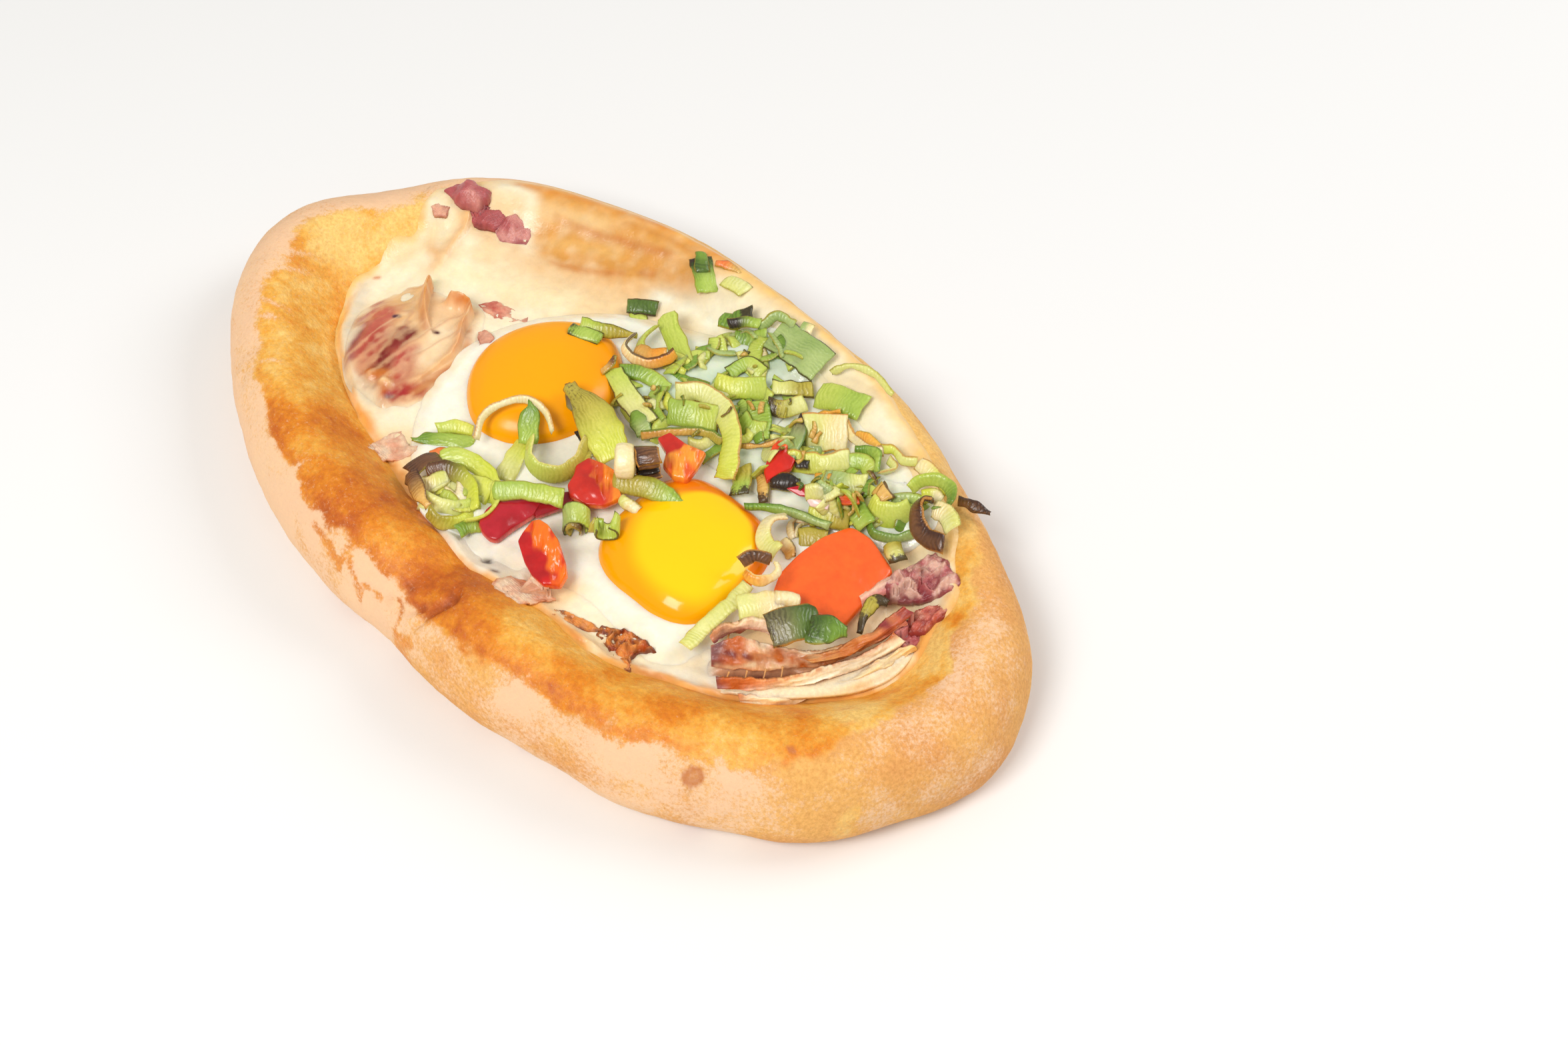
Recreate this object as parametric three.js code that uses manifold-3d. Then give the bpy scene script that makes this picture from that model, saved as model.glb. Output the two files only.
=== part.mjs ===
// A boat-shaped cheese bread (khachapuri): a leavened loaf with a rolled rim, filled with cheese and
// egg, and topped with sliced leek, bell pepper and bacon. Millimetres, +Z up.
// The origin is the middle of the flat base. +X runs along the loaf towards its blunt, bacon-filled end,
// and +Y towards the long side whose rim is thin and partly covered by the cheese.
import * as THREE from 'three';
import { mergeVertices } from 'three/addons/utils/BufferGeometryUtils.js';
import Module from 'manifold-3d';

const wasm = await Module();
wasm.setup();

// ---------------------------------------------------------------- driving dimensions

const HALF_LENGTH = 118; // loaf, middle to tip
const HALF_WIDTH = 66.5; // loaf, middle to side
const MIDDLE = [0.8, 1.25]; // of the uneven loaf, from the middle of the ellipse that it follows
const BULGE_HEIGHT = 9.5; // where the loaf is widest
const BASE_INSET = 8; // the underside curves in by this much
const BASE_RING = 38; // a ring of points inside the flat base
const CREST_INSET = { near: 13, far: 8 }; // rim's top, in from the loaf's edge
const CREST_HEIGHT = { near: 26, far: 23 };
const WELL_FLOOR = 9; // dough left under the filling
const WELL_SLOPE = 27; // from the rim's top down to the floor, measured level

const FILLING_LEVEL = 17.5; // top of the cheese, away from its mounds
const FILLING_EDGE_THICKNESS = 0.8;
const FILLING_FEATHER = 4; // the filling thins out over this width at its edge
const SOFT_EDGE = 1.2; // rounds the line where the level meets the dough's slope
const RIM_MOUND_SHARE = 0.4; // of a mound's height, where it lies on the rim
const BLANKET = 1.3; // cheese that lies over the dough where it is higher than the level
const WHITE_THICKNESS = 1.7; // set egg white over the cheese
const GAP = 0.3; // between touching pieces

const SIDES = 60; // round the loaf
const STEP_DEG = 15; // spacing of the values below

// How far in from the loaf's edge the filling starts, every STEP_DEG round from +X through +Y.
const FILLING_EDGE = [
  26.5, 23, 15, 9, 6, 4, 3, 2.6, 2.4, 2.6, 7, 19, 26, 28.5, 28, 26, 27, 25, 20, 23.5, 22, 24, 27, 27.5,
];

// Uneven spots of the outline: {at, spread} in degrees round, {swell} in mm outwards.
const OUTLINE_LOBES = [
  { at: 165, swell: -3, spread: 13 },
  { at: 132, swell: 3, spread: 13 },
  { at: 110, swell: 3.6, spread: 15 },
  { at: 80, swell: 1.6, spread: 22 },
  { at: 50, swell: -0.8, spread: 14 },
  { at: 24, swell: 1.6, spread: 10 },
  { at: 6, swell: 1.2, spread: 9 },
  { at: 345, swell: -0.8, spread: 10 },
  { at: 326, swell: 1.8, spread: 12 },
  { at: 305, swell: 2.4, spread: 9 },
  { at: 284, swell: 0.8, spread: 6 },
  { at: 269, swell: -1.6, spread: 5 },
  { at: 250, swell: 0.6, spread: 10 },
  { at: 222, swell: -1.2, spread: 14 },
  { at: 196, swell: -0.4, spread: 14 },
];

// Uneven spots of the rim's height, in the same way, {rise} in mm. The one at 272 is the pinch where two
// lobes of dough meet.
const RIM_LOBES = [
  { at: 272, rise: -3.4, spread: 5 },
  { at: 288, rise: 1.6, spread: 8 },
  { at: 250, rise: 1.4, spread: 12 },
  { at: 222, rise: -1.4, spread: 8 },
  { at: 196, rise: 1.0, spread: 12 },
  { at: 160, rise: -2.2, spread: 12 },
  { at: 335, rise: 0.8, spread: 14 },
];

// Mounds and hollows of the cheese: {x, y} middle, {rx, ry} reach, {turn} in degrees, {rise} in mm.
const CHEESE_MOUNDS = [
  { x: -60, y: -10, rx: 17, ry: 15, turn: 40, rise: 3.6 },
  { x: -79, y: 24, rx: 12, ry: 12, turn: 0, rise: 2.6 },
  { x: -79, y: -4, rx: 6, ry: 15, turn: 15, rise: -2.4 },
  { x: -42, y: 44, rx: 30, ry: 4.5, turn: 8, rise: 2.4 },
  { x: -35, y: 54, rx: 24, ry: 3.5, turn: 4, rise: 1.8 },
  { x: 76, y: -10, rx: 18, ry: 9, turn: 50, rise: -3.8 },
  { x: 84, y: 12, rx: 8, ry: 16, turn: 0, rise: -2.6 },
  { x: 22, y: -40, rx: 12, ry: 5, turn: -8, rise: 1.4 },
];

const YOLKS = [
  { name: 'yolk_far', x: -25, y: 5, rx: 18, ry: 20.5, turn: 8, squareness: 0.02, top: 26 },
  { name: 'yolk_near', x: 34, y: -7.5, rx: 19.5, ry: 18.5, turn: -42, squareness: 0.055, top: 25.5 },
];
const YOLK_BOTTOM = 14;
const YOLK_SIDES = 24;

const PRESSED = 0.8; // a slice of a heap goes this far into what is under it
const DROP_FROM = 36; // toppings are let down from this height
const HEAP_THICKNESS = 2.6;
const CLUSTER_THICKNESS = 3;
const LAYER_EDGE = 0.9; // thickness of a layer at its outline
const WHITE_SINK = 2; // egg white reaches this far below the cheese's top, before it is cut away
const HEAP_SINK = 3;

const DEG = Math.PI / 180;

// ---------------------------------------------------------------- shared height functions

const mix = (a, b, share) => a + (b - a) * share;
const clamp01 = (value) => Math.min(1, Math.max(0, value));
const ease = (value) => {
  const t = clamp01(value);
  return t * t * (3 - 2 * t);
};

// The shorter way round between two angles in degrees.
const turnBetween = (a, b) => Math.abs(((a - b + 540) % 360) - 180);

const lobes = (list, key, deg) => {
  const share = ({ at, spread }) => Math.exp(-((turnBetween(deg, at) / spread) ** 2));
  return list.reduce((sum, lobe) => sum + lobe[key] * share(lobe), 0);
};

// 1 on the far (+Y) long side, 0 round the rest.
const farShare = (deg) => ease((Math.sin(deg * DEG) - 0.15) / 0.6) * ease((turnBetween(deg, 180) - 12) / 25);

function fillingEdge(deg) {
  const place = (((deg % 360) + 360) % 360) / STEP_DEG;
  const before = Math.floor(place) % FILLING_EDGE.length;
  const after = (before + 1) % FILLING_EDGE.length;
  return mix(FILLING_EDGE[before], FILLING_EDGE[after], ease(place - Math.floor(place)));
}

// Each point of the plan has an angle round the loaf and an inset from its edge, and back.
const edgeScale = (deg) => Math.hypot(Math.cos(deg * DEG) / HALF_LENGTH, Math.sin(deg * DEG) / HALF_WIDTH);

function planPoint(deg, inset) {
  const share = 1 + (lobes(OUTLINE_LOBES, 'swell', deg) - inset) * edgeScale(deg);
  return [HALF_LENGTH * share * Math.cos(deg * DEG), HALF_WIDTH * share * Math.sin(deg * DEG)];
}

function roundAndIn(x, y) {
  const deg = Math.atan2(y / HALF_WIDTH, x / HALF_LENGTH) / DEG;
  const share = Math.hypot(x / HALF_LENGTH, y / HALF_WIDTH);
  return { deg, inset: lobes(OUTLINE_LOBES, 'swell', deg) + (1 - share) / edgeScale(deg) };
}

// Top of the dough: a quarter round up to the rim's crest, and an eased slope down into the well.
function doughTop(x, y) {
  const { deg, inset } = roundAndIn(x, y);
  const far = farShare(deg);
  const crestInset = mix(CREST_INSET.near, CREST_INSET.far, far);
  const crest = mix(CREST_HEIGHT.near, CREST_HEIGHT.far, far) + lobes(RIM_LOBES, 'rise', deg);
  if (inset < crestInset) {
    const left = 1 - Math.max(0, inset) / crestInset;
    return BULGE_HEIGHT + (crest - BULGE_HEIGHT) * Math.sqrt(1 - left * left);
  }
  return mix(crest, WELL_FLOOR, ease((inset - crestInset) / WELL_SLOPE));
}

function mounds(x, y) {
  return CHEESE_MOUNDS.reduce((sum, m) => {
    const dx = x - m.x;
    const dy = y - m.y;
    const c = Math.cos(m.turn * DEG);
    const s = Math.sin(m.turn * DEG);
    const r2 = ((dx * c + dy * s) / m.rx) ** 2 + ((dy * c - dx * s) / m.ry) ** 2;
    return sum + m.rise * Math.exp(-r2);
  }, 0);
}

// Top of the cheese: its level and mounds, or a thin blanket over higher dough, feathered at its edge.
function cheeseTop(x, y) {
  const { deg, inset } = roundAndIn(x, y);
  const dough = doughTop(x, y);
  const level = FILLING_LEVEL + mounds(x, y);
  const blanket = dough + BLANKET + RIM_MOUND_SHARE * mounds(x, y) * farShare(deg);
  const body = (level + blanket + Math.hypot(level - blanket, SOFT_EDGE)) / 2;
  const floor = dough + GAP + FILLING_EDGE_THICKNESS;
  const share = ease((inset - fillingEdge(deg)) / FILLING_FEATHER);
  return mix(floor, Math.max(body, floor), share);
}

// ---------------------------------------------------------------- geometry helpers

// A closed mesh through rings of equal count, from a first to a last point.
function skin(first, rings, last) {
  const count = rings[0].length;
  const positions = [first, ...rings.flat(), last].flat();
  const index = [];
  const at = (ring, k) => 1 + ring * count + (k % count);
  const end = 1 + rings.length * count;
  for (let k = 0; k < count; k++) {
    index.push(0, at(0, k + 1), at(0, k));
    for (let r = 0; r + 1 < rings.length; r++) {
      index.push(at(r, k), at(r, k + 1), at(r + 1, k + 1));
      index.push(at(r, k), at(r + 1, k + 1), at(r + 1, k));
    }
    index.push(end, at(rings.length - 1, k), at(rings.length - 1, k + 1));
  }
  return toGeometry(positions, index);
}

// A closed thick sheet from its upper and lower faces, each a function of u and v from 0 to 1.
function sheet(across, along, upper, lower) {
  const positions = [];
  const index = [];
  const row = along + 1;
  const face = (across + 1) * row;
  for (const side of [upper, lower])
    for (let i = 0; i <= across; i++)
      for (let j = 0; j <= along; j++) positions.push(...side(i / across, j / along));
  for (let i = 0; i < across; i++)
    for (let j = 0; j < along; j++) {
      const a = i * row + j;
      const [b, c, d] = [a + row, a + row + 1, a + 1];
      index.push(a, b, c, a, c, d, face + a, face + c, face + b, face + a, face + d, face + c);
    }
  const rim = [];
  for (let i = 0; i < across; i++) rim.push(i * row);
  for (let j = 0; j < along; j++) rim.push(across * row + j);
  for (let i = across; i > 0; i--) rim.push(i * row + along);
  for (let j = along; j > 0; j--) rim.push(j);
  rim.forEach((a, k) => {
    const b = rim[(k + 1) % rim.length];
    index.push(a, face + a, face + b, a, face + b, b);
  });
  return toGeometry(positions, index);
}

function toGeometry(positions, index) {
  const geometry = new THREE.BufferGeometry();
  geometry.setAttribute('position', new THREE.Float32BufferAttribute(positions, 3));
  geometry.setIndex(index);
  return geometry;
}

// A geometry as a solid that can be joined and cut. It is turned inside out if its faces point inwards.
function toSolid(geometry) {
  const bare = geometry.clone();
  bare.deleteAttribute('normal');
  bare.deleteAttribute('uv');
  const merged = mergeVertices(bare, 1e-4);
  const vertProperties = new Float32Array(merged.attributes.position.array);
  const make = (triVerts) => new wasm.Manifold(new wasm.Mesh({ numProp: 3, vertProperties, triVerts }));
  const faces = new Uint32Array(merged.index.array);
  const solid = make(faces);
  return solid.volume() > 0 ? solid : make(faces.map((_, i) => faces[i - (i % 3) + [0, 2, 1][i % 3]]));
}

function fromSolid(solid) {
  const { numProp, numVert, vertProperties, triVerts } = solid.getMesh();
  const positions = [];
  for (let i = 0; i < numVert; i++) positions.push(...vertProperties.subarray(i * numProp, i * numProp + 3));
  return toGeometry(positions, Array.from(triVerts));
}

// The largest body of a solid: a cut can leave a loose scrap, which is dropped.
function largest(solid) {
  return solid.decompose().reduce((best, body) => (body.volume() > best.volume() ? body : best));
}

// A solid made bigger by GAP all round, for cutting its neighbours clear of it.
function grown(solid) {
  const { min, max } = solid.boundingBox();
  const middle = min.map((low, i) => (low + max[i]) / 2);
  const scale = min.map((low, i) => (max[i] - low + 2 * GAP) / (max[i] - low));
  return solid
    .translate(middle.map((m) => -m))
    .scale(scale)
    .translate(middle);
}

// ---------------------------------------------------------------- the scene graph

// All is modelled round the middle of the loaf's ellipse, in a group that then moves the loaf's own middle
// to the origin.
const khachapuri = new THREE.Group();
const food = new THREE.Group();
food.position.set(-MIDDLE[0], -MIDDLE[1], 0);
khachapuri.add(food);
const finish = (color, roughness) => new THREE.MeshStandardMaterial({ color, roughness, metalness: 0 });
const FINISH = {
  crust: finish(0xd9a066, 0.75),
  cheese: finish(0xf2e3bf, 0.45),
  eggWhite: finish(0xf6f2e2, 0.25),
  yolk: finish(0xffb813, 0.15),
  leekGreen: finish(0x7fa83a, 0.5),
  leekPale: finish(0xdfe2a8, 0.45),
  leekBurnt: finish(0x5d4433, 0.8),
  pepper: finish(0xe8562b, 0.3),
  pepperRed: finish(0xa8202a, 0.3),
  bacon: finish(0xc98a68, 0.4),
  ham: finish(0x96404a, 0.45),
};

const solids = new Map();

function add(name, solid, material) {
  const mesh = new THREE.Mesh(fromSolid(solid), material);
  mesh.name = name;
  food.add(mesh);
  solids.set(name, solid);
  return solid;
}

// ---------------------------------------------------------------- loaf, cheese, egg

const everyAngle = (count, make) => Array.from({ length: count }, (_, k) => make((360 * k) / count));

// Shares of the way from the filling's edge to the middle at which the dough and the cheese have rings.
const WELL_RINGS = [0, 0.07, 0.14, 0.22, 0.33, 0.6];
const TOP_RINGS = [0, 0.035, 0.07, 0.105, 0.14, 0.22, 0.33, 0.46, 0.6, 0.78];

function fillingPoint(deg, share) {
  const [x, y] = planPoint(deg, fillingEdge(deg));
  return [x * (1 - share), y * (1 - share)];
}

function ring(share, height) {
  return everyAngle(SIDES, (deg) => {
    const [x, y] = fillingPoint(deg, share);
    return [x, y, height(x, y)];
  });
}

function makeBread() {
  const side = (inset, z) => everyAngle(SIDES, (deg) => [...planPoint(deg, inset), z]);
  const rimShares = [0.1, 0.28, 0.5, 0.75];
  const rim = rimShares.map((share) =>
    everyAngle(SIDES, (deg) => {
      const [x, y] = planPoint(deg, share * fillingEdge(deg));
      return [x, y, doughTop(x, y)];
    }),
  );
  const rings = [
    side(BASE_RING, 0),
    side(BASE_INSET, 0),
    side(BASE_INSET * 0.35, BULGE_HEIGHT * 0.28),
    side(BASE_INSET * 0.06, BULGE_HEIGHT * 0.68),
    side(0, BULGE_HEIGHT),
    ...rim,
    ...WELL_RINGS.map((share) => ring(share, doughTop)),
  ];
  return toSolid(skin([0, 0, 0], rings, [0, 0, WELL_FLOOR]));
}

// The lower face has the dough's own rings, GAP above them, and is split into triangles the same way.
function makeCheese() {
  const bottom = WELL_RINGS.map((share) => ring(share, (x, y) => doughTop(x, y) + GAP));
  const top = TOP_RINGS.map((share) => ring(share, cheeseTop));
  return toSolid(skin([0, 0, cheeseTop(0, 0)], [...top.reverse(), ...bottom], [0, 0, WELL_FLOOR + GAP]));
}

// A dome on a rounded base. The outline swells into a soft square as squareness grows.
function makeYolk({ x, y, rx, ry, turn, squareness, top }) {
  const levels = [
    [0.72, YOLK_BOTTOM],
    [0.97, mix(YOLK_BOTTOM, top, 0.25)],
    [1.0, mix(YOLK_BOTTOM, top, 0.42)],
    [0.93, mix(YOLK_BOTTOM, top, 0.66)],
    [0.74, mix(YOLK_BOTTOM, top, 0.86)],
    [0.42, mix(YOLK_BOTTOM, top, 0.97)],
  ];
  const rings = levels.map(([reach, z]) =>
    everyAngle(YOLK_SIDES, (deg) => {
      const swell = 1 + squareness * Math.cos(4 * deg * DEG);
      const local = new THREE.Vector2(rx * Math.cos(deg * DEG), ry * Math.sin(deg * DEG));
      local.multiplyScalar(reach * swell).rotateAround(new THREE.Vector2(0, 0), turn * DEG);
      return [x + local.x, y + local.y, z];
    }),
  );
  return toSolid(skin([x, y, YOLK_BOTTOM], rings, [x, y, top]));
}

// A closed smooth curve through points given as [x, y], as count points.
function closedCurve(points, count) {
  const curve = new THREE.CatmullRomCurve3(
    points.map(([x, y]) => new THREE.Vector3(x, y, 0)),
    true,
  );
  return curve.getPoints(count).slice(0, count);
}

// An oval that grows square as {square} goes from 0 to 1, uneven by {jag} mm.
function oval({ x, y, length, width, turn = 0, square = 0, jag = 0, seed = 1, count = 12 }) {
  const random = randomFrom(seed);
  return everyAngle(count, (deg) => {
    const power = 1 - 0.5 * square;
    const [c, s] = [Math.cos(deg * DEG), Math.sin(deg * DEG)];
    const uneven = 1 + (jag * (random() - 0.5)) / (0.25 * (length + width));
    const p = new THREE.Vector2(
      0.5 * length * uneven * Math.sign(c) * Math.abs(c) ** power,
      0.5 * width * uneven * Math.sign(s) * Math.abs(s) ** power,
    ).rotateAround(new THREE.Vector2(0, 0), turn * DEG);
    return new THREE.Vector3(x + p.x, y + p.y, 0);
  });
}

// The same numbers from 0 to 1 for the same seed.
function randomFrom(seed) {
  let state = seed * 7919 + 17;
  return () => {
    state = (state * 16807) % 2147483647;
    return state / 2147483647;
  };
}

function middleOf(points) {
  return points.reduce((sum, p) => sum.add(p), new THREE.Vector3()).divideScalar(points.length);
}

// A layer over a carrier: an outline, thickness in the middle, and its underside given by height(x, y).
function layerOver(points, height, thickness, depth) {
  const middle = middleOf(points);
  const shares = [0.55, 0.85, 1];
  const level = (share, z) =>
    points.map((p) => {
      const q = middle.clone().lerp(p, share);
      return [q.x, q.y, z(q.x, q.y, share)];
    });
  const top = (x, y, share) => height(x, y) + mix(thickness, LAYER_EDGE, ease((share - 0.6) / 0.4));
  const bottom = (x, y) => height(x, y) - depth;
  const rings = [
    ...shares.map((share) => level(share, bottom)),
    ...[...shares].reverse().map((share) => level(share, top)),
  ];
  const at = (z, share) => [middle.x, middle.y, z(middle.x, middle.y, share)];
  return toSolid(skin(at(bottom, 0), rings, at(top, 0)));
}

// Set egg white, and the mass of egg and leek under the heap of slices.
const WHITE_OUTLINE = [
  [-46, -14], [-48, 12], [-34, 33], [-14, 44], [12, 54], [40, 48], [62, 42], [66, 14],
  [60, -20], [52, -34], [28, -32], [4, -41], [-14, -39], [-32, -32],
];
const HEAP_OUTLINE = [
  [-12, 14], [-15, 26], [-8, 38], [-3, 50], [8, 55], [19, 52], [22, 42], [32, 38], [44, 38], [58, 41],
  [71, 38], [70, 29], [60, 22], [48, 17], [36, 15], [24, 14], [10, 10], [-2, 8],
];
const CLUSTER_OUTLINE = [
  [-22, -33], [-18, -26], [-9, -24], [-2, -28], [-1, -36], [-6, -42], [-14, -42], [-20, -38],
];

const whiteTop = (x, y) => cheeseTop(x, y) + WHITE_THICKNESS;
const above = (solid) => solid.translate([0, 0, GAP]);

add('bread', makeBread(), FINISH.crust);
const cheeseWhole = makeCheese();
const yolks = YOLKS.map((yolk) => makeYolk(yolk));
const yolkRoom = yolks.map(grown).reduce((all, one) => all.add(one));
const whiteWhole = layerOver(closedCurve(WHITE_OUTLINE, 34), cheeseTop, WHITE_THICKNESS, WHITE_SINK);

add('cheese', largest(cheeseWhole.subtract(yolkRoom)), FINISH.cheese);
add('egg_white', largest(whiteWhole.subtract(above(cheeseWhole)).subtract(yolkRoom)), FINISH.eggWhite);
YOLKS.forEach(({ name }, i) => add(name, yolks[i], FINISH.yolk));

// ---------------------------------------------------------------- slices of leek

// A thin cut sheet bent into an arc of {bend} degrees along its length. {stand} rolls it from lying flat
// (0) to standing on its long edge (90), {pitch} lifts its far end, and {turn} is its direction, from +X
// towards +Y. {tips} are the widths of its two ends, as shares of the full width.
function slice({ length, width, bend = 0, stand = 0, pitch = 0, turn = 0, thick = 1.1, tips = [1, 1] }) {
  const along = Math.max(2, Math.ceil(Math.abs(bend) / 45));
  const across = width > 7 ? 2 : 1;
  const radius = bend ? length / (bend * DEG) : 0;
  const face = (side) => (u, v) => {
    const angle = bend * DEG * (v - 0.5);
    const reach = radius + side * thick;
    const end = Math.abs(2 * v - 1) ** 2;
    const share = mix(1, tips[v < 0.5 ? 0 : 1], end);
    const cup = across > 1 ? 0.08 * width * (1 - (2 * u - 1) ** 2) : 0;
    const x = bend ? reach * Math.sin(angle) : length * (v - 0.5);
    const z = bend ? reach * Math.cos(angle) - radius : side * thick;
    return [x, (u - 0.5) * width * share, z + cup];
  };
  const geometry = sheet(across, along, face(0.5), face(-0.5));
  geometry.applyMatrix4(new THREE.Matrix4().makeRotationX(stand * DEG));
  geometry.applyMatrix4(new THREE.Matrix4().makeRotationY(-pitch * DEG));
  geometry.applyMatrix4(new THREE.Matrix4().makeRotationZ(turn * DEG));
  return toSolid(geometry);
}

// The highest point of some solids over a point of the plan.
function topOf(list, x, y) {
  let top = 0;
  for (const solid of list) {
    const { numProp, vertProperties: v, triVerts } = meshOf(solid);
    for (let i = 0; i < triVerts.length; i += 3) {
      const [a, b, c] = [triVerts[i] * numProp, triVerts[i + 1] * numProp, triVerts[i + 2] * numProp];
      const area = (v[b] - v[a]) * (v[c + 1] - v[a + 1]) - (v[c] - v[a]) * (v[b + 1] - v[a + 1]);
      if (area <= 0) continue; // faces down, or on edge
      const p = ((v[b] - x) * (v[c + 1] - y) - (v[c] - x) * (v[b + 1] - y)) / area;
      const q = ((v[c] - x) * (v[a + 1] - y) - (v[a] - x) * (v[c + 1] - y)) / area;
      if (p < 0 || q < 0 || p + q > 1) continue;
      top = Math.max(top, p * v[a + 2] + q * v[b + 2] + (1 - p - q) * v[c + 2]);
    }
  }
  return top;
}

const meshes = new Map();
function meshOf(solid) {
  if (!meshes.has(solid)) meshes.set(solid, solid.getMesh());
  return meshes.get(solid);
}

// Slices fused on a core: each is PRESSED into whatever is under its middle, then raised by {lift}.
function fusedHeap(core, specs, carriers) {
  let heap = core;
  for (const { x, y, lift = 0, ...spec } of specs) {
    const piece = slice(spec);
    const z = topOf([heap, ...carriers], x, y) - PRESSED + lift;
    heap = heap.add(piece.translate([x, y, z - piece.boundingBox().min[2]]));
  }
  return heap;
}

const HEAP_SLICES = [
  { x: -9, y: 32, turn: -26, length: 18, width: 5, bend: 25, stand: 20 },
  { x: -14, y: 27, turn: 20, length: 12, width: 4, bend: 120, stand: 60 },
  { x: -2, y: 37, turn: -60, length: 10, width: 5, bend: 110, stand: 50 },
  { x: -3, y: 49, turn: 60, length: 9, width: 5, bend: 40 },
  { x: 4, y: 45, turn: 54, length: 8, width: 5, bend: 160, stand: 50 },
  { x: 4, y: 53, turn: 40, length: 8, width: 5, bend: 60, stand: 20 },
  { x: 13, y: 51, turn: 1, length: 16, width: 9.5, bend: 25, pitch: -4 },
  { x: -4, y: 19, turn: 23, length: 15, width: 4.5, bend: 35, stand: 15, tips: [0.5, 1] },
  { x: -5, y: 12.5, turn: -11, length: 17, width: 4.5, bend: 20, stand: -20, tips: [0.8, 0.5] },
  { x: 13, y: 17, turn: 32, length: 12, width: 6.5, bend: 40, stand: 35, lift: 0.6 },
  { x: 3, y: 21, turn: 100, length: 11, width: 4, bend: 150, stand: 60 },
  { x: 13, y: 33, turn: 35, length: 12, width: 6.5, bend: 70, stand: 10 },
  { x: 21, y: 42, turn: 39, length: 10, width: 5.5, bend: 50, stand: 20 },
  { x: 24, y: 36, turn: 54, length: 10, width: 5, bend: 90, stand: 45 },
  { x: 11, y: 24, turn: 8, length: 14, width: 6.5, bend: -50, stand: 65, lift: 1 },
  { x: 27, y: 18, turn: -50, length: 19, width: 6.5, bend: -45, stand: 55, lift: 1.4, tips: [1, 0.7] },
  { x: 24, y: 28, turn: -20, length: 10, width: 6.5, bend: 30, stand: 20 },
  { x: 31, y: 18, turn: -19, length: 11, width: 4.5, bend: 30, lift: 1 },
  { x: 36, y: 30, turn: -60, length: 13, width: 4, bend: 20, stand: 40, lift: 1.2, tips: [0.4, 0.8] },
  { x: 36, y: 37, turn: 26, length: 10, width: 6, bend: -120, stand: 55 },
  { x: 45, y: 32, turn: 43, length: 16, width: 7, bend: 85, stand: 55 },
  { x: 49, y: 39, turn: 15, length: 6.5, width: 5, bend: 150, stand: 30 },
  { x: 54, y: 39, turn: 5, length: 11, width: 3, bend: 40, stand: 70 },
  { x: 42, y: 20, turn: -31, length: 6.5, width: 3.5, bend: 30 },
  { x: 53, y: 20, turn: 40, length: 10, width: 5, bend: 40, stand: 30 },
  { x: 56, y: 25, turn: 85, length: 6, width: 3.5, bend: 200, stand: 60, lift: 0.6 },
  { x: 60, y: 33, turn: 52, length: 4.5, width: 3.6, bend: 30, thick: 2, lift: 0.6 },
  { x: 64, y: 28, turn: 10, length: 19, width: 6, bend: 75, stand: 62 },
  { x: 63, y: 33, turn: 60, length: 8.5, width: 5.5, bend: 30, stand: 30 },
  { x: 29, y: 33, turn: 120, length: 8, width: 3, bend: 60, stand: 20, lift: 0.8 },
  { x: 4, y: 29, turn: -15, length: 12, width: 5, bend: 25, stand: -15 },
  { x: 17, y: 22, turn: 45, length: 9, width: 5, bend: 40 },
];
const CLUSTER_SLICES = [
  { x: -20, y: -34, turn: 43, length: 8, width: 5, bend: 50, stand: 30, lift: 0.8 },
  { x: -16, y: -39, turn: -22, length: 11, width: 4, bend: 60, stand: 55, tips: [1, 0.5] },
  { x: -15, y: -28, turn: 39, length: 10, width: 6, bend: 40, stand: 20, lift: 0.8 },
  { x: -8, y: -28, turn: -2, length: 11, width: 5, bend: 70, stand: 30 },
  { x: -9, y: -36, turn: -11, length: 14, width: 5, bend: 100, stand: 50 },
  { x: -12, y: -33, turn: 60, length: 10, width: 6, bend: 50, stand: -15, lift: 0.5 },
  { x: -5, y: -33, turn: 80, length: 8, width: 4.5, bend: 60, stand: 20 },
];

function addHeap(name, outline, count, thickness, specs) {
  const carriers = [solids.get('egg_white'), solids.get('cheese')];
  const core = layerOver(closedCurve(outline, count), whiteTop, thickness, HEAP_SINK);
  const heap = fusedHeap(core, specs, carriers);
  const room = [above(whiteWhole), above(cheeseWhole), above(solids.get('bread')), yolkRoom];
  add(name, largest(room.reduce((left, cut) => left.subtract(cut), heap)), FINISH.leekGreen);
}
addHeap('leek_heap', HEAP_OUTLINE, 30, HEAP_THICKNESS, HEAP_SLICES);
addHeap('leek_cluster', CLUSTER_OUTLINE, 14, CLUSTER_THICKNESS, CLUSTER_SLICES);

// ---------------------------------------------------------------- separate toppings

// Lowers a piece over (x, y) from above until it is GAP clear of everything placed so far. With {sink} it
// goes on down by that much, and what would be inside its neighbours is cut away.
function settle(piece, { x = 0, y = 0, sink = 0 } = {}) {
  const box = piece.boundingBox();
  const meets = (other) => {
    const { min, max } = other.boundingBox();
    return [0, 1].every((i) => box.min[i] + [x, y][i] < max[i] && box.max[i] + [x, y][i] > min[i]);
  };
  const near = [...solids.values()].filter(meets);
  const clear = (z) => near.every((other) => piece.translate([x, y, z - GAP]).intersect(other).isEmpty());
  let high = DROP_FROM - box.min[2];
  while (clear(high - 1)) high -= 1;
  let low = high - 1;
  while (high - low > 0.02) {
    const middle = (high + low) / 2;
    if (clear(middle)) high = middle;
    else low = middle;
  }
  const sunk = piece.translate([x, y, high - sink]);
  if (!sink) return sunk;
  const room = (other) => (other.numTri() < 600 ? grown(other) : above(other));
  return largest(near.reduce((left, other) => left.subtract(room(other)), sunk));
}

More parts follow.
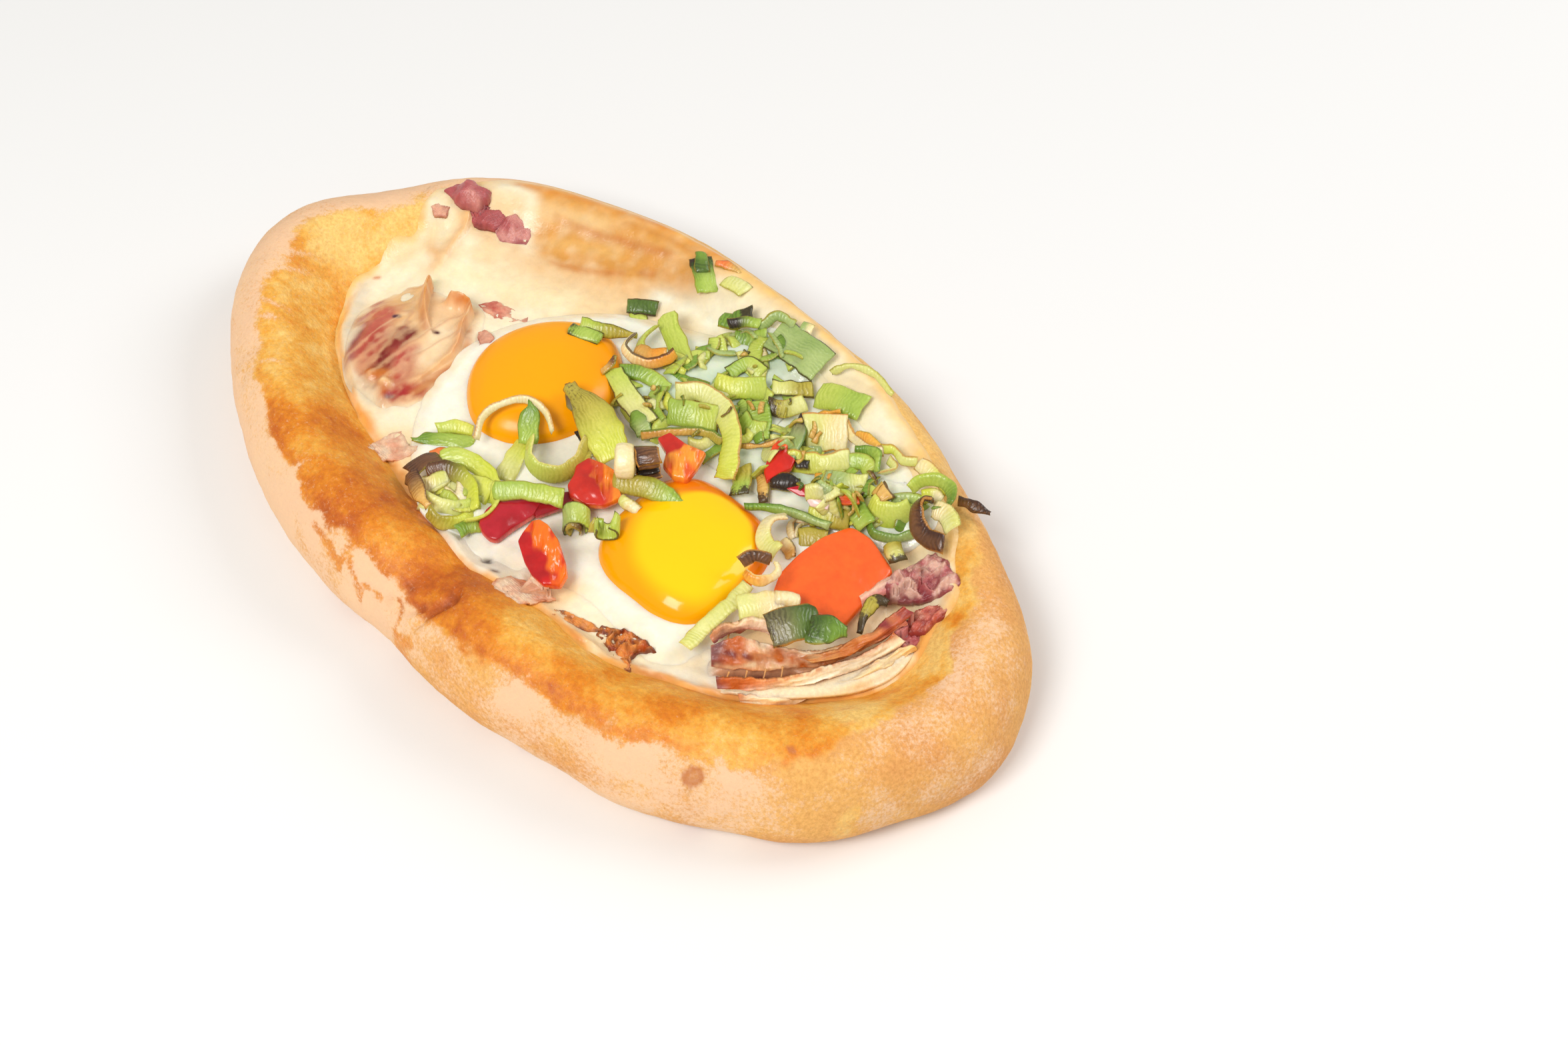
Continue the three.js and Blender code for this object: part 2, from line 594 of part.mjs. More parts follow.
// A piece cut from a flat slab {thick} deep, whose middle rises by {dome} and whose faces are uneven by
// {rough}, about the middle of its outline.
function slab({ points, thick, dome = 0.6, pitch = 0, roll = 0, rough = 0, seed = 1 }) {
  const random = randomFrom(seed);
  const middle = middleOf(points);
  const levels = [[0.6, 0], [0.95, 0.12], [1, 0.55], [0.9, 0.92], [0.5, 1]];
  const height = (share, part) => thick * part + dome * (1 - share * share);
  const rings = levels.map(([share, part]) =>
    points.map((p) => [
      (p.x - middle.x) * share,
      (p.y - middle.y) * share,
      height(share, part) + rough * part * (random() - 0.5),
    ]),
  );
  const geometry = skin([0, 0, height(0, 0)], rings, [0, 0, height(0, 1)]);
  geometry.applyMatrix4(new THREE.Matrix4().makeRotationX(roll * DEG));
  geometry.applyMatrix4(new THREE.Matrix4().makeRotationY(-pitch * DEG));
  return toSolid(geometry).translate([middle.x, middle.y, 0]);
}

// A patch of meat that follows what it lies on, its top uneven by {rough} and in {ridges}: waves {height}
// tall and {every} mm apart that run in the direction {along}.
function patch({ points, thick, rough = 0, seed = 1, height = 0, every = 6, along = 0 }) {
  const random = randomFrom(seed);
  const middle = middleOf(points);
  const carriers = [...solids.values()];
  const wave = (q) =>
    height * Math.sin((Math.PI * (q.y * Math.cos(along * DEG) - q.x * Math.sin(along * DEG))) / every) ** 2;
  const rows = [0, 0.4, 0.72, 1].map((share) =>
    points.map((p) => {
      const q = middle.clone().lerp(p, share);
      const low = topOf(carriers, q.x, q.y);
      const relief = wave(q) + rough * random();
      const depth = share < 1 ? thick * (1 - 0.4 * share) + relief : 0.8 + 0.3 * relief;
      return { low: [q.x, q.y, low], high: [q.x, q.y, low + depth] };
    }),
  );
  const rings = [
    ...rows.slice(1).map((row) => row.map(({ low }) => low)),
    ...rows.slice(1).reverse().map((row) => row.map(({ high }) => high)),
  ];
  return toSolid(skin(rows[0][0].low, rings, rows[0][0].high));
}

const RIBBON_BULGE = 0.6; // a ribbon's middle stands above the line between its edges

// A ribbon between two edges given as [x, y, z] points, wavy by {wave} mm.
function ribbon({ upper, lower, along = 8, thick = 1.4, wave = 0.5, seed = 1 }) {
  const random = randomFrom(seed);
  const curve = (points) => new THREE.CatmullRomCurve3(points.map((p) => new THREE.Vector3(...p)));
  const edges = [curve(upper), curve(lower)];
  const waves = Array.from({ length: (along + 1) * 3 }, () => wave * (2 * random() - 1));
  const face = (side) => (u, v) => {
    const p = edges[0].getPoint(v).lerp(edges[1].getPoint(v), u);
    const bulge = RIBBON_BULGE * (1 - (2 * u - 1) ** 2);
    return [p.x, p.y, p.z + bulge + side * thick + waves[Math.round(v * along) * 3 + Math.round(u * 2)]];
  };
  return toSolid(sheet(2, along, face(0.5), face(-0.5)));
}

// Bell pepper: cut squares and strips with the smooth outer skin up, and chunks cut through the flesh.
const BIG_PEPPER = {
  points: oval({ x: 67, y: 9, length: 26, width: 18.5, turn: 97, square: 0.75, jag: 1, count: 16 }),
  thick: 2.6,
  dome: 1.6,
  pitch: -6,
  roll: 5,
};
const PEPPERS = [
  {
    name: 'pepper_strip', x: 7, y: -26, length: 25, width: 8, turn: 60,
    square: 0.6, thick: 2.4, roll: -8, sink: 0.8, red: true,
  },
  {
    name: 'pepper_chunk_near', x: 16.5, y: -31.5, length: 16, width: 9,
    turn: -20, square: 0.6, thick: 5, rough: 1.2, jag: 1.2, sink: 0.6,
  },
  {
    name: 'pepper_chunk_middle', x: 9.5, y: -10.5, length: 14, width: 11,
    turn: 40, square: 0.7, thick: 4.2, rough: 1, jag: 1,
  },
  {
    name: 'pepper_chunk_far', x: 20, y: 8.5, length: 12, width: 8, turn: 20,
    square: 0.6, thick: 4, rough: 1, jag: 1,
  },
  {
    name: 'pepper_heap', x: 34.5, y: 22, length: 12, width: 6, turn: -55,
    square: 0.4, thick: 2.6, red: true,
  },
  {
    name: 'pepper_crescent', x: 50, y: 24, length: 17, width: 5.5, turn: 30,
    square: 0.2, thick: 3, pitch: 4, red: true,
  },
];
// Bacon and ham. The fold is one slice doubled over on itself; its leaves show one behind the other.
const FOLD_OUTLINE = [
  [57, -20], [62, -28], [71, -25], [80, -17], [88, -6], [91, 6],
  [86, 14], [80, 8], [74, -2], [66, -9], [60, -13],
];
const FOLD_LEAVES = [
  {
    name: 'bacon_leaf_inner',
    upper: [[59, -22, 21], [58, -17, 23], [60, -12, 23.5], [65, -8, 23], [71, -5, 22]],
    lower: [[62, -21, 20], [61, -17, 21], [63, -13, 21.5], [67, -10, 21], [72, -7, 20]],
    along: 6,
  },
  {
    name: 'bacon_leaf_middle',
    upper: [[62, -23, 22], [66, -18, 22.5], [71, -13, 22], [77, -8, 21.5], [82, -2, 22], [86, 8, 23]],
    lower: [[66, -26, 18.5], [70, -22, 18], [75, -17, 17.5], [81, -11, 18], [86, -4, 19.5], [89, 7, 21]],
    along: 9,
  },
  {
    name: 'bacon_leaf_outer',
    upper: [[66, -28, 19.5], [72, -24, 19], [79, -18, 19], [85, -10, 20], [90, 0, 21.5]],
    lower: [[68, -31, 17.5], [74, -27, 17], [81, -21, 17.5], [88, -13, 19.5], [93, -2, 21.5]],
    along: 8,
  },
];
const MEATS = [
  { name: 'ham_lump_far', x: 81, y: 24, length: 13, width: 9, turn: 20, jag: 3, thick: 3.4, rough: 1.6 },
  { name: 'ham_lump_near', x: 88, y: 15, length: 15, width: 5.5, turn: 95, jag: 2, thick: 3, rough: 1.4 },
  {
    name: 'bacon_wrinkled', x: -57, y: -11, length: 40, width: 25, turn: 42,
    jag: 3, thick: 1.4, rough: 0.8, height: 2.6, every: 9, along: 75,
    count: 18,
  },
  {
    name: 'bacon_crisp', x: 45, y: -34, length: 16, width: 7.5, turn: 10,
    jag: 3.5, thick: 2.4, rough: 2.4,
  },
  { name: 'bacon_flat', x: 31, y: -38, length: 14, width: 4.5, turn: 22, jag: 1, thick: 1, rough: 0.5 },
  { name: 'bacon_band', x: 18, y: -42, length: 20, width: 6, turn: 42, jag: 1.5, thick: 1, rough: 0.6 },
  { name: 'ham_rim', x: -35, y: -35, length: 13, width: 7, turn: 35, jag: 1.5, thick: 1, rough: 0.6 },
  { name: 'ham_top_1', x: -87, y: 33, length: 12, width: 10, turn: 20, jag: 2.5, thick: 2.2, rough: 1.4 },
  { name: 'ham_top_2', x: -77, y: 33, length: 9, width: 7, turn: 60, jag: 2, thick: 2, rough: 1.2 },
  { name: 'ham_top_3', x: -67, y: 33.5, length: 9, width: 6.5, turn: 60, jag: 2, thick: 1.8, rough: 1.2 },
  {
    name: 'ham_sliver', x: -50, y: 14, length: 12, width: 4, turn: 22,
    jag: 1.5, thick: 1.2, rough: 0.6, count: 10,
  },
];

for (const { name, red, sink, thick, pitch, roll, rough, seed, ...outline } of PEPPERS) {
  const piece = slab({ points: oval(outline), thick, pitch, roll, rough, seed });
  add(name, settle(piece, { sink }), red ? FINISH.pepperRed : FINISH.pepper);
}
const foldBed = patch({ points: closedCurve(FOLD_OUTLINE, 18), thick: 1.6, rough: 0.5 });
add('bacon_fold', settle(foldBed), FINISH.ham);
FOLD_LEAVES.forEach(({ name, ...leaf }, seed) => add(name, settle(ribbon({ ...leaf, seed })), FINISH.bacon));
MEATS.forEach(({ name, thick, rough, height, every, along, ...outline }, seed) => {
  const points = oval({ ...outline, seed: seed + 3 });
  add(name, settle(patch({ points, thick, rough, height, every, along, seed })), FINISH.ham);
});
add('pepper_big', settle(slab(BIG_PEPPER)), FINISH.pepper);

// Slices of leek that lie by themselves. {burnt} and {pale} give their finish.
const LEEKS = [
  { name: 'leek_far_rim', x: -24, y: 56, turn: -36, length: 15, width: 5, bend: 25, sink: 0.6 },
  { name: 'leek_far_tab', x: -15, y: 58.5, turn: 8, length: 7.5, width: 4, sink: 0.5, pale: true },
  { name: 'leek_upright', x: -24, y: 35, turn: -41, length: 11.5, width: 5, bend: 45, sink: 0.6 },
  { name: 'leek_yolk_side', x: -22.5, y: 26, turn: 30, length: 13, width: 5, bend: 60, sink: 0.4 },
  {
    name: 'leek_tan_ring', x: -9, y: 24, turn: 40, length: 16, width: 3,
    bend: 110, stand: 75, pale: true,
  },
  { name: 'leek_far_square', x: 29, y: 50, turn: 22, length: 12, width: 6.5, bend: 30, sink: 0.6 },
  { name: 'leek_leaf', x: -4.5, y: 2.5, turn: -11, length: 25, width: 10, bend: 40, tips: [0.4, 0.7] },
  {
    name: 'leek_dark_point', x: -26, y: -25, turn: 40, length: 15, width: 4,
    bend: 20, tips: [0.3, 1], sink: 0.6,
  },
  { name: 'leek_dark_back', x: -24, y: -19.5, turn: 45, length: 8, width: 3.6, bend: 40, sink: 0.6 },
  { name: 'leek_lime', x: -10, y: -18, turn: 100, length: 11, width: 5, bend: 70, sink: 0.6 },
  {
    name: 'leek_white_ring', x: -16, y: -9, turn: 38, length: 27, width: 2.6,
    bend: -150, stand: 70, thick: 1.3, pale: true,
  },
  {
    name: 'leek_pointed', x: -13, y: -8, turn: -56, length: 12, width: 4.6,
    bend: 30, tips: [0.9, 0.2], pitch: 8,
  },
  {
    name: 'leek_ring_near', x: -1, y: -14, turn: 45, length: 20, width: 4,
    bend: 130, stand: 60, sink: 0.6,
  },
  { name: 'leek_strip_near', x: 1, y: -21, turn: 47, length: 14.5, width: 4.5, bend: 25 },
  { name: 'leek_striped', x: 20, y: -2.5, turn: 23, length: 16.5, width: 5, bend: 20, tips: [0.9, 0.3] },
  {
    name: 'leek_tube_left', x: 17.5, y: -22.5, turn: 40, length: 12,
    width: 4.5, bend: 290, stand: 20, sink: 0.6, pale: true,
  },
  {
    name: 'leek_tube_right', x: 22.5, y: -19.8, turn: 60, length: 8, width: 4,
    bend: 200, stand: 20, pale: true,
  },
  { name: 'leek_curled', x: 15, y: -0.5, turn: 50, length: 12, width: 7.5, bend: 200, burnt: true },
  { name: 'leek_shreds', x: 53, y: 10, turn: 90, length: 10, width: 5, bend: 60, pale: true },
  { name: 'leek_long_strip', x: 48, y: 14, turn: 27, length: 20, width: 2.6, bend: 20, thick: 1.3 },
  {
    name: 'leek_white_curl', x: 48, y: 6, turn: -40, length: 12, width: 5,
    bend: 110, stand: 55, pale: true,
  },
  { name: 'leek_yolk_strip', x: 53, y: -14, turn: -80, length: 24, width: 3.6, bend: 20, pale: true },
  {
    name: 'leek_cream_ribbed', x: 60, y: -9, turn: 50, length: 10, width: 5.5,
    bend: 60, sink: 0.4, pale: true,
  },
  {
    name: 'leek_brown_ring', x: 55.5, y: -3, turn: 50, length: 17, width: 3.4,
    bend: 250, stand: 50, burnt: true,
  },
  { name: 'leek_grey_left', x: 70, y: -9, turn: 35, length: 10.5, width: 8, bend: 60 },
  { name: 'leek_grey_right', x: 77.5, y: -3, turn: 55, length: 10, width: 5.5, bend: 60 },
  { name: 'leek_yellow_bent', x: 79, y: 8, turn: -50, length: 11, width: 2.6, bend: 60 },
  { name: 'leek_bright_ring', x: 67.5, y: 40, turn: 40, length: 22, width: 4, bend: 280, stand: 70 },
  {
    name: 'leek_burnt_curl', x: 73, y: 33, turn: -10, length: 15, width: 6,
    bend: 110, stand: 40, burnt: true,
  },
  {
    name: 'leek_burnt_tip', x: 75.5, y: 45, turn: 30, length: 9, width: 2.6,
    bend: 25, tips: [1, 0.3], burnt: true,
  },
];
for (const { name, x, y, sink, pale, burnt, ...spec } of LEEKS) {
  const material = (pale && FINISH.leekPale) || (burnt && FINISH.leekBurnt) || FINISH.leekGreen;
  add(name, settle(slice(spec), { x, y, sink }), material);
}

export default khachapuri;
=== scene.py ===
"""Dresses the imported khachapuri: crust, melted cheese, eggs, leek, pepper and bacon round the frame.

Shapes are worked out in millimetres in the loaf's own coordinates, whose origin is the middle of the ellipse
that the loaf follows. They become metres in the frame when a mesh is placed.
"""

import logging
import math
from dataclasses import dataclass, field, replace
from enum import Enum
from typing import ClassVar

import bpy
import numpy as np
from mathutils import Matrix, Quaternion, Vector


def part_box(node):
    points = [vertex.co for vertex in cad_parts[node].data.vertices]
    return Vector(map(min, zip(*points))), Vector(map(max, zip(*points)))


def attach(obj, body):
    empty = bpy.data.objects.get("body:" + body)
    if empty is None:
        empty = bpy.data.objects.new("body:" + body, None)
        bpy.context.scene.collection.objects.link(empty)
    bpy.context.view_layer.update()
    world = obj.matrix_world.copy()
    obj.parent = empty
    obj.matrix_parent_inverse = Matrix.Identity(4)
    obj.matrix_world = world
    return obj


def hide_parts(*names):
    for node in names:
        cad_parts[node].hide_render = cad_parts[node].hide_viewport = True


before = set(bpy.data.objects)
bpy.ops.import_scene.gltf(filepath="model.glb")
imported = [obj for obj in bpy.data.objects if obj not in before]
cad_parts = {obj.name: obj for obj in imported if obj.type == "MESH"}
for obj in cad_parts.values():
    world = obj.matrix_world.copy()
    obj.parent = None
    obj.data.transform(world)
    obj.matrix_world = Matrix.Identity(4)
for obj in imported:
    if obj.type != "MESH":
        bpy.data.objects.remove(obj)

LOG = logging.getLogger("khachapuri")
Array = np.ndarray
Colour = tuple[float, float, float]
Tint = tuple[int, int, int]
Point = tuple[float, float, float]
Row = tuple[float, ...]
Rows = tuple[Row, ...]
Path = tuple[tuple[float, float], ...]
Socket = bpy.types.NodeSocket
Material = bpy.types.Material
MM = 0.001
FAR = 1e9
PLAN = np.array([1.0, 1.0, 0.0])
BODY = "root"


# ---- tables


class Written:
    """A piece that can be read from a line of text.

    Cells stand between semicolons, first the fields in order, then others as a name and a value. A value is
    a number, a row of numbers, rows with commas between, or the name of a choice. A name alone means true. A
    line that ends in a comma or a semicolon goes on in the next.
    """

    choices: ClassVar[type[Enum]] = Enum

    @classmethod
    def value(cls, text: str) -> object:
        """What a cell says.

        Args:
            text: The cell's text, without a name.

        Returns:
            A number, a tuple or a choice.
        """
        if "," in text:
            return tuple(cls.value(part) for part in text.split(","))
        if text.isupper():
            return cls.choices[text]
        numbers = tuple(float(word) if "." in word else int(word) for word in text.split())
        return numbers if len(numbers) > 1 else numbers[0]

    @classmethod
    def one(cls, line: str) -> "Written":
        """The piece of one line.

        Args:
            line: The line's text.

        Returns:
            The piece.
        """
        placed, named = [], {}
        for cell in line.split(";"):
            name, _, rest = cell.strip().partition(" ")
            if name.islower():
                named[name] = cls.value(rest) if rest else True
            else:
                placed.append(cls.value(cell.strip()))
        return cls(*placed, **named)

    @classmethod
    def groups(cls, text: str) -> dict[str, tuple]:
        """Pieces by the names over them, each on a line of its own that ends in a colon.

        Args:
            text: Lines of names and pieces.

        Returns:
            The pieces under each name.
        """
        found: dict[str, tuple] = {}
        for line in text.replace(",\n", ",").replace(";\n", ";").strip().splitlines():
            if line.endswith(":"):
                name = line[:-1]
                found[name] = ()
            else:
                found[name] += (cls.one(line),)
        return found

    @classmethod
    def read(cls, text: str) -> tuple:
        """Pieces without names over them."""
        return cls.groups("all:" + text)["all"]


# ---- small maths


def ease(value: Array | float) -> Array:
    """A smooth step from 0 to 1."""
    share = np.clip(value, 0.0, 1.0)
    return share * share * (3.0 - 2.0 * share)


def mix(start: Array | float, end: Array | float, share: Array | float) -> Array | float:
    """The value a share of the way from start to end."""
    return start + (end - start) * share


def bell(distance: Array | float) -> Array:
    """1 at no distance, falling smoothly to 0 past about 2."""
    return np.exp(-np.square(distance))


def turn_between(first: Array | float, second: Array | float) -> Array | float:
    """The shorter way round between two angles in degrees."""
    return np.abs((first - second + 540.0) % 360.0 - 180.0)


def linked(name: str, data: object) -> bpy.types.Object:
    """An object of the scene that shows data.

    Args:
        name: The object's name.
        data: Its mesh, camera or light.

    Returns:
        The object.
    """
    made = bpy.data.objects.new(name, data)
    bpy.context.scene.collection.objects.link(made)
    return made


def linear(red: float, green: float, blue: float) -> Colour:
    """A display colour given from 0 to 255, as the linear colour that shaders take."""
    shares = (channel / 255.0 for channel in (red, green, blue))
    return tuple(s / 12.92 if s <= 0.04045 else ((s + 0.055) / 1.055) ** 2.4 for s in shares)


def shade(red: float, green: float, blue: float) -> Array:
    """A display colour as a linear one to mix."""
    return np.array(linear(red, green, blue))


def stacked(*parts: Array) -> Array:
    """Arrays side by side in a new last axis."""
    return np.stack(parts, axis=-1)


def unit(vectors: Array) -> Array:
    """Vectors made one long."""
    return vectors / np.linalg.norm(vectors, axis=-1, keepdims=True)


def path_length(curve: Array) -> float:
    """Length along points."""
    return float(np.linalg.norm(np.diff(curve, axis=0), axis=1).sum())


def angles(count: int) -> Array:
    """Angles spread evenly round, in degrees."""
    return np.arange(count) * 360.0 / count


def turned(x: Array | float, y: Array | float, deg: float) -> tuple[Array, Array]:
    """Parts of an offset over the plan that run along a direction in degrees and to its left."""
    c, s = math.cos(math.radians(deg)), math.sin(math.radians(deg))
    return x * c + y * s, y * c - x * s


def smooth_curve(points: list[Row], count: int, closed: bool = False) -> Array:
    """A Catmull-Rom curve through points.

    Args:
        points: Corners of any dimension.
        count: How many points to return, evenly spread over the spans.
        closed: Whether the last point joins the first.

    Returns:
        An array of count points.
    """
    p = np.asarray(points, float)
    spans = len(p) if closed else len(p) - 1
    place = np.arange(count) * spans / (count if closed else count - 1)
    start = np.minimum(place.astype(int), spans - 1)
    t = (place - start)[:, None]
    if closed:
        a, b, c, d = (p[(start + k) % len(p)] for k in (-1, 0, 1, 2))
    else:
        padded = np.vstack([2 * p[0] - p[1], p, 2 * p[-1] - p[-2]])
        a, b, c, d = (padded[start + k] for k in range(4))
    return 0.5 * (2 * b + (c - a) * t + (2 * a - 5 * b + 4 * c - d) * t**2 + (3 * b - a - 3 * c + d) * t**3)


def beside(x: Array, y: Array, ex: float, ey: float) -> tuple[Array, Array]:
    """Distance of points from the span between the origin and (ex, ey), and the share of it beside them."""
    along = np.clip((x * ex + y * ey) / (ex * ex + ey * ey), 0, 1)
    return np.hypot(x - along * ex, y - along * ey), along


def distance_inside(x: Array, y: Array, outline: Array) -> Array:
    """How far points lie inside a closed outline, negative outside it, in millimetres.

    Args:
        x, y: The points.
        outline: Corners in order.

    Returns:
        A distance for each point.
    """
    best = np.full(np.shape(x), FAR)
    inside = np.zeros(np.shape(x), bool)
    for (ax, ay), (bx, by) in zip(outline[:, :2], np.roll(outline[:, :2], -1, axis=0)):
        best = np.minimum(best, beside(x - ax, y - ay, bx - ax, by - ay)[0])
        if ay != by:
            inside ^= ((ay > y) != (by > y)) & (x < (bx - ax) * (y - ay) / (by - ay) + ax)
    return np.where(inside, best, -best)


def offset_from_path(x: Array, y: Array, path: Array) -> tuple[Array, Array]:
    """Signed distance in mm from an open path, positive on its left, and the path's share beside it.

    Args:
        x, y: The points.
        path: Its corners in order.

    Returns:
        The distance and the share for each point.
    """
    best = np.full(np.shape(x), FAR)
    side, share = np.ones(np.shape(x)), np.zeros(np.shape(x))
    for k, ((ax, ay), (bx, by)) in enumerate(zip(path[:-1, :2], path[1:, :2])):
        ex, ey = bx - ax, by - ay
        off, along = beside(x - ax, y - ay, ex, ey)
        side = np.where(off < best, np.where(ex * (y - ay) < ey * (x - ax), -1.0, 1.0), side)
        share = np.where(off < best, (k + along) / (len(path) - 1), share)
        best = np.minimum(best, off)
    return best * side, share


@dataclass(frozen=True)
class Grain:
    """Seeded noise over points in millimetres, from about -1 to 1."""

    seed: int

    def _corner(self, cell: Array) -> Array:
        """A number from 0 to 1 for each whole-numbered corner.

        Args:
            cell: Corners, as (..., 3).

        Returns:
            A number for each corner.
        """
        x, y, z = (cell[..., k] for k in range(3))
        h = (x * 374761393 + y * 668265263 + z * 2147483647 + self.seed * 1442695041) & 0xFFFFFFFF
        h = ((h ^ (h >> 13)) * 1274126177) & 0xFFFFFFFF
        return ((h ^ (h >> 16)) & 0xFFFFFF) / 0xFFFFFF

    def _smooth(self, points: Array) -> Array:
        """Noise with features one unit apart, from 0 to 1.

        Args:
            points: Places, as (..., 3).

        Returns:
            A value for each point.
        """
        cell = np.floor(points).astype(np.int64)
        w = ease(points - cell)
        total = 0.0
        for corner in range(8):
            step = np.array([corner & 1, corner >> 1 & 1, corner >> 2 & 1])
            weight = np.prod(np.where(step, w, 1 - w), axis=-1)
            total = total + weight * self._corner(cell + step)
        return total

    def at(self, points: Array, size: float, octaves: int = 3) -> Array:
        """Layered noise.

        Args:
            points: Places, as (..., 3).
            size: Millimetres between the largest features.
            octaves: Layers, each half as large and half as strong.

        Returns:
            A value for each point.
        """
        total, strength = 0.0, 1.0
        for k in range(octaves):
            total = total + strength * (2 * self._smooth(points / size + 31.7 * k) - 1)
            size, strength = size / 2, strength / 2
        return total

    def ridges(self, points: Array, size: float, octaves: int = 3) -> Array:
        """Noise with sharp crests, from 0 to 1."""
        return 1.0 - np.clip(np.abs(self.at(points, size, octaves)) * 1.6, 0, 1)

    def creases(self, points: Array, size: float) -> Array:
        """Uneven cells over the plan, from 0 at their sunken borders to about 1 in their middles.

        Args:
            points: Places, as (..., 3).
            size: Millimetres across a cell.

        Returns:
            A value for each point.
        """
        place = points[..., :2] / size
        cell = np.floor(place).astype(np.int64)
        first = np.full(place.shape[:-1], 9.0)
        second = first.copy()
        for step in range(9):
            x, y = cell[..., 0] + step % 3 - 1, cell[..., 1] + step // 3 - 1
            corner = stacked(x, y, 0 * x)
            jitter = stacked(self._corner(corner), self._corner(corner + 17))
            off = np.linalg.norm(corner[..., :2] + jitter - place, axis=-1)
            second = np.minimum(second, np.maximum(first, off))
            first = np.minimum(first, off)
        return np.clip(second - first, 0, 1)


# ---- the loaf's form


@dataclass(frozen=True)
class Lobe:
    """An uneven spot round the loaf, whose place and spread are in degrees and whose size is in mm."""

    at: float
    size: float
    spread: float


@dataclass(frozen=True)
class Mound:
    """A rise or hollow of the cheese in mm, longest towards its turn in degrees."""

    x: float
    y: float
    reach: tuple[float, float]
    turn: float
    rise: float


def lobes(*rows: tuple[float, float, float]) -> tuple[Lobe, ...]:
    """Lobes from rows of at, size and spread."""
    return tuple(Lobe(*row) for row in rows)


@dataclass(frozen=True)
class LoafShape:
    """Heights of the dough and the filling over the plan. A pair is the near long side, then the far one."""

    half_length: float = 118.0
    half_width: float = 66.5
    middle: tuple[float, float] = (0.8, 1.25)
    bulge_height: float = 9.5
    base_inset: float = 8.0
    crest_inset: tuple[float, float] = (13.0, 8.0)
    crest_height: tuple[float, float] = (26.0, 23.0)
    well_floor: float = 9.0
    well_slope: float = 27.0
    filling_level: float = 17.5
    filling_edge_thickness: float = 0.8
    filling_feather: float = 4.0
    blanket: float = 1.3
    soft_edge: float = 1.2
    rim_mound_share: float = 0.4
    white_thickness: float = 1.7
    gap: float = 0.3
    filling_edge: Row = (
        26.5, 23, 15, 9, 6, 4, 3, 2.6, 2.4, 2.6, 7, 19, 26, 28.5, 28, 26, 27, 25, 20, 23.5, 22, 24, 27, 27.5,
    )
    outline_lobes: tuple[Lobe, ...] = lobes(
        (165, -3, 13), (132, 3, 13), (110, 3.6, 15), (80, 1.6, 22), (50, -0.8, 14), (24, 1.6, 10),
        (6, 1.2, 9), (345, -0.8, 10), (326, 1.8, 12), (305, 2.4, 9), (284, 0.8, 6), (269, -1.6, 5),
        (250, 0.6, 10), (222, -1.2, 14), (196, -0.4, 14),
    )
    rim_lobes: tuple[Lobe, ...] = lobes(
        (272, -3.4, 5), (288, 1.6, 8), (250, 1.4, 12), (222, -1.4, 8), (196, 1, 12), (160, -2.2, 12),
        (335, 0.8, 14),
    )
    cheese_mounds: tuple[Mound, ...] = (
        Mound(-60, -10, (17, 15), 40, 3.6),
        Mound(-79, 24, (12, 12), 0, 2.6),
        Mound(-79, -4, (6, 15), 15, -2.4),
        Mound(-42, 44, (30, 4.5), 8, 2.4),
        Mound(-35, 54, (24, 3.5), 4, 1.8),
        Mound(76, -10, (18, 9), 50, -3.8),
        Mound(84, 12, (8, 16), 0, -2.6),
        Mound(22, -40, (12, 5), -8, 1.4),
    )
    white_outline: Path = (
        (-46, -14), (-48, 12), (-34, 33), (-14, 44), (12, 54), (40, 48), (62, 42), (66, 14),
        (60, -20), (52, -34), (28, -32), (4, -41), (-14, -39), (-32, -32),
    )

    @staticmethod
    def bumps(spots: tuple[Lobe, ...], deg: Array) -> Array:
        """The lobes' sum at each angle."""
        return sum(s.size * bell(turn_between(deg, s.at) / s.spread) for s in spots)

    @staticmethod
    def around(values: Row, deg: Array) -> Array:
        """Values spaced evenly round from 0 degrees, eased between.

        Args:
            values: The values in order.
            deg: The angles.

        Returns:
            A value for each angle.
        """
        table = np.asarray(values, float)
        place = (np.asarray(deg, float) % 360.0) * len(table) / 360.0
        before = np.floor(place).astype(int) % len(table)
        return mix(table[before], table[(before + 1) % len(table)], ease(place - np.floor(place)))

    def edge_scale(self, deg: Array) -> Array:
        """Share of the ellipse that one millimetre is, towards each angle."""
        a = np.radians(deg)
        return np.hypot(np.cos(a) / self.half_length, np.sin(a) / self.half_width)

    def plan(self, deg: Array, inset: Array | float) -> tuple[Array, Array]:
        """The point at an angle and an inset from the loaf's edge.

        Args:
            deg: The angles.
            inset: How far in, in mm.

        Returns:
            The points' x and y.
        """
        share = 1 + (self.bumps(self.outline_lobes, deg) - inset) * self.edge_scale(deg)
        a = np.radians(deg)
        return self.half_length * share * np.cos(a), self.half_width * share * np.sin(a)

    def round_and_in(self, x: Array, y: Array) -> tuple[Array, Array]:
        """The angle and inset of a point.

        Args:
            x, y: The points.

        Returns:
            The angles in degrees and the insets in mm.
        """
        deg = np.degrees(np.arctan2(y / self.half_width, x / self.half_length)) % 360.0
        share = np.hypot(x / self.half_length, y / self.half_width)
        return deg, self.bumps(self.outline_lobes, deg) + (1 - share) / self.edge_scale(deg)

    @staticmethod
    def far_share(deg: Array) -> Array:
        """1 on the far long side, 0 round the rest."""
        side = ease((np.sin(np.radians(deg)) - 0.15) / 0.6)
        return side * ease((turn_between(deg, 180.0) - 12.0) / 25.0)

    def crest(self, deg: Array) -> tuple[Array, Array]:
        """Inset and height of the rim's top.

        Args:
            deg: The angles.

        Returns:
            The top's insets and heights.
        """
        far = self.far_share(deg)
        height = mix(*self.crest_height, far) + self.bumps(self.rim_lobes, deg)
        return mix(*self.crest_inset, far), height

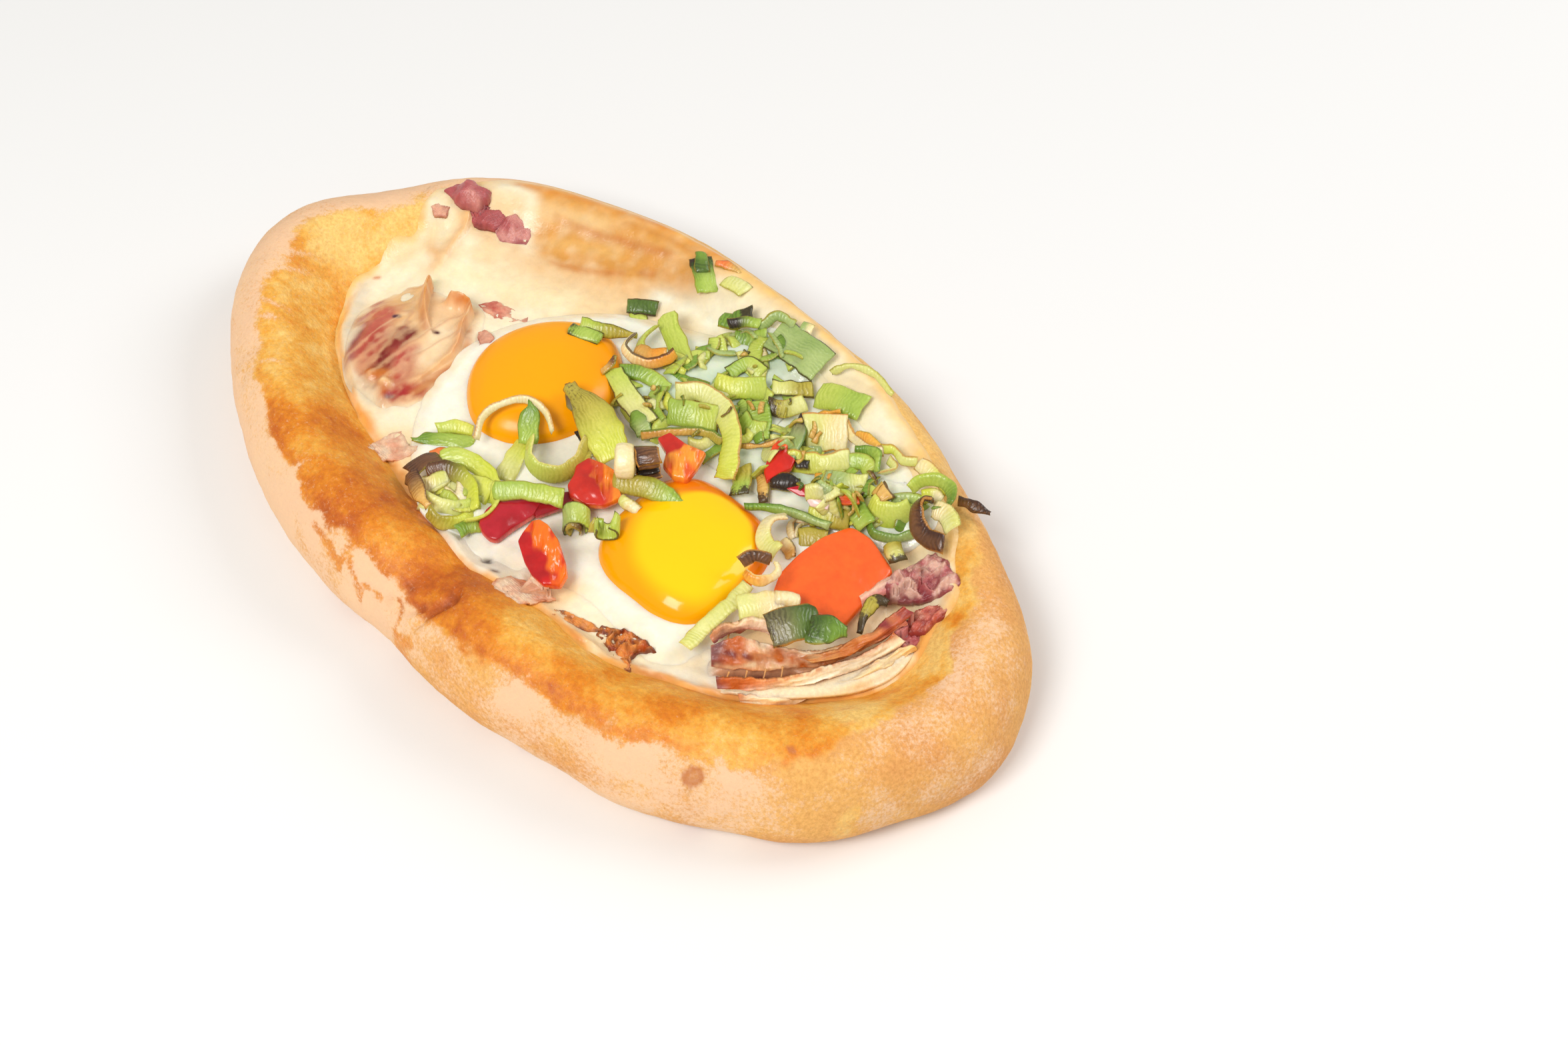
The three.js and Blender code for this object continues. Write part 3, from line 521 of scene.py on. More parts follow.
    def dough_top(self, x: Array, y: Array) -> Array:
        """Top of the dough: a quarter round up to the crest, then an eased slope into the well.

        Args:
            x, y: The points.

        Returns:
            A height for each point.
        """
        deg, inset = self.round_and_in(x, y)
        crest_inset, crest = self.crest(deg)
        left = np.clip(1 - inset / crest_inset, 0, 1)
        rise = self.bulge_height + (crest - self.bulge_height) * np.sqrt(1 - left * left)
        slope = mix(crest, self.well_floor, ease((inset - crest_inset) / self.well_slope))
        return np.where(inset < crest_inset, rise, slope)

    def well_rings(self, x: Array, y: Array, shares: Row, over: float) -> Array:
        """Rings over the dough by a height in mm, at shares of the way from an edge to the middle."""
        insides = [(x * (1 - share), y * (1 - share)) for share in shares]
        return np.stack([stacked(*inside, self.dough_top(*inside) + over) for inside in insides])

    def mounds(self, x: Array, y: Array) -> Array:
        """Sum of the cheese's mounds.

        Args:
            x, y: The points.

        Returns:
            A rise for each point.
        """
        total = np.zeros(np.shape(x))
        for m in self.cheese_mounds:
            along, off = turned(x - m.x, y - m.y, m.turn)
            total += m.rise * bell(np.hypot(along / m.reach[0], off / m.reach[1]))
        return total

    def cheese_top(self, x: Array, y: Array) -> Array:
        """Top of the cheese, a thin blanket where the dough is higher than its level.

        Args:
            x, y: The points.

        Returns:
            A height for each point.
        """
        deg, inset = self.round_and_in(x, y)
        dough, mounds = self.dough_top(x, y), self.mounds(x, y)
        level = self.filling_level + mounds
        blanket = dough + self.blanket + self.rim_mound_share * mounds * self.far_share(deg)
        body = (level + blanket + np.hypot(level - blanket, self.soft_edge)) / 2
        floor = dough + self.gap + self.filling_edge_thickness
        share = ease((inset - self.around(self.filling_edge, deg)) / self.filling_feather)
        return mix(floor, np.maximum(body, floor), share)

    def white_depth(self, x: Array, y: Array) -> Array:
        """Depth of the egg white over the cheese, feathered at its outline and negative past it."""
        inside = distance_inside(x, y, smooth_curve(self.white_outline, 60, closed=True))
        return np.where(inside > 0, self.white_thickness * ease(0.25 + inside / 7) + 0.1, inside * 0.2)

    def surface(self, x: Array, y: Array) -> Array:
        """Top of dough, cheese and egg white together.

        Args:
            x, y: The points.

        Returns:
            A height for each point.
        """
        deg, inset = self.round_and_in(x, y)
        filled = inset > self.around(self.filling_edge, deg)
        cheese = self.cheese_top(x, y)
        top = np.where(filled, np.maximum(cheese, cheese + self.white_depth(x, y)), 0.0)
        return np.maximum(self.dough_top(x, y), top)


LOAF = LoafShape()


class HeightMap:
    """The highest point placed so far over a grid of the plan, so that slices can lie on each other."""

    cell = 0.5
    half = (125.0, 75.0)

    def __init__(self, shape: LoafShape) -> None:
        """Starts from the bare filling.

        Args:
            shape: The loaf's heights.
        """
        xs = np.arange(-self.half[0], self.half[0], self.cell)
        ys = np.arange(-self.half[1], self.half[1], self.cell)
        x, y = np.meshgrid(xs, ys, indexing="ij")
        self.height = shape.surface(x, y)

    def _index(self, x: Array, y: Array) -> tuple[Array, Array]:
        """Grid cell of each point.

        Args:
            x, y: The points.

        Returns:
            The cells' rows and columns.
        """
        i = np.clip(np.round((np.asarray(x) + self.half[0]) / self.cell), 0, self.height.shape[0] - 1)
        j = np.clip(np.round((np.asarray(y) + self.half[1]) / self.cell), 0, self.height.shape[1] - 1)
        return i.astype(int), j.astype(int)

    def at(self, x: Array | float, y: Array | float) -> Array:
        """Height under each point."""
        return self.height[self._index(x, y)]

    def cover(self, vertices: Array) -> None:
        """Raises the map to the given points."""
        np.maximum.at(self.height, self._index(vertices[:, 0], vertices[:, 1]), vertices[:, 2])


# ---- meshes


@dataclass
class Shell:
    """A closed mesh in loaf millimetres, with values painted on its vertices."""

    vertices: Array
    faces: list[tuple[int, ...]]
    paint: dict[str, Array] = field(default_factory=dict)

    @classmethod
    def joined(cls, shells: list["Shell"]) -> "Shell":
        """Several shells as one, with the paint that the first has.

        Args:
            shells: The meshes, painted alike.

        Returns:
            One mesh.
        """
        faces, start = [], 0
        for shell in shells:
            faces += [tuple(i + start for i in f) for f in shell.faces]
            start += len(shell.vertices)
        paint = {key: np.concatenate([s.paint[key] for s in shells]) for key in shells[0].paint}
        return cls(np.vstack([s.vertices for s in shells]), faces, paint)

    @classmethod
    def skin(cls, first: Array, rings: Array, last: Array) -> "Shell":
        """A closed mesh through rings of points.

        Args:
            first: The point that closes the first ring.
            rings: Points as (ring, place round, 3).
            last: The point that closes the last ring.

        Returns:
            The mesh, whose vertices are first, the rings in order, and last.
        """
        rows, count = rings.shape[:2]
        here = 1 + np.arange(rows * count).reshape(rows, count)
        nxt = np.roll(here, -1, axis=1)
        quads = stacked(here[:-1], nxt[:-1], nxt[1:], here[1:]).reshape(-1, 4)
        end = 1 + rows * count
        faces = [(0, b, a) for a, b in zip(here[0].tolist(), nxt[0].tolist())]
        faces += [tuple(q) for q in quads.tolist()]
        faces += [(end, a, b) for a, b in zip(here[-1].tolist(), nxt[-1].tolist())]
        return cls(np.vstack([first, rings.reshape(-1, 3), last]), faces)

    @classmethod
    def sheet(cls, upper: Array, lower: Array) -> "Shell":
        """A closed sheet between two faces of points as (across, along, 3).

        Args:
            upper: Points of the upper face.
            lower: Those of the lower face.

        Returns:
            The mesh, its upper face first.
        """
        m, n = upper.shape[:2]
        top = np.arange(m * n).reshape(m, n)
        under = top + m * n
        quad = stacked(top[:-1, :-1], top[1:, :-1], top[1:, 1:], top[:-1, 1:]).reshape(-1, 4)
        back = stacked(under[:-1, :-1], under[:-1, 1:], under[1:, 1:], under[1:, :-1]).reshape(-1, 4)
        rim = np.concatenate([top[:-1, 0], top[-1, :-1], top[:0:-1, -1], top[0, :0:-1]])
        nxt = np.roll(rim, -1)
        side = stacked(rim, rim + m * n, nxt + m * n, nxt)
        faces = [tuple(f) for f in np.vstack([quad, back, side]).tolist()]
        return cls(np.vstack([upper.reshape(-1, 3), lower.reshape(-1, 3)]), faces)

    def volume(self) -> float:
        """Signed volume, negative if the faces point inwards.

        Returns:
            Cubic millimetres.
        """
        total = 0.0
        for size in (3, 4):
            chosen = [f for f in self.faces if len(f) == size]
            if not chosen:
                continue
            corners = self.vertices[np.array(chosen)]
            for k in range(1, size - 1):
                cross = np.cross(corners[:, k], corners[:, k + 1])
                total += float(np.einsum("ij,ij->", corners[:, 0], cross)) / 6
        return total

    def place(self, name: str, material: Material, slot: str, *nodes: str) -> bpy.types.Object:
        """Makes the mesh an object of the frame.

        Args:
            name: The piece's name.
            material: Its finish.
            slot: Not used.
            nodes: The frame's nodes that it stands for.

        Returns:
            The object.
        """
        shift = np.array([*LOAF.middle, 0.0])
        faces = self.faces if self.volume() > 0 else [f[::-1] for f in self.faces]
        mesh = bpy.data.meshes.new(name)
        mesh.from_pydata(((self.vertices - shift) * MM).tolist(), [], faces)
        for key, values in self.paint.items():
            kind, part = ("FLOAT", "value") if values.ndim == 1 else ("FLOAT_COLOR", "color")
            if values.ndim == 2:
                values = np.column_stack([values, np.ones(len(values))])
            layer = mesh.attributes.new(key, kind, "POINT")
            layer.data.foreach_set(part, values.astype(np.float32).ravel())
        mesh.shade_smooth()
        mesh.materials.append(material)
        piece = linked(name, mesh)
        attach(piece, BODY)
        if nodes:
            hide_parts(*nodes)
        LOG.info("%s: %d faces for %s", name, len(faces), ", ".join(nodes) or "no node")
        return piece


def grid_normals(grid: Array, wraps: bool) -> Array:
    """Unit normals of a grid of points as (row, place, 3), turned to face up or outwards.

    Args:
        grid: The points.
        wraps: Whether the last place in a row is beside the first.

    Returns:
        A normal for each point.
    """
    if wraps:
        around = np.roll(grid, -1, axis=1) - np.roll(grid, 1, axis=1)
    else:
        around = np.gradient(grid, axis=1)
    normal = np.cross(np.gradient(grid, axis=0), around)
    length = np.linalg.norm(normal, axis=-1, keepdims=True)
    return normal / np.maximum(length, 1e-9)


def node_top(node: str) -> float:
    """Height of a node's highest point, in millimetres."""
    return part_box(node)[1].z / MM


# ---- finishes


class Graph:
    """A material's shader nodes, added one at a time."""

    def __init__(self, name: str) -> None:
        """Starts an empty material.

        Args:
            name: The material's name.
        """
        self.material = bpy.data.materials.new(name)
        self.material.use_nodes = True
        self.tree = self.material.node_tree
        self.tree.nodes.clear()
        self.place = self.add("TexCoord").outputs["Object"]

    def add(self, kind: str, inputs: dict | None = None, **settings: object) -> bpy.types.Node:
        """Adds a node.

        Args:
            kind: Its type, without the ShaderNode before it.
            inputs: Values or sockets by input name or number.
            settings: The node's own properties.

        Returns:
            The node.
        """
        node = self.tree.nodes.new("ShaderNode" + kind)
        for key, value in settings.items():
            setattr(node, key, value)
        for key, value in (inputs or {}).items():
            if isinstance(value, Socket):
                self.tree.links.new(value, node.inputs[key])
            else:
                node.inputs[key].default_value = value
        return node

    def mask(self, name: str) -> Socket:
        """A painted value."""
        return self.add("Attribute", attribute_name=name).outputs["Fac"]

    def tint(self, name: str = "tint") -> Socket:
        """A painted colour."""
        return self.add("Attribute", attribute_name=name).outputs["Color"]

    def noise(self, size: float, detail: float = 3.0, rough: float = 0.55) -> Socket:
        """Noise with features of a size in mm, about 0.5."""
        inputs = {"Vector": self.place, "Scale": 1 / (size * MM), "Detail": detail, "Roughness": rough}
        return self.add("TexNoise", inputs).outputs["Fac"]

    def step(self, value: object, low: float, high: float, start: float = 0, end: float = 1) -> object:
        """A smooth step of a value between low and high."""
        inputs = {"Value": value, "From Min": low, "From Max": high, "To Min": start, "To Max": end}
        return self.add("MapRange", inputs, interpolation_type="SMOOTHSTEP").outputs["Result"]

    def sum(self, first: object, second: object, operation: str = "ADD") -> Socket:
        """Two values added, or combined as the operation says."""
        return self.add("Math", {0: first, 1: second}, operation=operation).outputs["Value"]

    def times(self, first: object, second: object) -> Socket:
        """Two values multiplied."""
        return self.sum(first, second, "MULTIPLY")

    def blend(self, share: object, first: object, second: object, way: str = "MIX") -> Socket:
        """Two colours mixed.

        Args:
            share: How much of the second.
            first, second: Colours or sockets.
            way: The mix's blend type.

        Returns:
            The mixed colour.
        """
        colours = [c if isinstance(c, Socket) else (*c, 1.0) for c in (first, second)]
        inputs = {0: share, 6: colours[0], 7: colours[1]}
        return self.add("Mix", inputs, data_type="RGBA", blend_type=way).outputs[2]

    def ramp(self, value: object, *stops: tuple[float, Colour]) -> Socket:
        """Colours along a value.

        Args:
            value: A socket from 0 to 1.
            stops: Places along it, each with its colour.

        Returns:
            The colour.
        """
        node = self.add("ValToRGB", {"Fac": value})
        elements = node.color_ramp.elements
        while len(elements) < len(stops):
            elements.new(0.5)
        for element, (position, colour) in zip(elements, stops):
            element.position = position
            element.color = (*colour, 1.0)
        return node.outputs["Color"]

    def bump(self, height: object, depth: float, below: object = None) -> Socket:
        """Relief of a depth in mm, over another normal if one is given.

        Args:
            height: The relief's socket.
            depth: Millimetres between 0 and 1.
            below: The other normal.

        Returns:
            The normal.
        """
        inputs = {"Height": height, "Distance": depth * MM}
        if below is not None:
            inputs["Normal"] = below
        return self.add("Bump", inputs).outputs["Normal"]

    def surface(
        self, colour: object, roughness: object, relief: Socket | None = None, clear: float = 0.0,
        radius: Colour = (1.0, 0.5, 0.25), reach: float = 2.0, gloss: float = 0.5
    ) -> Material:
        """Ends the material in one shader.

        Args:
            colour: Colour with its alpha, or a socket.
            roughness: A number or a socket.
            relief: The normal, if it has relief.
            clear: Share of the light that goes into it.
            radius: How far each colour of that light goes, as shares of reach.
            reach: How far it goes in mm.
            gloss: Strength of its shine.

        Returns:
            The material.
        """
        inputs = {
            "Base Color": colour, "Roughness": roughness, "Specular IOR Level": gloss,
            "Subsurface Weight": clear, "Subsurface Radius": radius, "Subsurface Scale": reach * MM,
        }
        if relief is not None:
            inputs["Normal"] = relief
        shader = self.add("BsdfPrincipled", inputs)
        self.add("OutputMaterial", {"Surface": shader.outputs["BSDF"]})
        return self.material


@dataclass(frozen=True)
class CrustFinish:
    """Baked dough: pale and floury outside, golden where it was brushed with egg."""

    pale: Colour = linear(236, 178, 100)
    peach: Colour = linear(226, 160, 92)
    light: Colour = linear(248, 206, 120)
    amber: Colour = linear(240, 176, 72)
    gold: Colour = linear(228, 138, 32)
    rust: Colour = linear(198, 100, 26)
    brown: Colour = linear(160, 76, 28)
    flake: Colour = linear(192, 112, 60)
    flour: Colour = linear(244, 206, 170)

    def build(self) -> Material:
        """Makes the material.

        Returns:
            The material.
        """
        g = Graph("baked_crust")
        fine = g.noise(0.8, 4, 0.65)
        dough = g.ramp(g.noise(16, 4, 0.5), (0.35, self.peach), (0.62, self.pale))
        heat = g.sum(g.times(g.noise(6, 5, 0.6), 0.5), g.times(g.mask("deep"), 0.5))
        heat = g.sum(heat, g.times(g.sum(fine, 0.5, "SUBTRACT"), 0.22))
        heat = g.sum(heat, g.times(g.sum(g.noise(2.0, 4, 0.7), 0.5, "SUBTRACT"), 0.5))
        baked = (self.light, self.amber, self.gold, self.rust, self.brown)
        egg = g.ramp(g.sum(heat, 0.12), *zip((0.16, 0.34, 0.54, 0.76, 0.98), baked))
        colour = g.blend(g.mask("wash"), dough, egg)
        mottle = g.ramp(fine, (0.34, (0.8, 0.72, 0.62)), (0.62, (1.05, 1.05, 1.06)))
        colour = g.blend(0.8, colour, mottle, "MULTIPLY")
        dust = g.step(g.sum(g.noise(0.9, 4, 0.8), g.mask("flour")), 0.58, 0.9)
        colour = g.blend(g.times(dust, 0.75), colour, self.flour)
        colour = g.blend(g.times(g.mask("scab"), 0.85), colour, self.flake)
        shine = g.step(g.mask("wash"), 0.1, 0.9, 0.75, 0.42)
        relief = g.bump(g.noise(2.6, 4, 0.6), 0.34)
        relief = g.bump(fine, 0.16, relief)
        return g.surface(colour, shine, relief, clear=0.08, gloss=0.3)


@dataclass(frozen=True)
class YolkFinish:
    """Egg yolk: a bright middle and a deep orange film at its edges, with painted shade in warmer orange on
    one side of the far yolk.
    """

    name: str
    bright: Colour
    warm: Colour
    deep: Colour
    roughness: float

    def build(self) -> Material:
        """Makes the material.

        Returns:
            The material.
        """
        g = Graph(self.name)
        colour = g.ramp(g.mask("film"), (0.0, self.bright), (0.5, self.warm), (1.0, self.deep))
        relief = g.bump(g.noise(7, 2, 0.5), 0.2)
        thin = (1.0, 0.5, 0.1)
        return g.surface(colour, self.roughness, relief, clear=0.1, radius=thin, reach=3.0, gloss=0.3)


@dataclass(frozen=True)
class PaintedFinish:
    """A food whose colour is painted on its vertices, with a fine grain."""

    name: str
    roughness: float
    grain: float = 0.8
    depth: float = 0.1
    clear: float = 0.15
    shade: float = 0.82

    def build(self) -> Material:
        """Makes the material.

        Returns:
            The material.
        """
        g = Graph(self.name)
        fine = g.noise(self.grain, 4, 0.62)
        low = (self.shade,) * 3
        colour = g.blend(1.0, g.tint(), g.ramp(fine, (0.3, low), (0.7, (1.08, 1.08, 1.08))), "MULTIPLY")
        relief = g.bump(fine, self.depth)
        return g.surface(colour, self.roughness, relief, self.clear, (1.0, 0.8, 0.4))


@dataclass(frozen=True)
class LeekFinish:
    """Leek: faint bands across each slice, browned cut edges and charred ends."""

    pitch: float = 0.95
    roughness: float = 0.26
    char: Colour = linear(58, 38, 30)

    def build(self) -> Material:
        """Makes the material.

        Returns:
            The material.
        """
        g = Graph("leek_slice")
        place = g.times(g.mask("across"), math.tau / self.pitch)
        wander = g.times(g.noise(4, 3, 0.6), 22.0)
        wave = g.sum(g.sum(place, wander), 0.0, "SINE")
        fine = g.noise(0.6, 4, 0.62)
        patchy = g.step(g.noise(4.5, 2, 0.5), 0.35, 0.75)
        lines = g.step(g.sum(wave, g.times(fine, 1.2)), -0.6, 1.6)
        colour = g.blend(g.times(g.times(lines, patchy), 0.7), g.tint(), g.tint("bands"))
        mottle = g.ramp(fine, (0.3, (0.9, 0.92, 0.84)), (0.7, (1.06, 1.05, 1.03)))
        colour = g.blend(1.0, colour, mottle, "MULTIPLY")
        worn = g.sum(fine, 0.5, "SUBTRACT")
        browned = g.step(g.sum(g.mask("rim"), worn), 0.25, 0.9)
        colour = g.blend(g.times(browned, 0.85), colour, g.tint("edge"))
        charred = g.step(g.sum(g.mask("char"), g.times(worn, 1.4)), 0.25, 0.7)
        colour = g.blend(g.times(charred, 0.92), colour, self.char)
        relief = g.bump(fine, 0.06, g.bump(wave, 0.025))
        return g.surface(colour, self.roughness, relief, clear=0.35, radius=(0.9, 1.0, 0.3))


@dataclass(frozen=True)
class FloorFinish:
    """A plain pale table."""

    colour: Colour = (0.86, 0.855, 0.845)
    roughness: float = 0.7

    def build(self) -> Material:
        """Makes the material."""
        return Graph("plain_floor").surface((*self.colour, 1.0), self.roughness)


# ---- bread


@dataclass
class Bread:
    """The loaf, one uncut piece of dough with a rolled rim.

    Spots are rows of x, y, reach in mm and amount. Scabs are x, y, length, width and turn, and stretch marks
    x, y, turn and length. wash_border and heat run evenly round the loaf from +X.
    """

    sides: int = 960
    wall_rings: int = 20
    crest_rings: int = 26
    slope_rings: int = 34
    under_filling: float = 3.0
    bottom_inset: float = 38.0
    well_shares: Row = (0.12, 0.3, 0.6)
    relief_seeds: tuple[int, ...] = (3, 4, 5)
    paint_seeds: tuple[int, ...] = (11, 12, 13)
    wash_border: Row = (
        18.3, 18, 12, 5, 2.5, 1.5, 1.2, 1.2, 2, 6, 12, 14.7, 14.4, 15, 11.8, 8, 6, 6, 5.2, 5.3, 6, 5.2, 8.4,
        14,
    )
    flour_spots: Rows = (
        (102, 10, 9), (98, 22, 7), (16, -53, 6), (-6, -61, 7), (62, -55, 9), (88, -45, 10), (40, -60, 10),
        (-40, -60, 8), (-26, -58, 5), (-8, -62, 5), (4, -60, 4), (72, -50, 7), (108, -8, 8),
    )
    browned_spots: Rows = (
        (9, -50, 5, 0.5), (-46, -41, 8, 0.3), (-20, -54, 6, 0.3), (2, -55, 4, 0.5), (47, -50, 7, 0.3),
        (66, -40, 6, 0.3), (84, -22, 6, 0.4), (91, -4, 5, 0.5), (-84, -16, 7, 0.2), (-66, -34, 6, 0.2),
        (92, 20, 3, 0.6), (28, -46, 7, -0.6), (42, -41, 6, -0.3), (-100, 22, 9, -0.4), (-103, 3, 5, -0.25),
        (-92, 33, 8, -0.2),
    )
    heat: Row = (
        -0.3, -0.4, -0.4, -0.4, -0.4, -0.4, -0.4, -0.4, -0.35, -0.3, -0.3, -0.35, -0.4, -0.35, -0.25, -0.05,
        0.25, 0.4, 0.45, 0.35, 0.2, 0.05, -0.1, -0.25,
    )
    scabs: Rows = (
        (79.9, -47, 2.5, 1.5, 38), (92.1, -30.8, 1.1, 0.8, 10),
    )
    stretch_marks: Rows = (
        (-96, -12, 60, 7), (-93, -17, 66, 6), (-87, -28, 30, 7), (-84, -31, 40, 5), (-73, -40, 35, 6),
        (-41, -56, 62, 4), (92, -14, 50, 3), (96, -18, 60, 3), (60, -52, 78, 3),
    )
    drips: tuple[Path, ...] = (
        ((-27.5, -61.2), (-21, -62.4), (-16, -63.8), (-15.6, -61.2), (-9, -64.6), (-8, -63), (-3, -62.6)),
        ((1, -61), (3.3, -63.2), (3.4, -65), (9.3, -65)),
        ((104, -36), (106, -32), (107.5, -27)),
    )
    creases: tuple[Path, ...] = (
        ((8.0, -49.5), (13.2, -54.4), (10.5, -59.1), (9.2, -61.1), (9.7, -63.4)),
        ((10.5, -58.0), (5.8, -60.4), (1.6, -61.8), (-2.3, -62.4)),
    )
    crease_width: float = 1.3
    crease_depth: float = 1.8

    def creased(self, grid: Array) -> Array:
        """How near each point is to a crease of the dough, up to 1.

        Args:
            grid: The loaf's points.

        Returns:
            A share for each point.
        """
        near = np.zeros(grid.shape[:-1])
        for path in self.creases:
            off, share = offset_from_path(grid[..., 0], grid[..., 1], smooth_curve(path, 12))
            near = np.maximum(near, bell(off / self.crease_width) * ease(share * 5) * ease((1 - share) * 5))
        return near

    def profile(self, deg: Array) -> tuple[Array, Array]:
        """Insets and heights of every ring, as (ring, angle).

        Args:
            deg: The angles.

        Returns:
            The insets and the heights.
        """
        crest_inset, crest = LOAF.crest(deg)
        wall = np.radians(np.linspace(0, 90, self.wall_rings))[:, None]
        wall_inset = LOAF.base_inset * (1 - np.sin(wall)) + 0 * deg
        wall_z = LOAF.bulge_height * (1 - np.cos(wall)) + 0 * deg
        up = np.radians(np.linspace(0, 90, self.crest_rings + 1)[1:])[:, None]
        rim_inset = crest_inset * (1 - np.cos(up))
        rim_z = LOAF.bulge_height + (crest - LOAF.bulge_height) * np.sin(up)
        end = np.maximum(LOAF.around(LOAF.filling_edge, deg), crest_inset) + self.under_filling
        share = np.linspace(0, 1, self.slope_rings + 1)[1:, None]
        slope_inset = mix(crest_inset, end, share)
        slope_z = LOAF.dough_top(*LOAF.plan(deg, slope_inset))
        return np.vstack([wall_inset, rim_inset, slope_inset]), np.vstack([wall_z, rim_z, slope_z])

    def relief(self, grid: Array, deg: Array, inset: Array) -> Array:
        """How far the crust stands out from its smooth form.

        Args:
            grid: The loaf's points.
            deg: Their angles.
            inset: Their insets.

        Returns:
            Millimetres for each point.
        """
        coarse, middle, fine = (Grain(seed) for seed in self.relief_seeds)
        height = 0.5 * coarse.at(grid, 24, 2) + 0.22 * middle.at(grid, 9, 2) + 0.1 * fine.at(grid, 3, 3)
        gully = self.crease_depth * self.creased(grid)
        shown = 1 - ease((inset - LOAF.around(LOAF.filling_edge, deg)) / 1.5)
        proud = 0.4 * bell(inset / 3)
        return (height - gully - proud) * (0.15 + 0.85 * shown) * ease(grid[..., 2] / 3)

    def paint(self, grid: Array, deg: Array, inset: Array) -> dict[str, Array]:
        """Where the crust is egg-washed, browned and floury.

        Args:
            grid: The loaf's points.
            deg: Their angles.
            inset: Their insets.

        Returns:
            The masks by name.
        """
        x, y = grid[..., 0], grid[..., 1]
        coarse, middle, fine = (Grain(seed) for seed in self.paint_seeds)
        ragged = 1.7 * coarse.at(grid, 8, 3) + 0.7 * middle.at(grid, 1.8, 2)
        softness = mix(1.6, 4.0, ease((55 - turn_between(deg, 175)) / 30))
        wash = ease((inset - LOAF.around(self.wash_border, deg) + ragged) / softness + 0.5)
        wash *= ease(1.6 - LOAF.far_share(deg))
        for sx, sy, turn, length in self.stretch_marks:
            along, off = turned(x - sx, y - sy, turn)
            wash *= 1 - 0.7 * bell(along / length * 1.6) * bell((off + 0.5 * fine.at(grid, 2, 2)) / 0.7)
        for path in self.drips:
            off = np.abs(offset_from_path(x, y, smooth_curve(path, 24))[0])
            wash = np.maximum(wash, 0.75 * (1 - ease((off - 0.35 + 0.3 * fine.at(grid, 2, 2)) / 0.6)))
        outline = bell((inset - LOAF.around(self.wash_border, deg) - 1.4 + ragged) / 1.2)
        near = 1 - LOAF.far_share(deg)
        deep = LOAF.around(self.heat, deg) + 0.34 * outline * near / softness + 0.3 * coarse.at(grid, 14, 3)
        # The creases are painted darker as well.
        deep += 0.6 * self.creased(grid)
        for sx, sy, reach, amount in self.browned_spots:
            deep += amount * bell(np.hypot(x - sx, y - sy) / reach)
        scab = np.zeros(x.shape)
        for sx, sy, length, width, turn in self.scabs:
            along, off = turned(x - sx, y - sy, turn)
            reach = np.hypot(along / length, off / width) + 0.12 * fine.at(grid, 1.4, 2)
            scab = np.maximum(scab, (1 - 0.4 * bell(reach / 0.5)) * (1 - ease((reach - 0.85) / 0.2)))
        # The left end, round 185 degrees, gets more of the flour colour and is painted paler there.
        flour = 0.06 + 0.36 * ease((120 - turn_between(deg, 185)) / 70) + 0.2 * coarse.at(grid + 50, 9, 3)
        for sx, sy, reach in self.flour_spots:
            flour += 0.26 * bell(np.hypot(x - sx, y - sy) / reach)
        flour = np.clip(flour, 0, 0.6) * (1 - 0.9 * wash)
        return {"wash": wash, "deep": np.clip(deep, -0.5, 1), "flour": flour, "scab": scab}

    def build(self) -> Shell:
        """Makes the loaf's mesh, closed under the filling.

        Returns:
            The mesh.
        """
        deg = angles(self.sides)
        inset, z = self.profile(deg)
        x, y = LOAF.plan(deg, inset)
        grid = stacked(x, y, z)
        paint = self.paint(grid, deg, inset)
        grid = grid + grid_normals(grid, True) * self.relief(grid, deg, inset)[..., None] * self.facing(grid)
        grid[0, :, 2] = 0.0
        bottom = stacked(*LOAF.plan(deg, self.bottom_inset), 0 * deg)[None]
        well = LOAF.well_rings(grid[-1, :, 0], grid[-1, :, 1], self.well_shares, -LOAF.gap)
        rings = np.concatenate([bottom, grid, well])
        shell = Shell.skin(np.zeros(3), rings, np.array([0, 0, LOAF.well_floor]))
        for key, values in paint.items():
            parts = [[0], np.zeros(self.sides), values.ravel(), np.zeros(3 * self.sides), [0]]
            shell.paint[key] = np.concatenate(parts)
        return shell

    @staticmethod
    def facing(grid: Array) -> float:
        """1 if the grid's normals point outwards, else -1."""
        normal = grid_normals(grid, True)
        return 1.0 if float(np.mean(np.sum(normal[:20] * grid[:20], axis=-1))) > 0 else -1.0

    def dress(self) -> None:
        """Places the loaf."""
        self.build().place("loaf", CrustFinish().build(), "crust", "bread")


# ---- painting


@dataclass(frozen=True)
class Stroke(Written):
    """A soft line of colour and relief along a path of (x, y), of a half width and a rise in mm.

    A lip rises on the left of its path only and drops at it, as the edge of a fold does, and swells along it.
    """

    path: Path
    width: float
    tint: Tint
    amount: float = 0.8
    rise: float = 0.0
    lip: bool = False

    def weight(self, x: Array, y: Array) -> Array:
        """How strong the stroke is over each point.

        Args:
            x, y: The points.

        Returns:
            A share for each point.
        """
        curve = smooth_curve(self.path, 14)
        low, high = curve.min(axis=0) - 3 * self.width, curve.max(axis=0) + 3 * self.width
        near = (x > low[0]) & (x < high[0]) & (y > low[1]) & (y < high[1])
        weight = np.zeros(np.shape(x))
        off, share = offset_from_path(x[near], y[near], curve)
        cut = ease(off / 0.6 + 0.7) * ease(0.15 + share) if self.lip else 1.0
        weight[near] = bell(off / self.width) * cut
        return weight

    def height(self, x: Array, y: Array) -> Array:
        """Relief over each point."""
        return self.rise * self.weight(x, y)


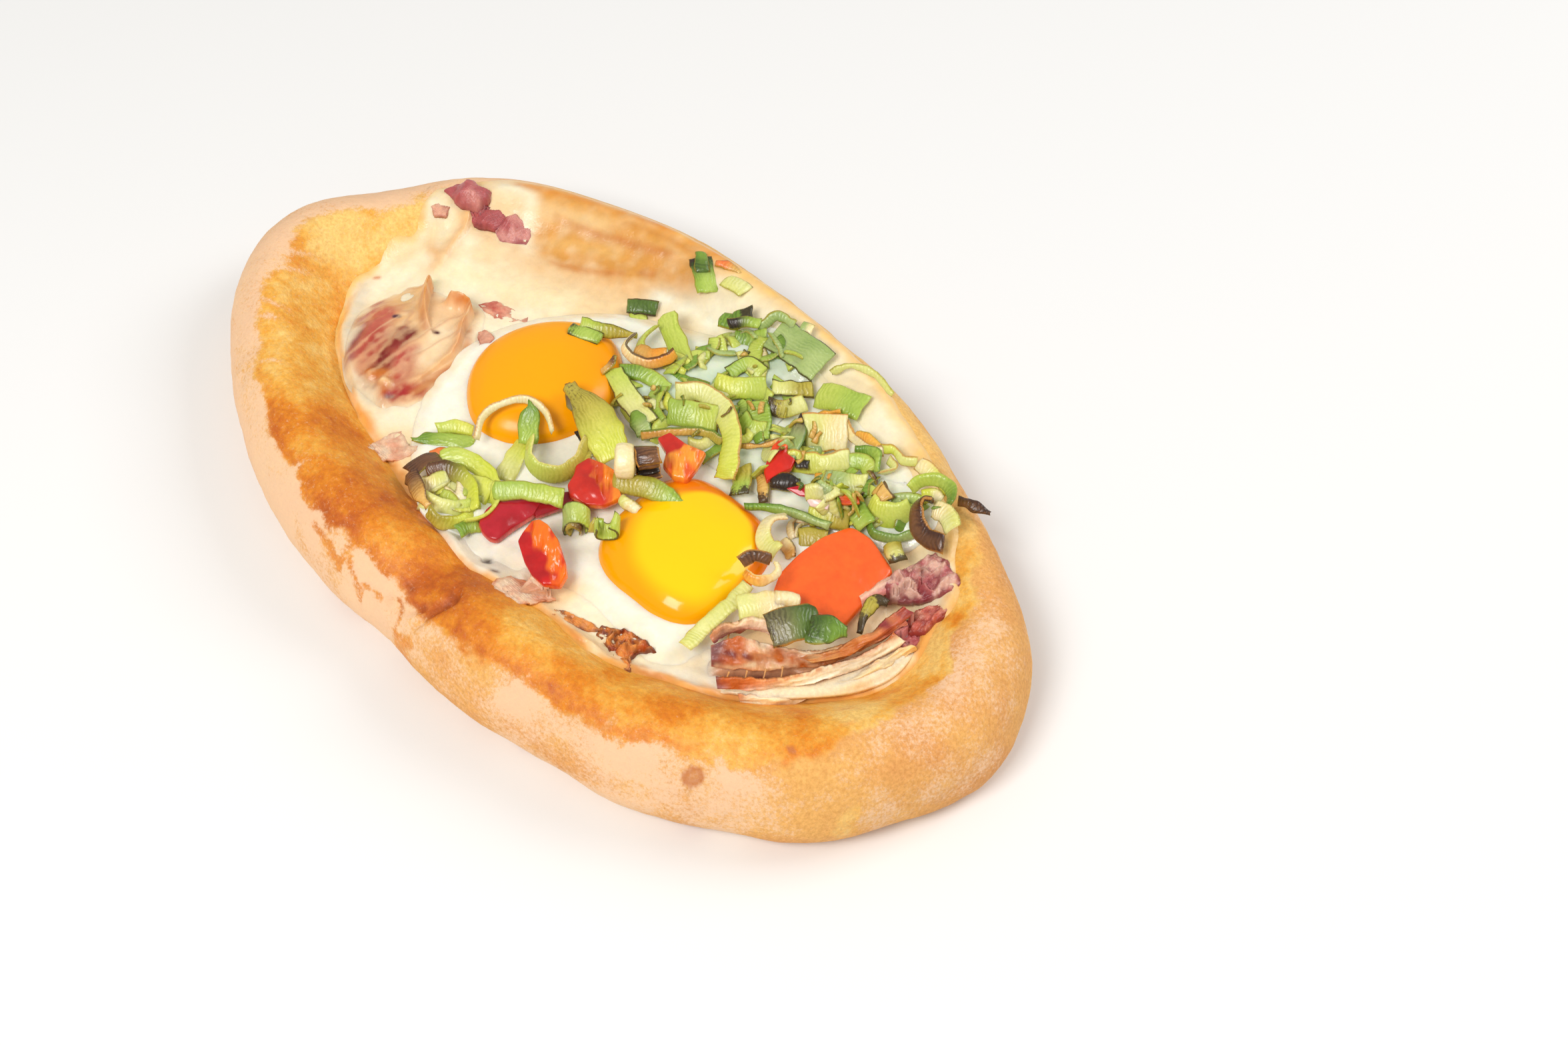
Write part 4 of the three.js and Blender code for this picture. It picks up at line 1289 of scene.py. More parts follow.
def painted(points: Array, base: Array, strokes: tuple[Stroke, ...], seed: int, patchy: float = 0.3) -> Array:
    """Colours of points over the plan: base colours with strokes on them in order.

    Args:
        points: The points.
        base: Their first colours.
        strokes: What is painted, in order.
        seed: That of the unevenness.
        patchy: How uneven it is.

    Returns:
        A colour for each point.
    """
    colour = base + np.zeros((*points.shape[:-1], 3))
    uneven = 0.95 + patchy * Grain(seed).at(points * PLAN, 2.5, 3)
    for stroke in strokes:
        weight = np.clip(stroke.amount * stroke.weight(points[..., 0], points[..., 1]) * uneven, 0, 1)
        colour = mix(colour, shade(*stroke.tint), weight[..., None])
    return colour


CURD = (243, 213, 164)
MILK = (249, 236, 204)


def melted(points: Array) -> Array:
    """Colour of the melted cheese with its toasted and milky strokes."""
    return painted(points, curds(points), CHEESE_STROKES, 21)


def curds(points: Array) -> Array:
    """Colour of plain melted cheese, cream with milkier clouds."""
    cloud = ease(0.5 + 0.75 * Grain(24).at(points * PLAN, 11, 3))[..., None]
    return mix(shade(*CURD), shade(*MILK), cloud)


# ---- cheese and egg


TOAST = (234, 160, 68)
CHEESE_STROKES = Stroke.read("""
  -62 38, -53 41, -42 46, -28 52; 8.5; 216 152 70; 0.95
  -70 46, -58 50.5, -44 54, -26 57.5; 5.5; 222 158 70; 0.85
  -20 60, 0 63, 22 62, 44 59, 62 53; 3.6; 240 196 118; 0.7
  -78 43.6, -72 47.4, -63.7 52, -51 56, -34 61, -18.5 62; 2.4; 230 148 52; 0.95
  -80 40, -72 42, -68 36, -63 32; 2.4; 246 230 196; 0.9; 0.4
  -26 44, -20 46, -12 48; 4.0; 240 236 212; 0.9
  -64 43.5, -52.4 46.7, -47.6 48.8, -42.3 50.4, -33 54; 1.1; 196 116 44; 0.65; 0.12
  -56 34.5, -51.5 36.4, -45.5 39.3, -39.5 43; 1.0; 200 124 50; 0.65; 0.12
  -35.6 46.9, -33.8 48; 1.2; 200 124 56; 0.8
  -48 52.8, -38 56, -28 58; 1.0; 206 136 62; 0.5; 0.1
  -66.9 42.6, -60.7 45.8, -53 49.6; 2.0; 244 210 148; 0.5; 0.1
  -60 38.6, -52 42.6, -45 46.4; 2.0; 240 196 120; 0.4; 0.1
  -73 8.6, -73.4 12.2, -75.8 18, -78 25.4, -79.8 28; 2.2; 230 168 92; 0.9; 1.5; lip
  -76.6 15, -80.4 15.6, -84 19.8; 1.6; 226 176 116; 0.7; 0.6
  -75 12, -77.6 19, -80 25; 3.0; 232 186 130; 0.5
  -88 5, -87.6 10, -85.7 16, -82 21; 3.4; 244 222 178; 0.7; -0.8
  -72 27, -66 30, -60 31; 3.0; 234 194 140; 0.45; 0.5
  -70 9, -67 16, -56 20.5, -44 27; 4.0; 247 230 184; 0.7; 0.3
  -85 -3, -80.7 -8, -76 -14, -68 -21, -64 -26; 2.6; 222 210 186; 0.85; -0.3
  -60 -28, -52 -27.6, -46 -27; 1.4; 206 190 160; 0.7
  -46 -29, -42 -31, -36 -30; 3.0; 240 214 170; 0.8
  -44 -29, -41.6 -24.4, -40.1 -20, -37 -16; 3.2; 246 232 202; 0.8; 0.4
  -36.5 -19.5, -36 -14.9, -36.8 -11; 1.6; 228 176 120; 0.6
  -84.8 0.5, -84.2 1.0; 0.7; 200 104 62; 0.9; 0.2
  -89.5 17.3, -88.4 18.8; 1.2; 222 136 78; 0.7; 0.3
  -10 -42.5, 1.3 -43.3, 8 -42; 3.6; 240 231 210; 0.9
  -3.3 -42.6, -1 -38, 3 -36.8, 8 -38.5; 3.4; 222 214 200; 0.8; 0.5
  5 -43, 8.4 -46.5, 12 -47; 2.6; 226 210 186; 0.6; 0.3
  10 -34, 13.5 -34.5, 15.5 -37.5; 1.6; 250 240 220; 0.8; 0.8
  5.4 -39.8, 6.2 -39.2; 0.8; 70 52 44; 0.9; -0.8
  9.6 -40.8, 10.2 -40.2; 0.6; 110 70 50; 0.8; -0.4
  26 -43, 34 -41.5, 40 -39.5; 2.2; 240 204 150; 0.7; 0.6; lip
  52 -37, 56 -32, 60 -28; 3.0; 236 226 206; 0.8; 0.4
  55.6 -25, 57 -21.4, 61 -23, 66 -28, 62 -31; 1.8; 226 220 206; 0.8; 0.5
  38 -36, 46 -34, 52 -30; 3.4; 246 226 184; 0.6; 0.3
  76.7 -14.4, 81.4 -10.3, 82.8 -6.5, 86.8 -1.7, 89.9 2.8; 1.4; 222 160 92; 0.6; 0.3
  91 6, 90.6 12, 88.6 20, 85 28; 2.6; 240 212 160; 0.6; 0.4
  86 31, 88.5 27, 89.5 23; 1.8; 228 156 76; 0.7; 0.4
  73 44, 79 38, 84 33; 2.4; 246 226 184; 0.7; 0.3
""")


CHEESE_FINISH = PaintedFinish("cheese_melt", 0.3, grain=2.6, depth=0.25, clear=0.3, shade=0.95)


@dataclass
class Cheese:
    """The melted cheese that fills the loaf and lies over its far rim."""

    sides: int = 720
    rings: int = 130
    sunk: float = 0.5
    shore: float = 3.0
    left_shore: float = 9.0
    crowding: float = 1.15
    floor_shares: Row = (0.1, 0.35, 0.7)
    rim_toast: Tint = (246, 194, 104)
    scorch: Tint = (182, 104, 46)
    margin: Row = (
        3.5, 3, 3.5, 4, 5, 5, 5.5, 6, 6, 5, 4, 4.4, 5, 4.4, 4, 4, 4, 3.6, 3.6, 3.6, 3.6, 3.6, 5, 7,
    )

    def tint(self, grid: Array, deg: Array, inside: Array) -> Array:
        """Colours of the top, toasted beside the crust.

        Args:
            grid: The top's points.
            deg: Their angles.
            inside: Millimetres in from the filling's edge.

        Returns:
            A colour for each point.
        """
        colour = melted(grid)
        ragged = 1.6 * Grain(25).at(grid, 7, 3) + 0.6 * Grain(26).at(grid, 2, 2)
        far = LOAF.far_share(deg)
        toasted = ease(1.25 - (inside + ragged) / LOAF.around(self.margin, deg))
        left = ease((60 - turn_between(deg, 175)) / 35)
        toast = mix(shade(*TOAST), shade(*self.rim_toast), (np.maximum(far, left) + 0 * inside)[..., None])
        colour = mix(colour, toast, (mix(0.95, 0.8, far) * toasted)[..., None])
        burnt = bell((inside + ragged - 1.2) / 1.1) * (1 - far) * (1 - left)
        burnt = burnt * ease(0.2 + 0.9 * Grain(27).at(grid, 9, 2))
        return mix(colour, shade(*self.scorch), (0.55 * burnt)[..., None])

    def relief(self, grid: Array) -> Array:
        """Uneven melted surface with its strokes.

        Args:
            grid: The top's points.

        Returns:
            A rise for each point.
        """
        x, y = grid[..., 0], grid[..., 1]
        height = 0.45 * Grain(22).at(grid, 14, 3) + 0.16 * Grain(23).at(grid, 4, 3)
        return height + sum(stroke.height(x, y) for stroke in CHEESE_STROKES)

    def build(self) -> Shell:
        """Makes the filling's mesh, whose edge dips into the crust.

        Returns:
            The mesh.
        """
        deg = angles(self.sides)
        edge_x, edge_y = LOAF.plan(deg, LOAF.around(LOAF.filling_edge, deg))
        share = (np.linspace(0, 1, self.rings + 1)[:-1] ** self.crowding)[:, None]
        x, y = edge_x * (1 - share), edge_y * (1 - share)
        grid = stacked(x, y, LOAF.cheese_top(x, y))
        _, inset = LOAF.round_and_in(x, y)
        inside = inset - LOAF.around(LOAF.filling_edge, deg)
        tint = self.tint(grid, deg, inside)
        left = ease((60 - turn_between(deg, 150)) / 35)
        wavy = inside + 0.5 * Grain(28).at(grid, 5, 2) * ease(inside)
        shore = ease(wavy / mix(self.shore, self.left_shore, left))
        grid[..., 2] = mix(LOAF.dough_top(x, y) - self.sunk, grid[..., 2] + self.relief(grid), shore)
        low = grid[:1].copy()
        low[..., :2] *= 0.999
        low[..., 2] -= 0.5
        floor = LOAF.well_rings(edge_x, edge_y, self.floor_shares, LOAF.gap)
        rings = np.concatenate([grid[::-1], low, floor])
        middle = np.array([0, 0, float(LOAF.cheese_top(np.zeros(1), np.zeros(1))[0])])
        shell = Shell.skin(middle, rings, np.array([0, 0, LOAF.well_floor + LOAF.gap]))
        hidden = np.tile(linear(*TOAST), (3 * self.sides + 1, 1))
        shell.paint["tint"] = np.vstack([tint[-1, :1], tint[::-1].reshape(-1, 3), tint[0], hidden])
        return shell

    def dress(self) -> None:
        """Places the cheese."""
        self.build().place("melted_cheese", CHEESE_FINISH.build(), "cheese", "cheese")


HEAP_OUTLINE = (
    (-12, 14), (-15, 26), (-8, 38), (-3, 50), (8, 55), (19, 52), (22, 42), (32, 38), (44, 38), (58, 41),
    (71, 38), (70, 29), (60, 22), (48, 17), (36, 15), (24, 14), (10, 10), (-2, 8),
)
CLUSTER_OUTLINE = (
    (-22, -33), (-18, -26), (-9, -24), (-2, -28), (-1, -36), (-6, -42), (-14, -42), (-20, -38),
)


@dataclass
class Layer:
    """A layer over the filling: its outline, thickness and how deep it reaches down."""

    outline: Path
    thickness: float
    over_white: bool
    depth: float = 2.0
    sides: int = 360
    rings: int = 70
    seed: int = 31
    rough: float = 0.35
    sunk: float = 0.7
    feather: float = 6.0
    lip: float = 1.6
    under_shares: Row = (0.2, 0.6)

    def grid(self) -> tuple[Array, Array]:
        """The layer's top as (ring, place, 3) from its edge in, and the distance in from its outline.

        Returns:
            The points and their distances.
        """
        edge = smooth_curve(self.outline, self.sides, closed=True)
        middle = edge.mean(axis=0)
        share = np.linspace(0, 1, self.rings + 1)[:-1, None, None]
        flat = mix(edge[None], middle[None, None], share)
        x, y = flat[..., 0], flat[..., 1]
        inside = np.abs(distance_inside(x, y, edge[::4]))
        base = LOAF.cheese_top(x, y) + (LOAF.white_thickness if self.over_white else 0)
        lift = self.thickness * ease(inside / self.feather) - self.sunk * (1 - ease(inside / self.lip))
        grid = stacked(x, y, base + lift)
        grid[..., 2] += self.rough * Grain(self.seed).at(grid, 9, 3) * ease(inside / 5)
        return grid, inside

    def build(self) -> tuple[Shell, Array, Array]:
        """Makes the mesh.

        Returns:
            The mesh, and the x, y of its vertices with the distance in from the outline, for painting.
        """
        grid, inside = self.grid()
        low = grid[:1].copy()
        low[..., 2] -= self.depth
        under = []
        middle = grid.reshape(-1, 3).mean(axis=0)
        for share in self.under_shares:
            flat = mix(low[0, :, :2], middle[:2], share)
            z = LOAF.cheese_top(flat[:, 0], flat[:, 1]) - self.depth
            under.append(np.column_stack([flat, z]))
        rings = np.concatenate([grid[::-1], low, np.stack(under)])
        top_z = float(grid[-1, :, 2].mean())
        shell = Shell.skin(np.array([*middle[:2], top_z]), rings, np.array([*middle[:2], top_z - 4]))
        within = np.concatenate([[20], inside[::-1].ravel(), np.zeros(3 * self.sides), [0]])
        return shell, shell.vertices[:, :2], within


@dataclass
class Yolk:
    """One yolk: a dome on a rounded base."""

    node: str
    x: float
    y: float
    rx: float
    ry: float
    turn: float
    squareness: float
    top: float
    finish: YolkFinish
    bottom: float = 14.0
    sides: int = 160
    rings: int = 60
    levels: Path = (
        (0.72, 0.0), (0.97, 0.25), (1.0, 0.42), (0.93, 0.66), (0.74, 0.86), (0.42, 0.97), (0.12, 1.0),
    )

    def build(self) -> Shell:
        """Makes the dome.

        Returns:
            The mesh.
        """
        profile = smooth_curve(self.levels, self.rings)
        a = np.radians(angles(self.sides))
        swell = 1 + self.squareness * np.cos(4 * a)
        reach = profile[:, :1] * swell[None]
        lx, ly = self.rx * reach * np.cos(a), self.ry * reach * np.sin(a)
        dx, dy = turned(lx, ly, -self.turn)
        x, y = self.x + dx, self.y + dy
        z = mix(self.bottom, self.top, profile[:, 1:]) + 0 * x
        rings = stacked(x, y, z)
        rings[..., 2] += 0.25 * Grain(41).at(rings, 14, 2) * profile[:, 1:]
        first = np.array([self.x, self.y, self.bottom])
        last = np.array([self.x, self.y, float(rings[-1, :, 2].mean())])
        return Shell.skin(first, rings, last)


# ---- leek


class Tone(Enum):
    """Colours of leek: its dark, middle and light bands."""

    FOREST = ((38, 56, 22), (70, 96, 36), (112, 140, 60))
    DARK = ((72, 104, 30), (108, 142, 46), (148, 180, 72))
    GREEN = ((134, 160, 50), (160, 186, 74), (190, 210, 104))
    LIGHT = ((166, 186, 62), (188, 202, 84), (212, 220, 114))
    LIME = ((190, 198, 40), (210, 214, 72), (230, 232, 120))
    SAGE = ((130, 156, 86), (160, 180, 106), (190, 204, 136))
    PALE = ((204, 202, 96), (222, 220, 130), (240, 238, 172))
    CREAM = ((236, 204, 130), (248, 226, 168), (253, 240, 206))
    OLIVE = ((146, 130, 36), (176, 160, 58), (204, 188, 88))
    TAN = ((172, 112, 44), (212, 154, 72), (238, 196, 116))
    AMBER = ((206, 110, 24), (236, 150, 42), (250, 190, 84))
    BURNT = ((46, 26, 20), (84, 50, 36), (144, 98, 62))
    CHAR = ((20, 18, 20), (38, 32, 30), (70, 54, 44))
    GREY = ((62, 54, 36), (100, 92, 60), (150, 142, 102))
    EMBER = ((206, 66, 26), (236, 100, 40), (248, 150, 84))


@dataclass(frozen=True)
class Strip(Written):
    """One slice of leek along a path of (x, y, z).

    Sizes are in mm and angles in degrees. stand rolls its face about the path at its start and its end, from
    0 for lying flat to 90 for on edge. tips are the widths of its two ends as shares, and burn is how charred
    they are. An axis, if given, is the direction that its width runs in, so that the path may turn round.
    """

    path: tuple[Point, ...]
    width: float
    tone: Tone = Tone.GREEN
    end_tone: Tone | None = None
    stand: tuple[float, float] = (20.0, 20.0)
    tips: tuple[float, float] = (1.0, 1.0)
    edge: Tone = Tone.OLIVE
    rim: float = 0.5
    burn: tuple[float, float] = (0.0, 0.0)
    lengthwise: bool = False
    thick: float = 0.9
    cup: float = 0.06
    axis: Point | None = None
    cell: float = 0.5
    choices: ClassVar[type[Enum]] = Tone

    def _frame(self, along: Array, share: Array) -> tuple[Array, Array]:
        """Directions of the width and of the face at places along the path.

        Args:
            along: The path's directions.
            share: Shares of the path.

        Returns:
            The directions, one of each for each place.
        """
        if self.axis is not None:
            wide = unit(np.array(self.axis))
            wide = unit(wide - along * (along @ wide)[:, None])
            return wide, np.cross(along, wide)
        side = unit(np.cross([0.0, 0.0, 1.0], along))
        above = np.cross(along, side)
        roll = np.radians(mix(*self.stand, share))[:, None]
        return side * np.cos(roll) + above * np.sin(roll), above * np.cos(roll) - side * np.sin(roll)

    def build(self, number: int) -> Shell:
        """Makes the slice in its place.

        Args:
            number: Tells slices apart in their waves.

        Returns:
            The mesh, with what its finish needs painted on it.
        """
        grain = Grain(100 + 7 * number)
        length = path_length(smooth_curve(self.path, 80))
        count = max(10, round(length / self.cell)) + 1
        centre = smooth_curve(self.path, count)
        share = np.linspace(0, 1, count)
        along = unit(np.gradient(centre, axis=0))
        wide, face = self._frame(along, share)
        lines = max(6, round(self.width / self.cell)) + 1
        u, v = np.meshgrid(np.linspace(-0.5, 0.5, lines), share, indexing="ij")
        flat = stacked(u * self.width, v * length, 0 * u)
        tip = mix(self.tips[0], 1.0, ease(v * 2.2)) * mix(self.tips[1], 1.0, ease((1 - v) * 2.2))
        to_edge, to_end = (0.5 - np.abs(u)) * self.width * tip, np.minimum(v, 1 - v) * length
        border = np.minimum(to_edge, to_end)
        rounded = 0.2 + 0.8 * np.sqrt(1 - (1 - np.clip(border / 0.7, 0, 1)) ** 2)
        ragged = 0.35 * grain.at(flat + 77, 2.2, 2)
        reach = u * self.width * tip + ragged * (1 - np.clip(to_edge / 1.5, 0, 1)) * np.sign(u)
        swell = self.cup * self.width * (1 - 4 * u * u) + 0.3 * grain.at(flat + 9, 5, 2)
        slide = ragged * (1 - np.clip(to_end / 1.5, 0, 1)) * np.sign(v - 0.5)
        base = centre[None] + wide[None] * reach[..., None] + along[None] * slide[..., None]
        sides = [base + face[None] * (swell + half * self.thick * rounded)[..., None] for half in (0.5, -0.5)]
        shell = Shell.sheet(*sides)
        shell.paint = self._paint(u, v, flat, border, to_edge, grain)
        return shell

    def _paint(
        self, u: Array, v: Array, flat: Array, border: Array, to_edge: Array, grain: Grain
    ) -> dict[str, Array]:
        """What the finish needs: two tints, the place across the bands, the edge and the char.

        Args:
            u: Places across, from -0.5 to 0.5.
            v: Shares along.
            flat: The slice laid flat, in mm.
            border: Distance from its nearest edge.
            to_edge: Distance from its long edges.
            grain: Its noise.

        Returns:
            The paint by name, for both faces.
        """
        start, end = self.tone, self.end_tone or self.tone
        passed = ease(v * 1.8 - 0.4)[..., None]
        dark, middle, light = (mix(shade(*a), shade(*b), passed) for a, b in zip(start.value, end.value))
        blotch = ease(0.5 + 0.6 * grain.at(flat + 40, 5, 2))[..., None]
        lean = 1.6 * u * grain.at(flat[:1, :1] * 0, 1.0, 1)
        pale_side = ease(0.5 + lean + 0.4 * (1 - 2 * np.abs(u)))[..., None]
        tint = mix(mix(dark, middle, 0.75), light, np.clip(0.4 * blotch + 0.5 * pale_side - 0.1, 0, 1))
        bands = mix(dark, middle, blotch * 0.4)
        edge = shade(*self.edge.value[0]) * 0.6 + shade(*self.edge.value[1]) * 0.4 + 0 * tint
        heat = 0.0
        for place, amount in ((v, self.burn[0]), (1 - v, self.burn[1])):
            heat = heat + amount * 1.7 * bell(place / 0.3) * (0.8 + 0.5 * grain.at(flat + 63, 2.6, 3))
        rim = self.rim * np.clip(1 - to_edge / 0.55, 0, 1) + 0.6 * self.rim * np.clip(1 - border / 0.5, 0, 1)
        across = (u * self.width if self.lengthwise else flat[..., 1]) + 0.35 * grain.at(flat, 4, 2)
        char = np.clip(heat, 0, 1)
        paint = {"tint": tint, "bands": bands, "edge": edge, "across": across, "rim": rim, "char": char}
        flats = {key: p.reshape(-1, 3) if p.ndim == 3 else p.ravel() for key, p in paint.items()}
        return {key: np.concatenate([p, p]) for key, p in flats.items()}


def hoop(
    x: float, y: float, z: float, radius: float, facing: float, sweep: tuple[float, float]
) -> tuple[Point, ...]:
    """Points round a standing circle whose axis lies level.

    Args:
        x, y, z: The circle's middle in mm.
        radius: Its radius in mm.
        facing: Direction of its axis from +X towards +Y, in degrees.
        sweep: Where it starts and ends, in degrees up from the side that is left of the axis.

    Returns:
        Seven points.
    """
    aim = math.radians(facing)
    turns = np.radians(np.linspace(*sweep, 7))
    return tuple((x - radius * math.cos(t) * math.sin(aim), y + radius * math.cos(t) * math.cos(aim),
                  z + radius * math.sin(t)) for t in turns)


def level(facing: float, rise: float = 0.0) -> Point:
    """A direction over the plan, from +X towards +Y, that climbs by a share of its length."""
    return (math.cos(math.radians(facing)), math.sin(math.radians(facing)), rise)


# Directions over the plan in degrees from +X, towards someone who looks at the loaf and to their right.
TOWARDS = -46.5
RIGHT = 43.5

HEAP_STRIPS = Strip.read("""
  -19 39 22.5, -13 36 22, -4 31.5 21; 5.2; LIGHT; stand 30 30; lengthwise
  -17.5 34.5 22.5, -17 29.5 22.5, -15 27 22, -11 26.5 21.5; 3; LIGHT; stand 50 40
  -5 42 22.5, -3.5 40 21.5, -2.5 37 21, -1.5 34 20.5; 3; LIGHT; GREEN; stand 10 50; rim 0.9
  -5 43 22, -3 42 21.5, -0.5 41 20.5; 3; LIGHT; stand 40 20
  -8.5 47.5 22.5, -5.5 48.5 23, -4 50 24.5, -2 52 25.5; 4.5; DARK; burn 0.2 0.9; rim 0.9
  -5 46.5 24, -2 49.5 25, 1.5 51 25.5; 3; CHAR; GREEN; stand 50 20
  -2.5 46 21.5, 1 48 22, 4.5 50.5 24; 4.5; DARK; GREEN; stand 40 20
  1.5 50.5 24, 3.5 55 27, 8.5 55.5 27; 2.6; SAGE; stand 60 50; rim 0.8
  5 52 24.5, 14 52 25.5, 22 52 25; 9.4; SAGE; stand 20 20; lengthwise; edge BURNT; rim 0.8; cup 0.03
  10 56.5 27, 13 57.5 27; 3; SAGE; CREAM
  4.5 47.5 21.5, 8.5 44 20.5, 12.5 39 20.5; 4.5; CREAM; PALE; stand 40 40
  24 52 24.5, 27 56 26.5, 33 57.5 27, 40.5 56 26.5; 1.8; PALE; stand 70 60
  6 36 22.5, 6.5 41.5 22.5, 11 42.5 21.5; 4; GREEN; LIGHT; stand 40 30; rim 0.9; edge BURNT
  6 31.5 22.5, 11.5 34 23.3, 15.5 39 22.8; 5.6; LIME; LIGHT; stand 40 40
  16.5 40 23, 20 43 23, 23.5 46.5 23; 4; PALE; OLIVE; stand 30 30; edge BURNT; rim 1.0
  20 35 23, 23.5 37.5 23, 25 42.5 22.5; 4.5; OLIVE; PALE; stand 40 40; burn 0.9 0; edge TAN
  17.5 34 23.5, 21.5 31 22.5, 25.5 27 21.5; 5; GREEN; stand 10 20; edge DARK
  18 28 22, 22 27.5 22, 25 30 22; 5; GREEN; LIGHT; stand 40 40
  -1.5 19.5 22.5, 1.5 15.5 22, 5.5 14 22; 4; LIGHT; GREEN; stand 40 50
  -2.5 21.5 22.5, -0.5 16.5 22, 2 13.5 21.5; 4; GREEN; LIGHT; stand 20 20
  5 17 23.5, 10.5 19.5 24.5, 15.5 23.5 23.5; 6.5; GREEN; LIGHT; stand 40 35
  -13 18 22.5, -8.5 21 23, -0.5 22.5 22.5; 3.8; DARK; GREEN; stand 40 30
  -6 27 21.5, 0 28 21.5, 5 30 21.5; 3; DARK; stand 30 30
  -13.5 16.5 23.7, -6 14 23, 4 11.5 22.5; 5.2; LIGHT; PALE; stand 10 20; lengthwise; edge BURNT; rim 0.8
  -14.5 18.5 26.5, -14 16.5 25.2, -14.5 14 24; 2; BURNT; TAN; tips 0.3 1
  -1 12 22.7, 2.5 10.5 22.2, 5 9.5 21.5; 5; DARK; SAGE; tips 0.5 0.8; rim 0.9; edge DARK
  5.5 8 22.5, 11 14.5 23, 16 19 23, 20 20 22.5; 2.4; TAN; OLIVE; stand 60 60; edge DARK; rim 0.9
  2 22.5 23.7, 7.5 26 24.7, 15.5 25 25.2, 21.5 21.5 24.7, 27 15 23.7, 28.5 12.5 22.5; 5.8; PALE; LIME;
    stand 55 15; edge TAN; rim 0.9; tips 0.8 0.9
  28 18 21.5, 31 15.5 21.5, 33.5 12 21.5; 5; OLIVE; GREEN; lengthwise; rim 0.8; burn 0 0.6
  32 20 21.5, 36 17.5 21.5, 39 14.5 21; 2.6; TAN; burn 0.4 0.8; stand 40 20
  28.5 38 24.8, 32 32.5 24.3, 36 25 23.2; 4.4; GREY; SAGE; stand 10 20; lengthwise; edge DARK; rim 0.9;
    tips 0.3 0.8; burn 0.7 0.2
  24 22 22.5, 28 25 23.5, 30.5 29 24; 1.4; TAN; edge BURNT; stand 50 50
  32 35 23, 35.5 38.5 23.6, 39 42 23.2; 9; PALE; CREAM; stand 35 35; edge AMBER; rim 0.8; cup 0.1
  34.5 26 23, 39 29 23, 43 32 23.3, 45 37 22.7; 5.4; LIME; PALE; stand 55 40; edge TAN; rim 0.8
  44 39.5 22.8, 46.5 41 23.7, 49.5 41 24.6, 51.5 38.5 22.8; 3.4; DARK; GREEN; stand 70 60; edge DARK
  45 36 22.5, 48 38 23, 50.5 37.5 22.5; 4; GREEN; LIGHT; stand 40 40
  36.5 44 24, 40.5 42 23.4, 45.5 41.5 24, 50 42.5 25.3; 2.6; CREAM; stand 60 60; edge TAN; rim 0.9
  49 43 25, 52 44 26, 55.5 43 26.4, 58.5 44.5 27; 2.2; LIME; PALE; stand 60 60; edge TAN; rim 0.7
  52 42 24.4, 55 41 24.5, 53 38.5 22.8; 2.4; PALE; stand 60 60; edge TAN
  45.5 29.5 22.3, 49.5 31.5 22.8, 52.5 34.5 22.3; 5; SAGE; PALE; stand 30 30
  59 44.5 27, 63.5 44 27.3, 69.5 43 27.5; 3.4; CREAM; LIME; stand 40 40; rim 0.7; edge TAN
  49.5 18.5 22, 53 20.5 22.6, 57 24 22; 5; LIME; OLIVE; stand 45 40
  54 27.5 23.6, 57 26.5 23.2, 61 25 22.6; 5; DARK; GREEN; stand 10 40; burn 0.5 0; edge DARK
  59 27.5 22.6, 63 25.2 22.1, 67 27.5 21.8, 70 31.5 22.8; 2.6; DARK; SAGE; stand 75 75; edge DARK
  57 30 23, 60 29.2 23, 64 31.5 23.3, 65.5 35 24; 6.5; LIME; LIGHT; stand 60 60; rim 0.3
  60 34 23, 64 37 24.2, 67 38 24.6; 4; SAGE; GREEN; stand 50 60
  56.5 33.5 24.8, 58.5 33 25, 60.5 32.5 24.5; 4.2; TAN; edge BURNT; rim 1.2; stand 30 30; thick 2
  68.5 25.5 22.8, 70.5 24 22.8, 72.5 23 22; 4.2; OLIVE; PALE; cup 0.3; burn 0 0.8
  29.5 38.5 22.8, 31 42.5 23, 34 45.5 24.2; 1.6; AMBER; stand 40 40
  41.5 42.5 23.8, 44 43 24.6, 48.5 42.5 25.2; 2.4; AMBER; stand 40 40
  42.5 28 22, 45 30 22.3, 47 31 22; 1.6; AMBER; stand 20 20
  37 19 22.5, 39.5 21 23.4, 42 23.5 23; 4.4; CHAR; stand 30 30; tips 0.6 0.6; cup 0.2
  37.5 26.5 23.4, 40 28.5 23.6; 2.6; CHAR; stand 20 20
""")
HEAP_TUBES = (
    Strip(hoop(54, 24.5, 22.8, 1.5, TOWARDS, (-60, 230)), 2.6, Tone.PALE, axis=level(TOWARDS, 0.5),
          edge=Tone.OLIVE),
)
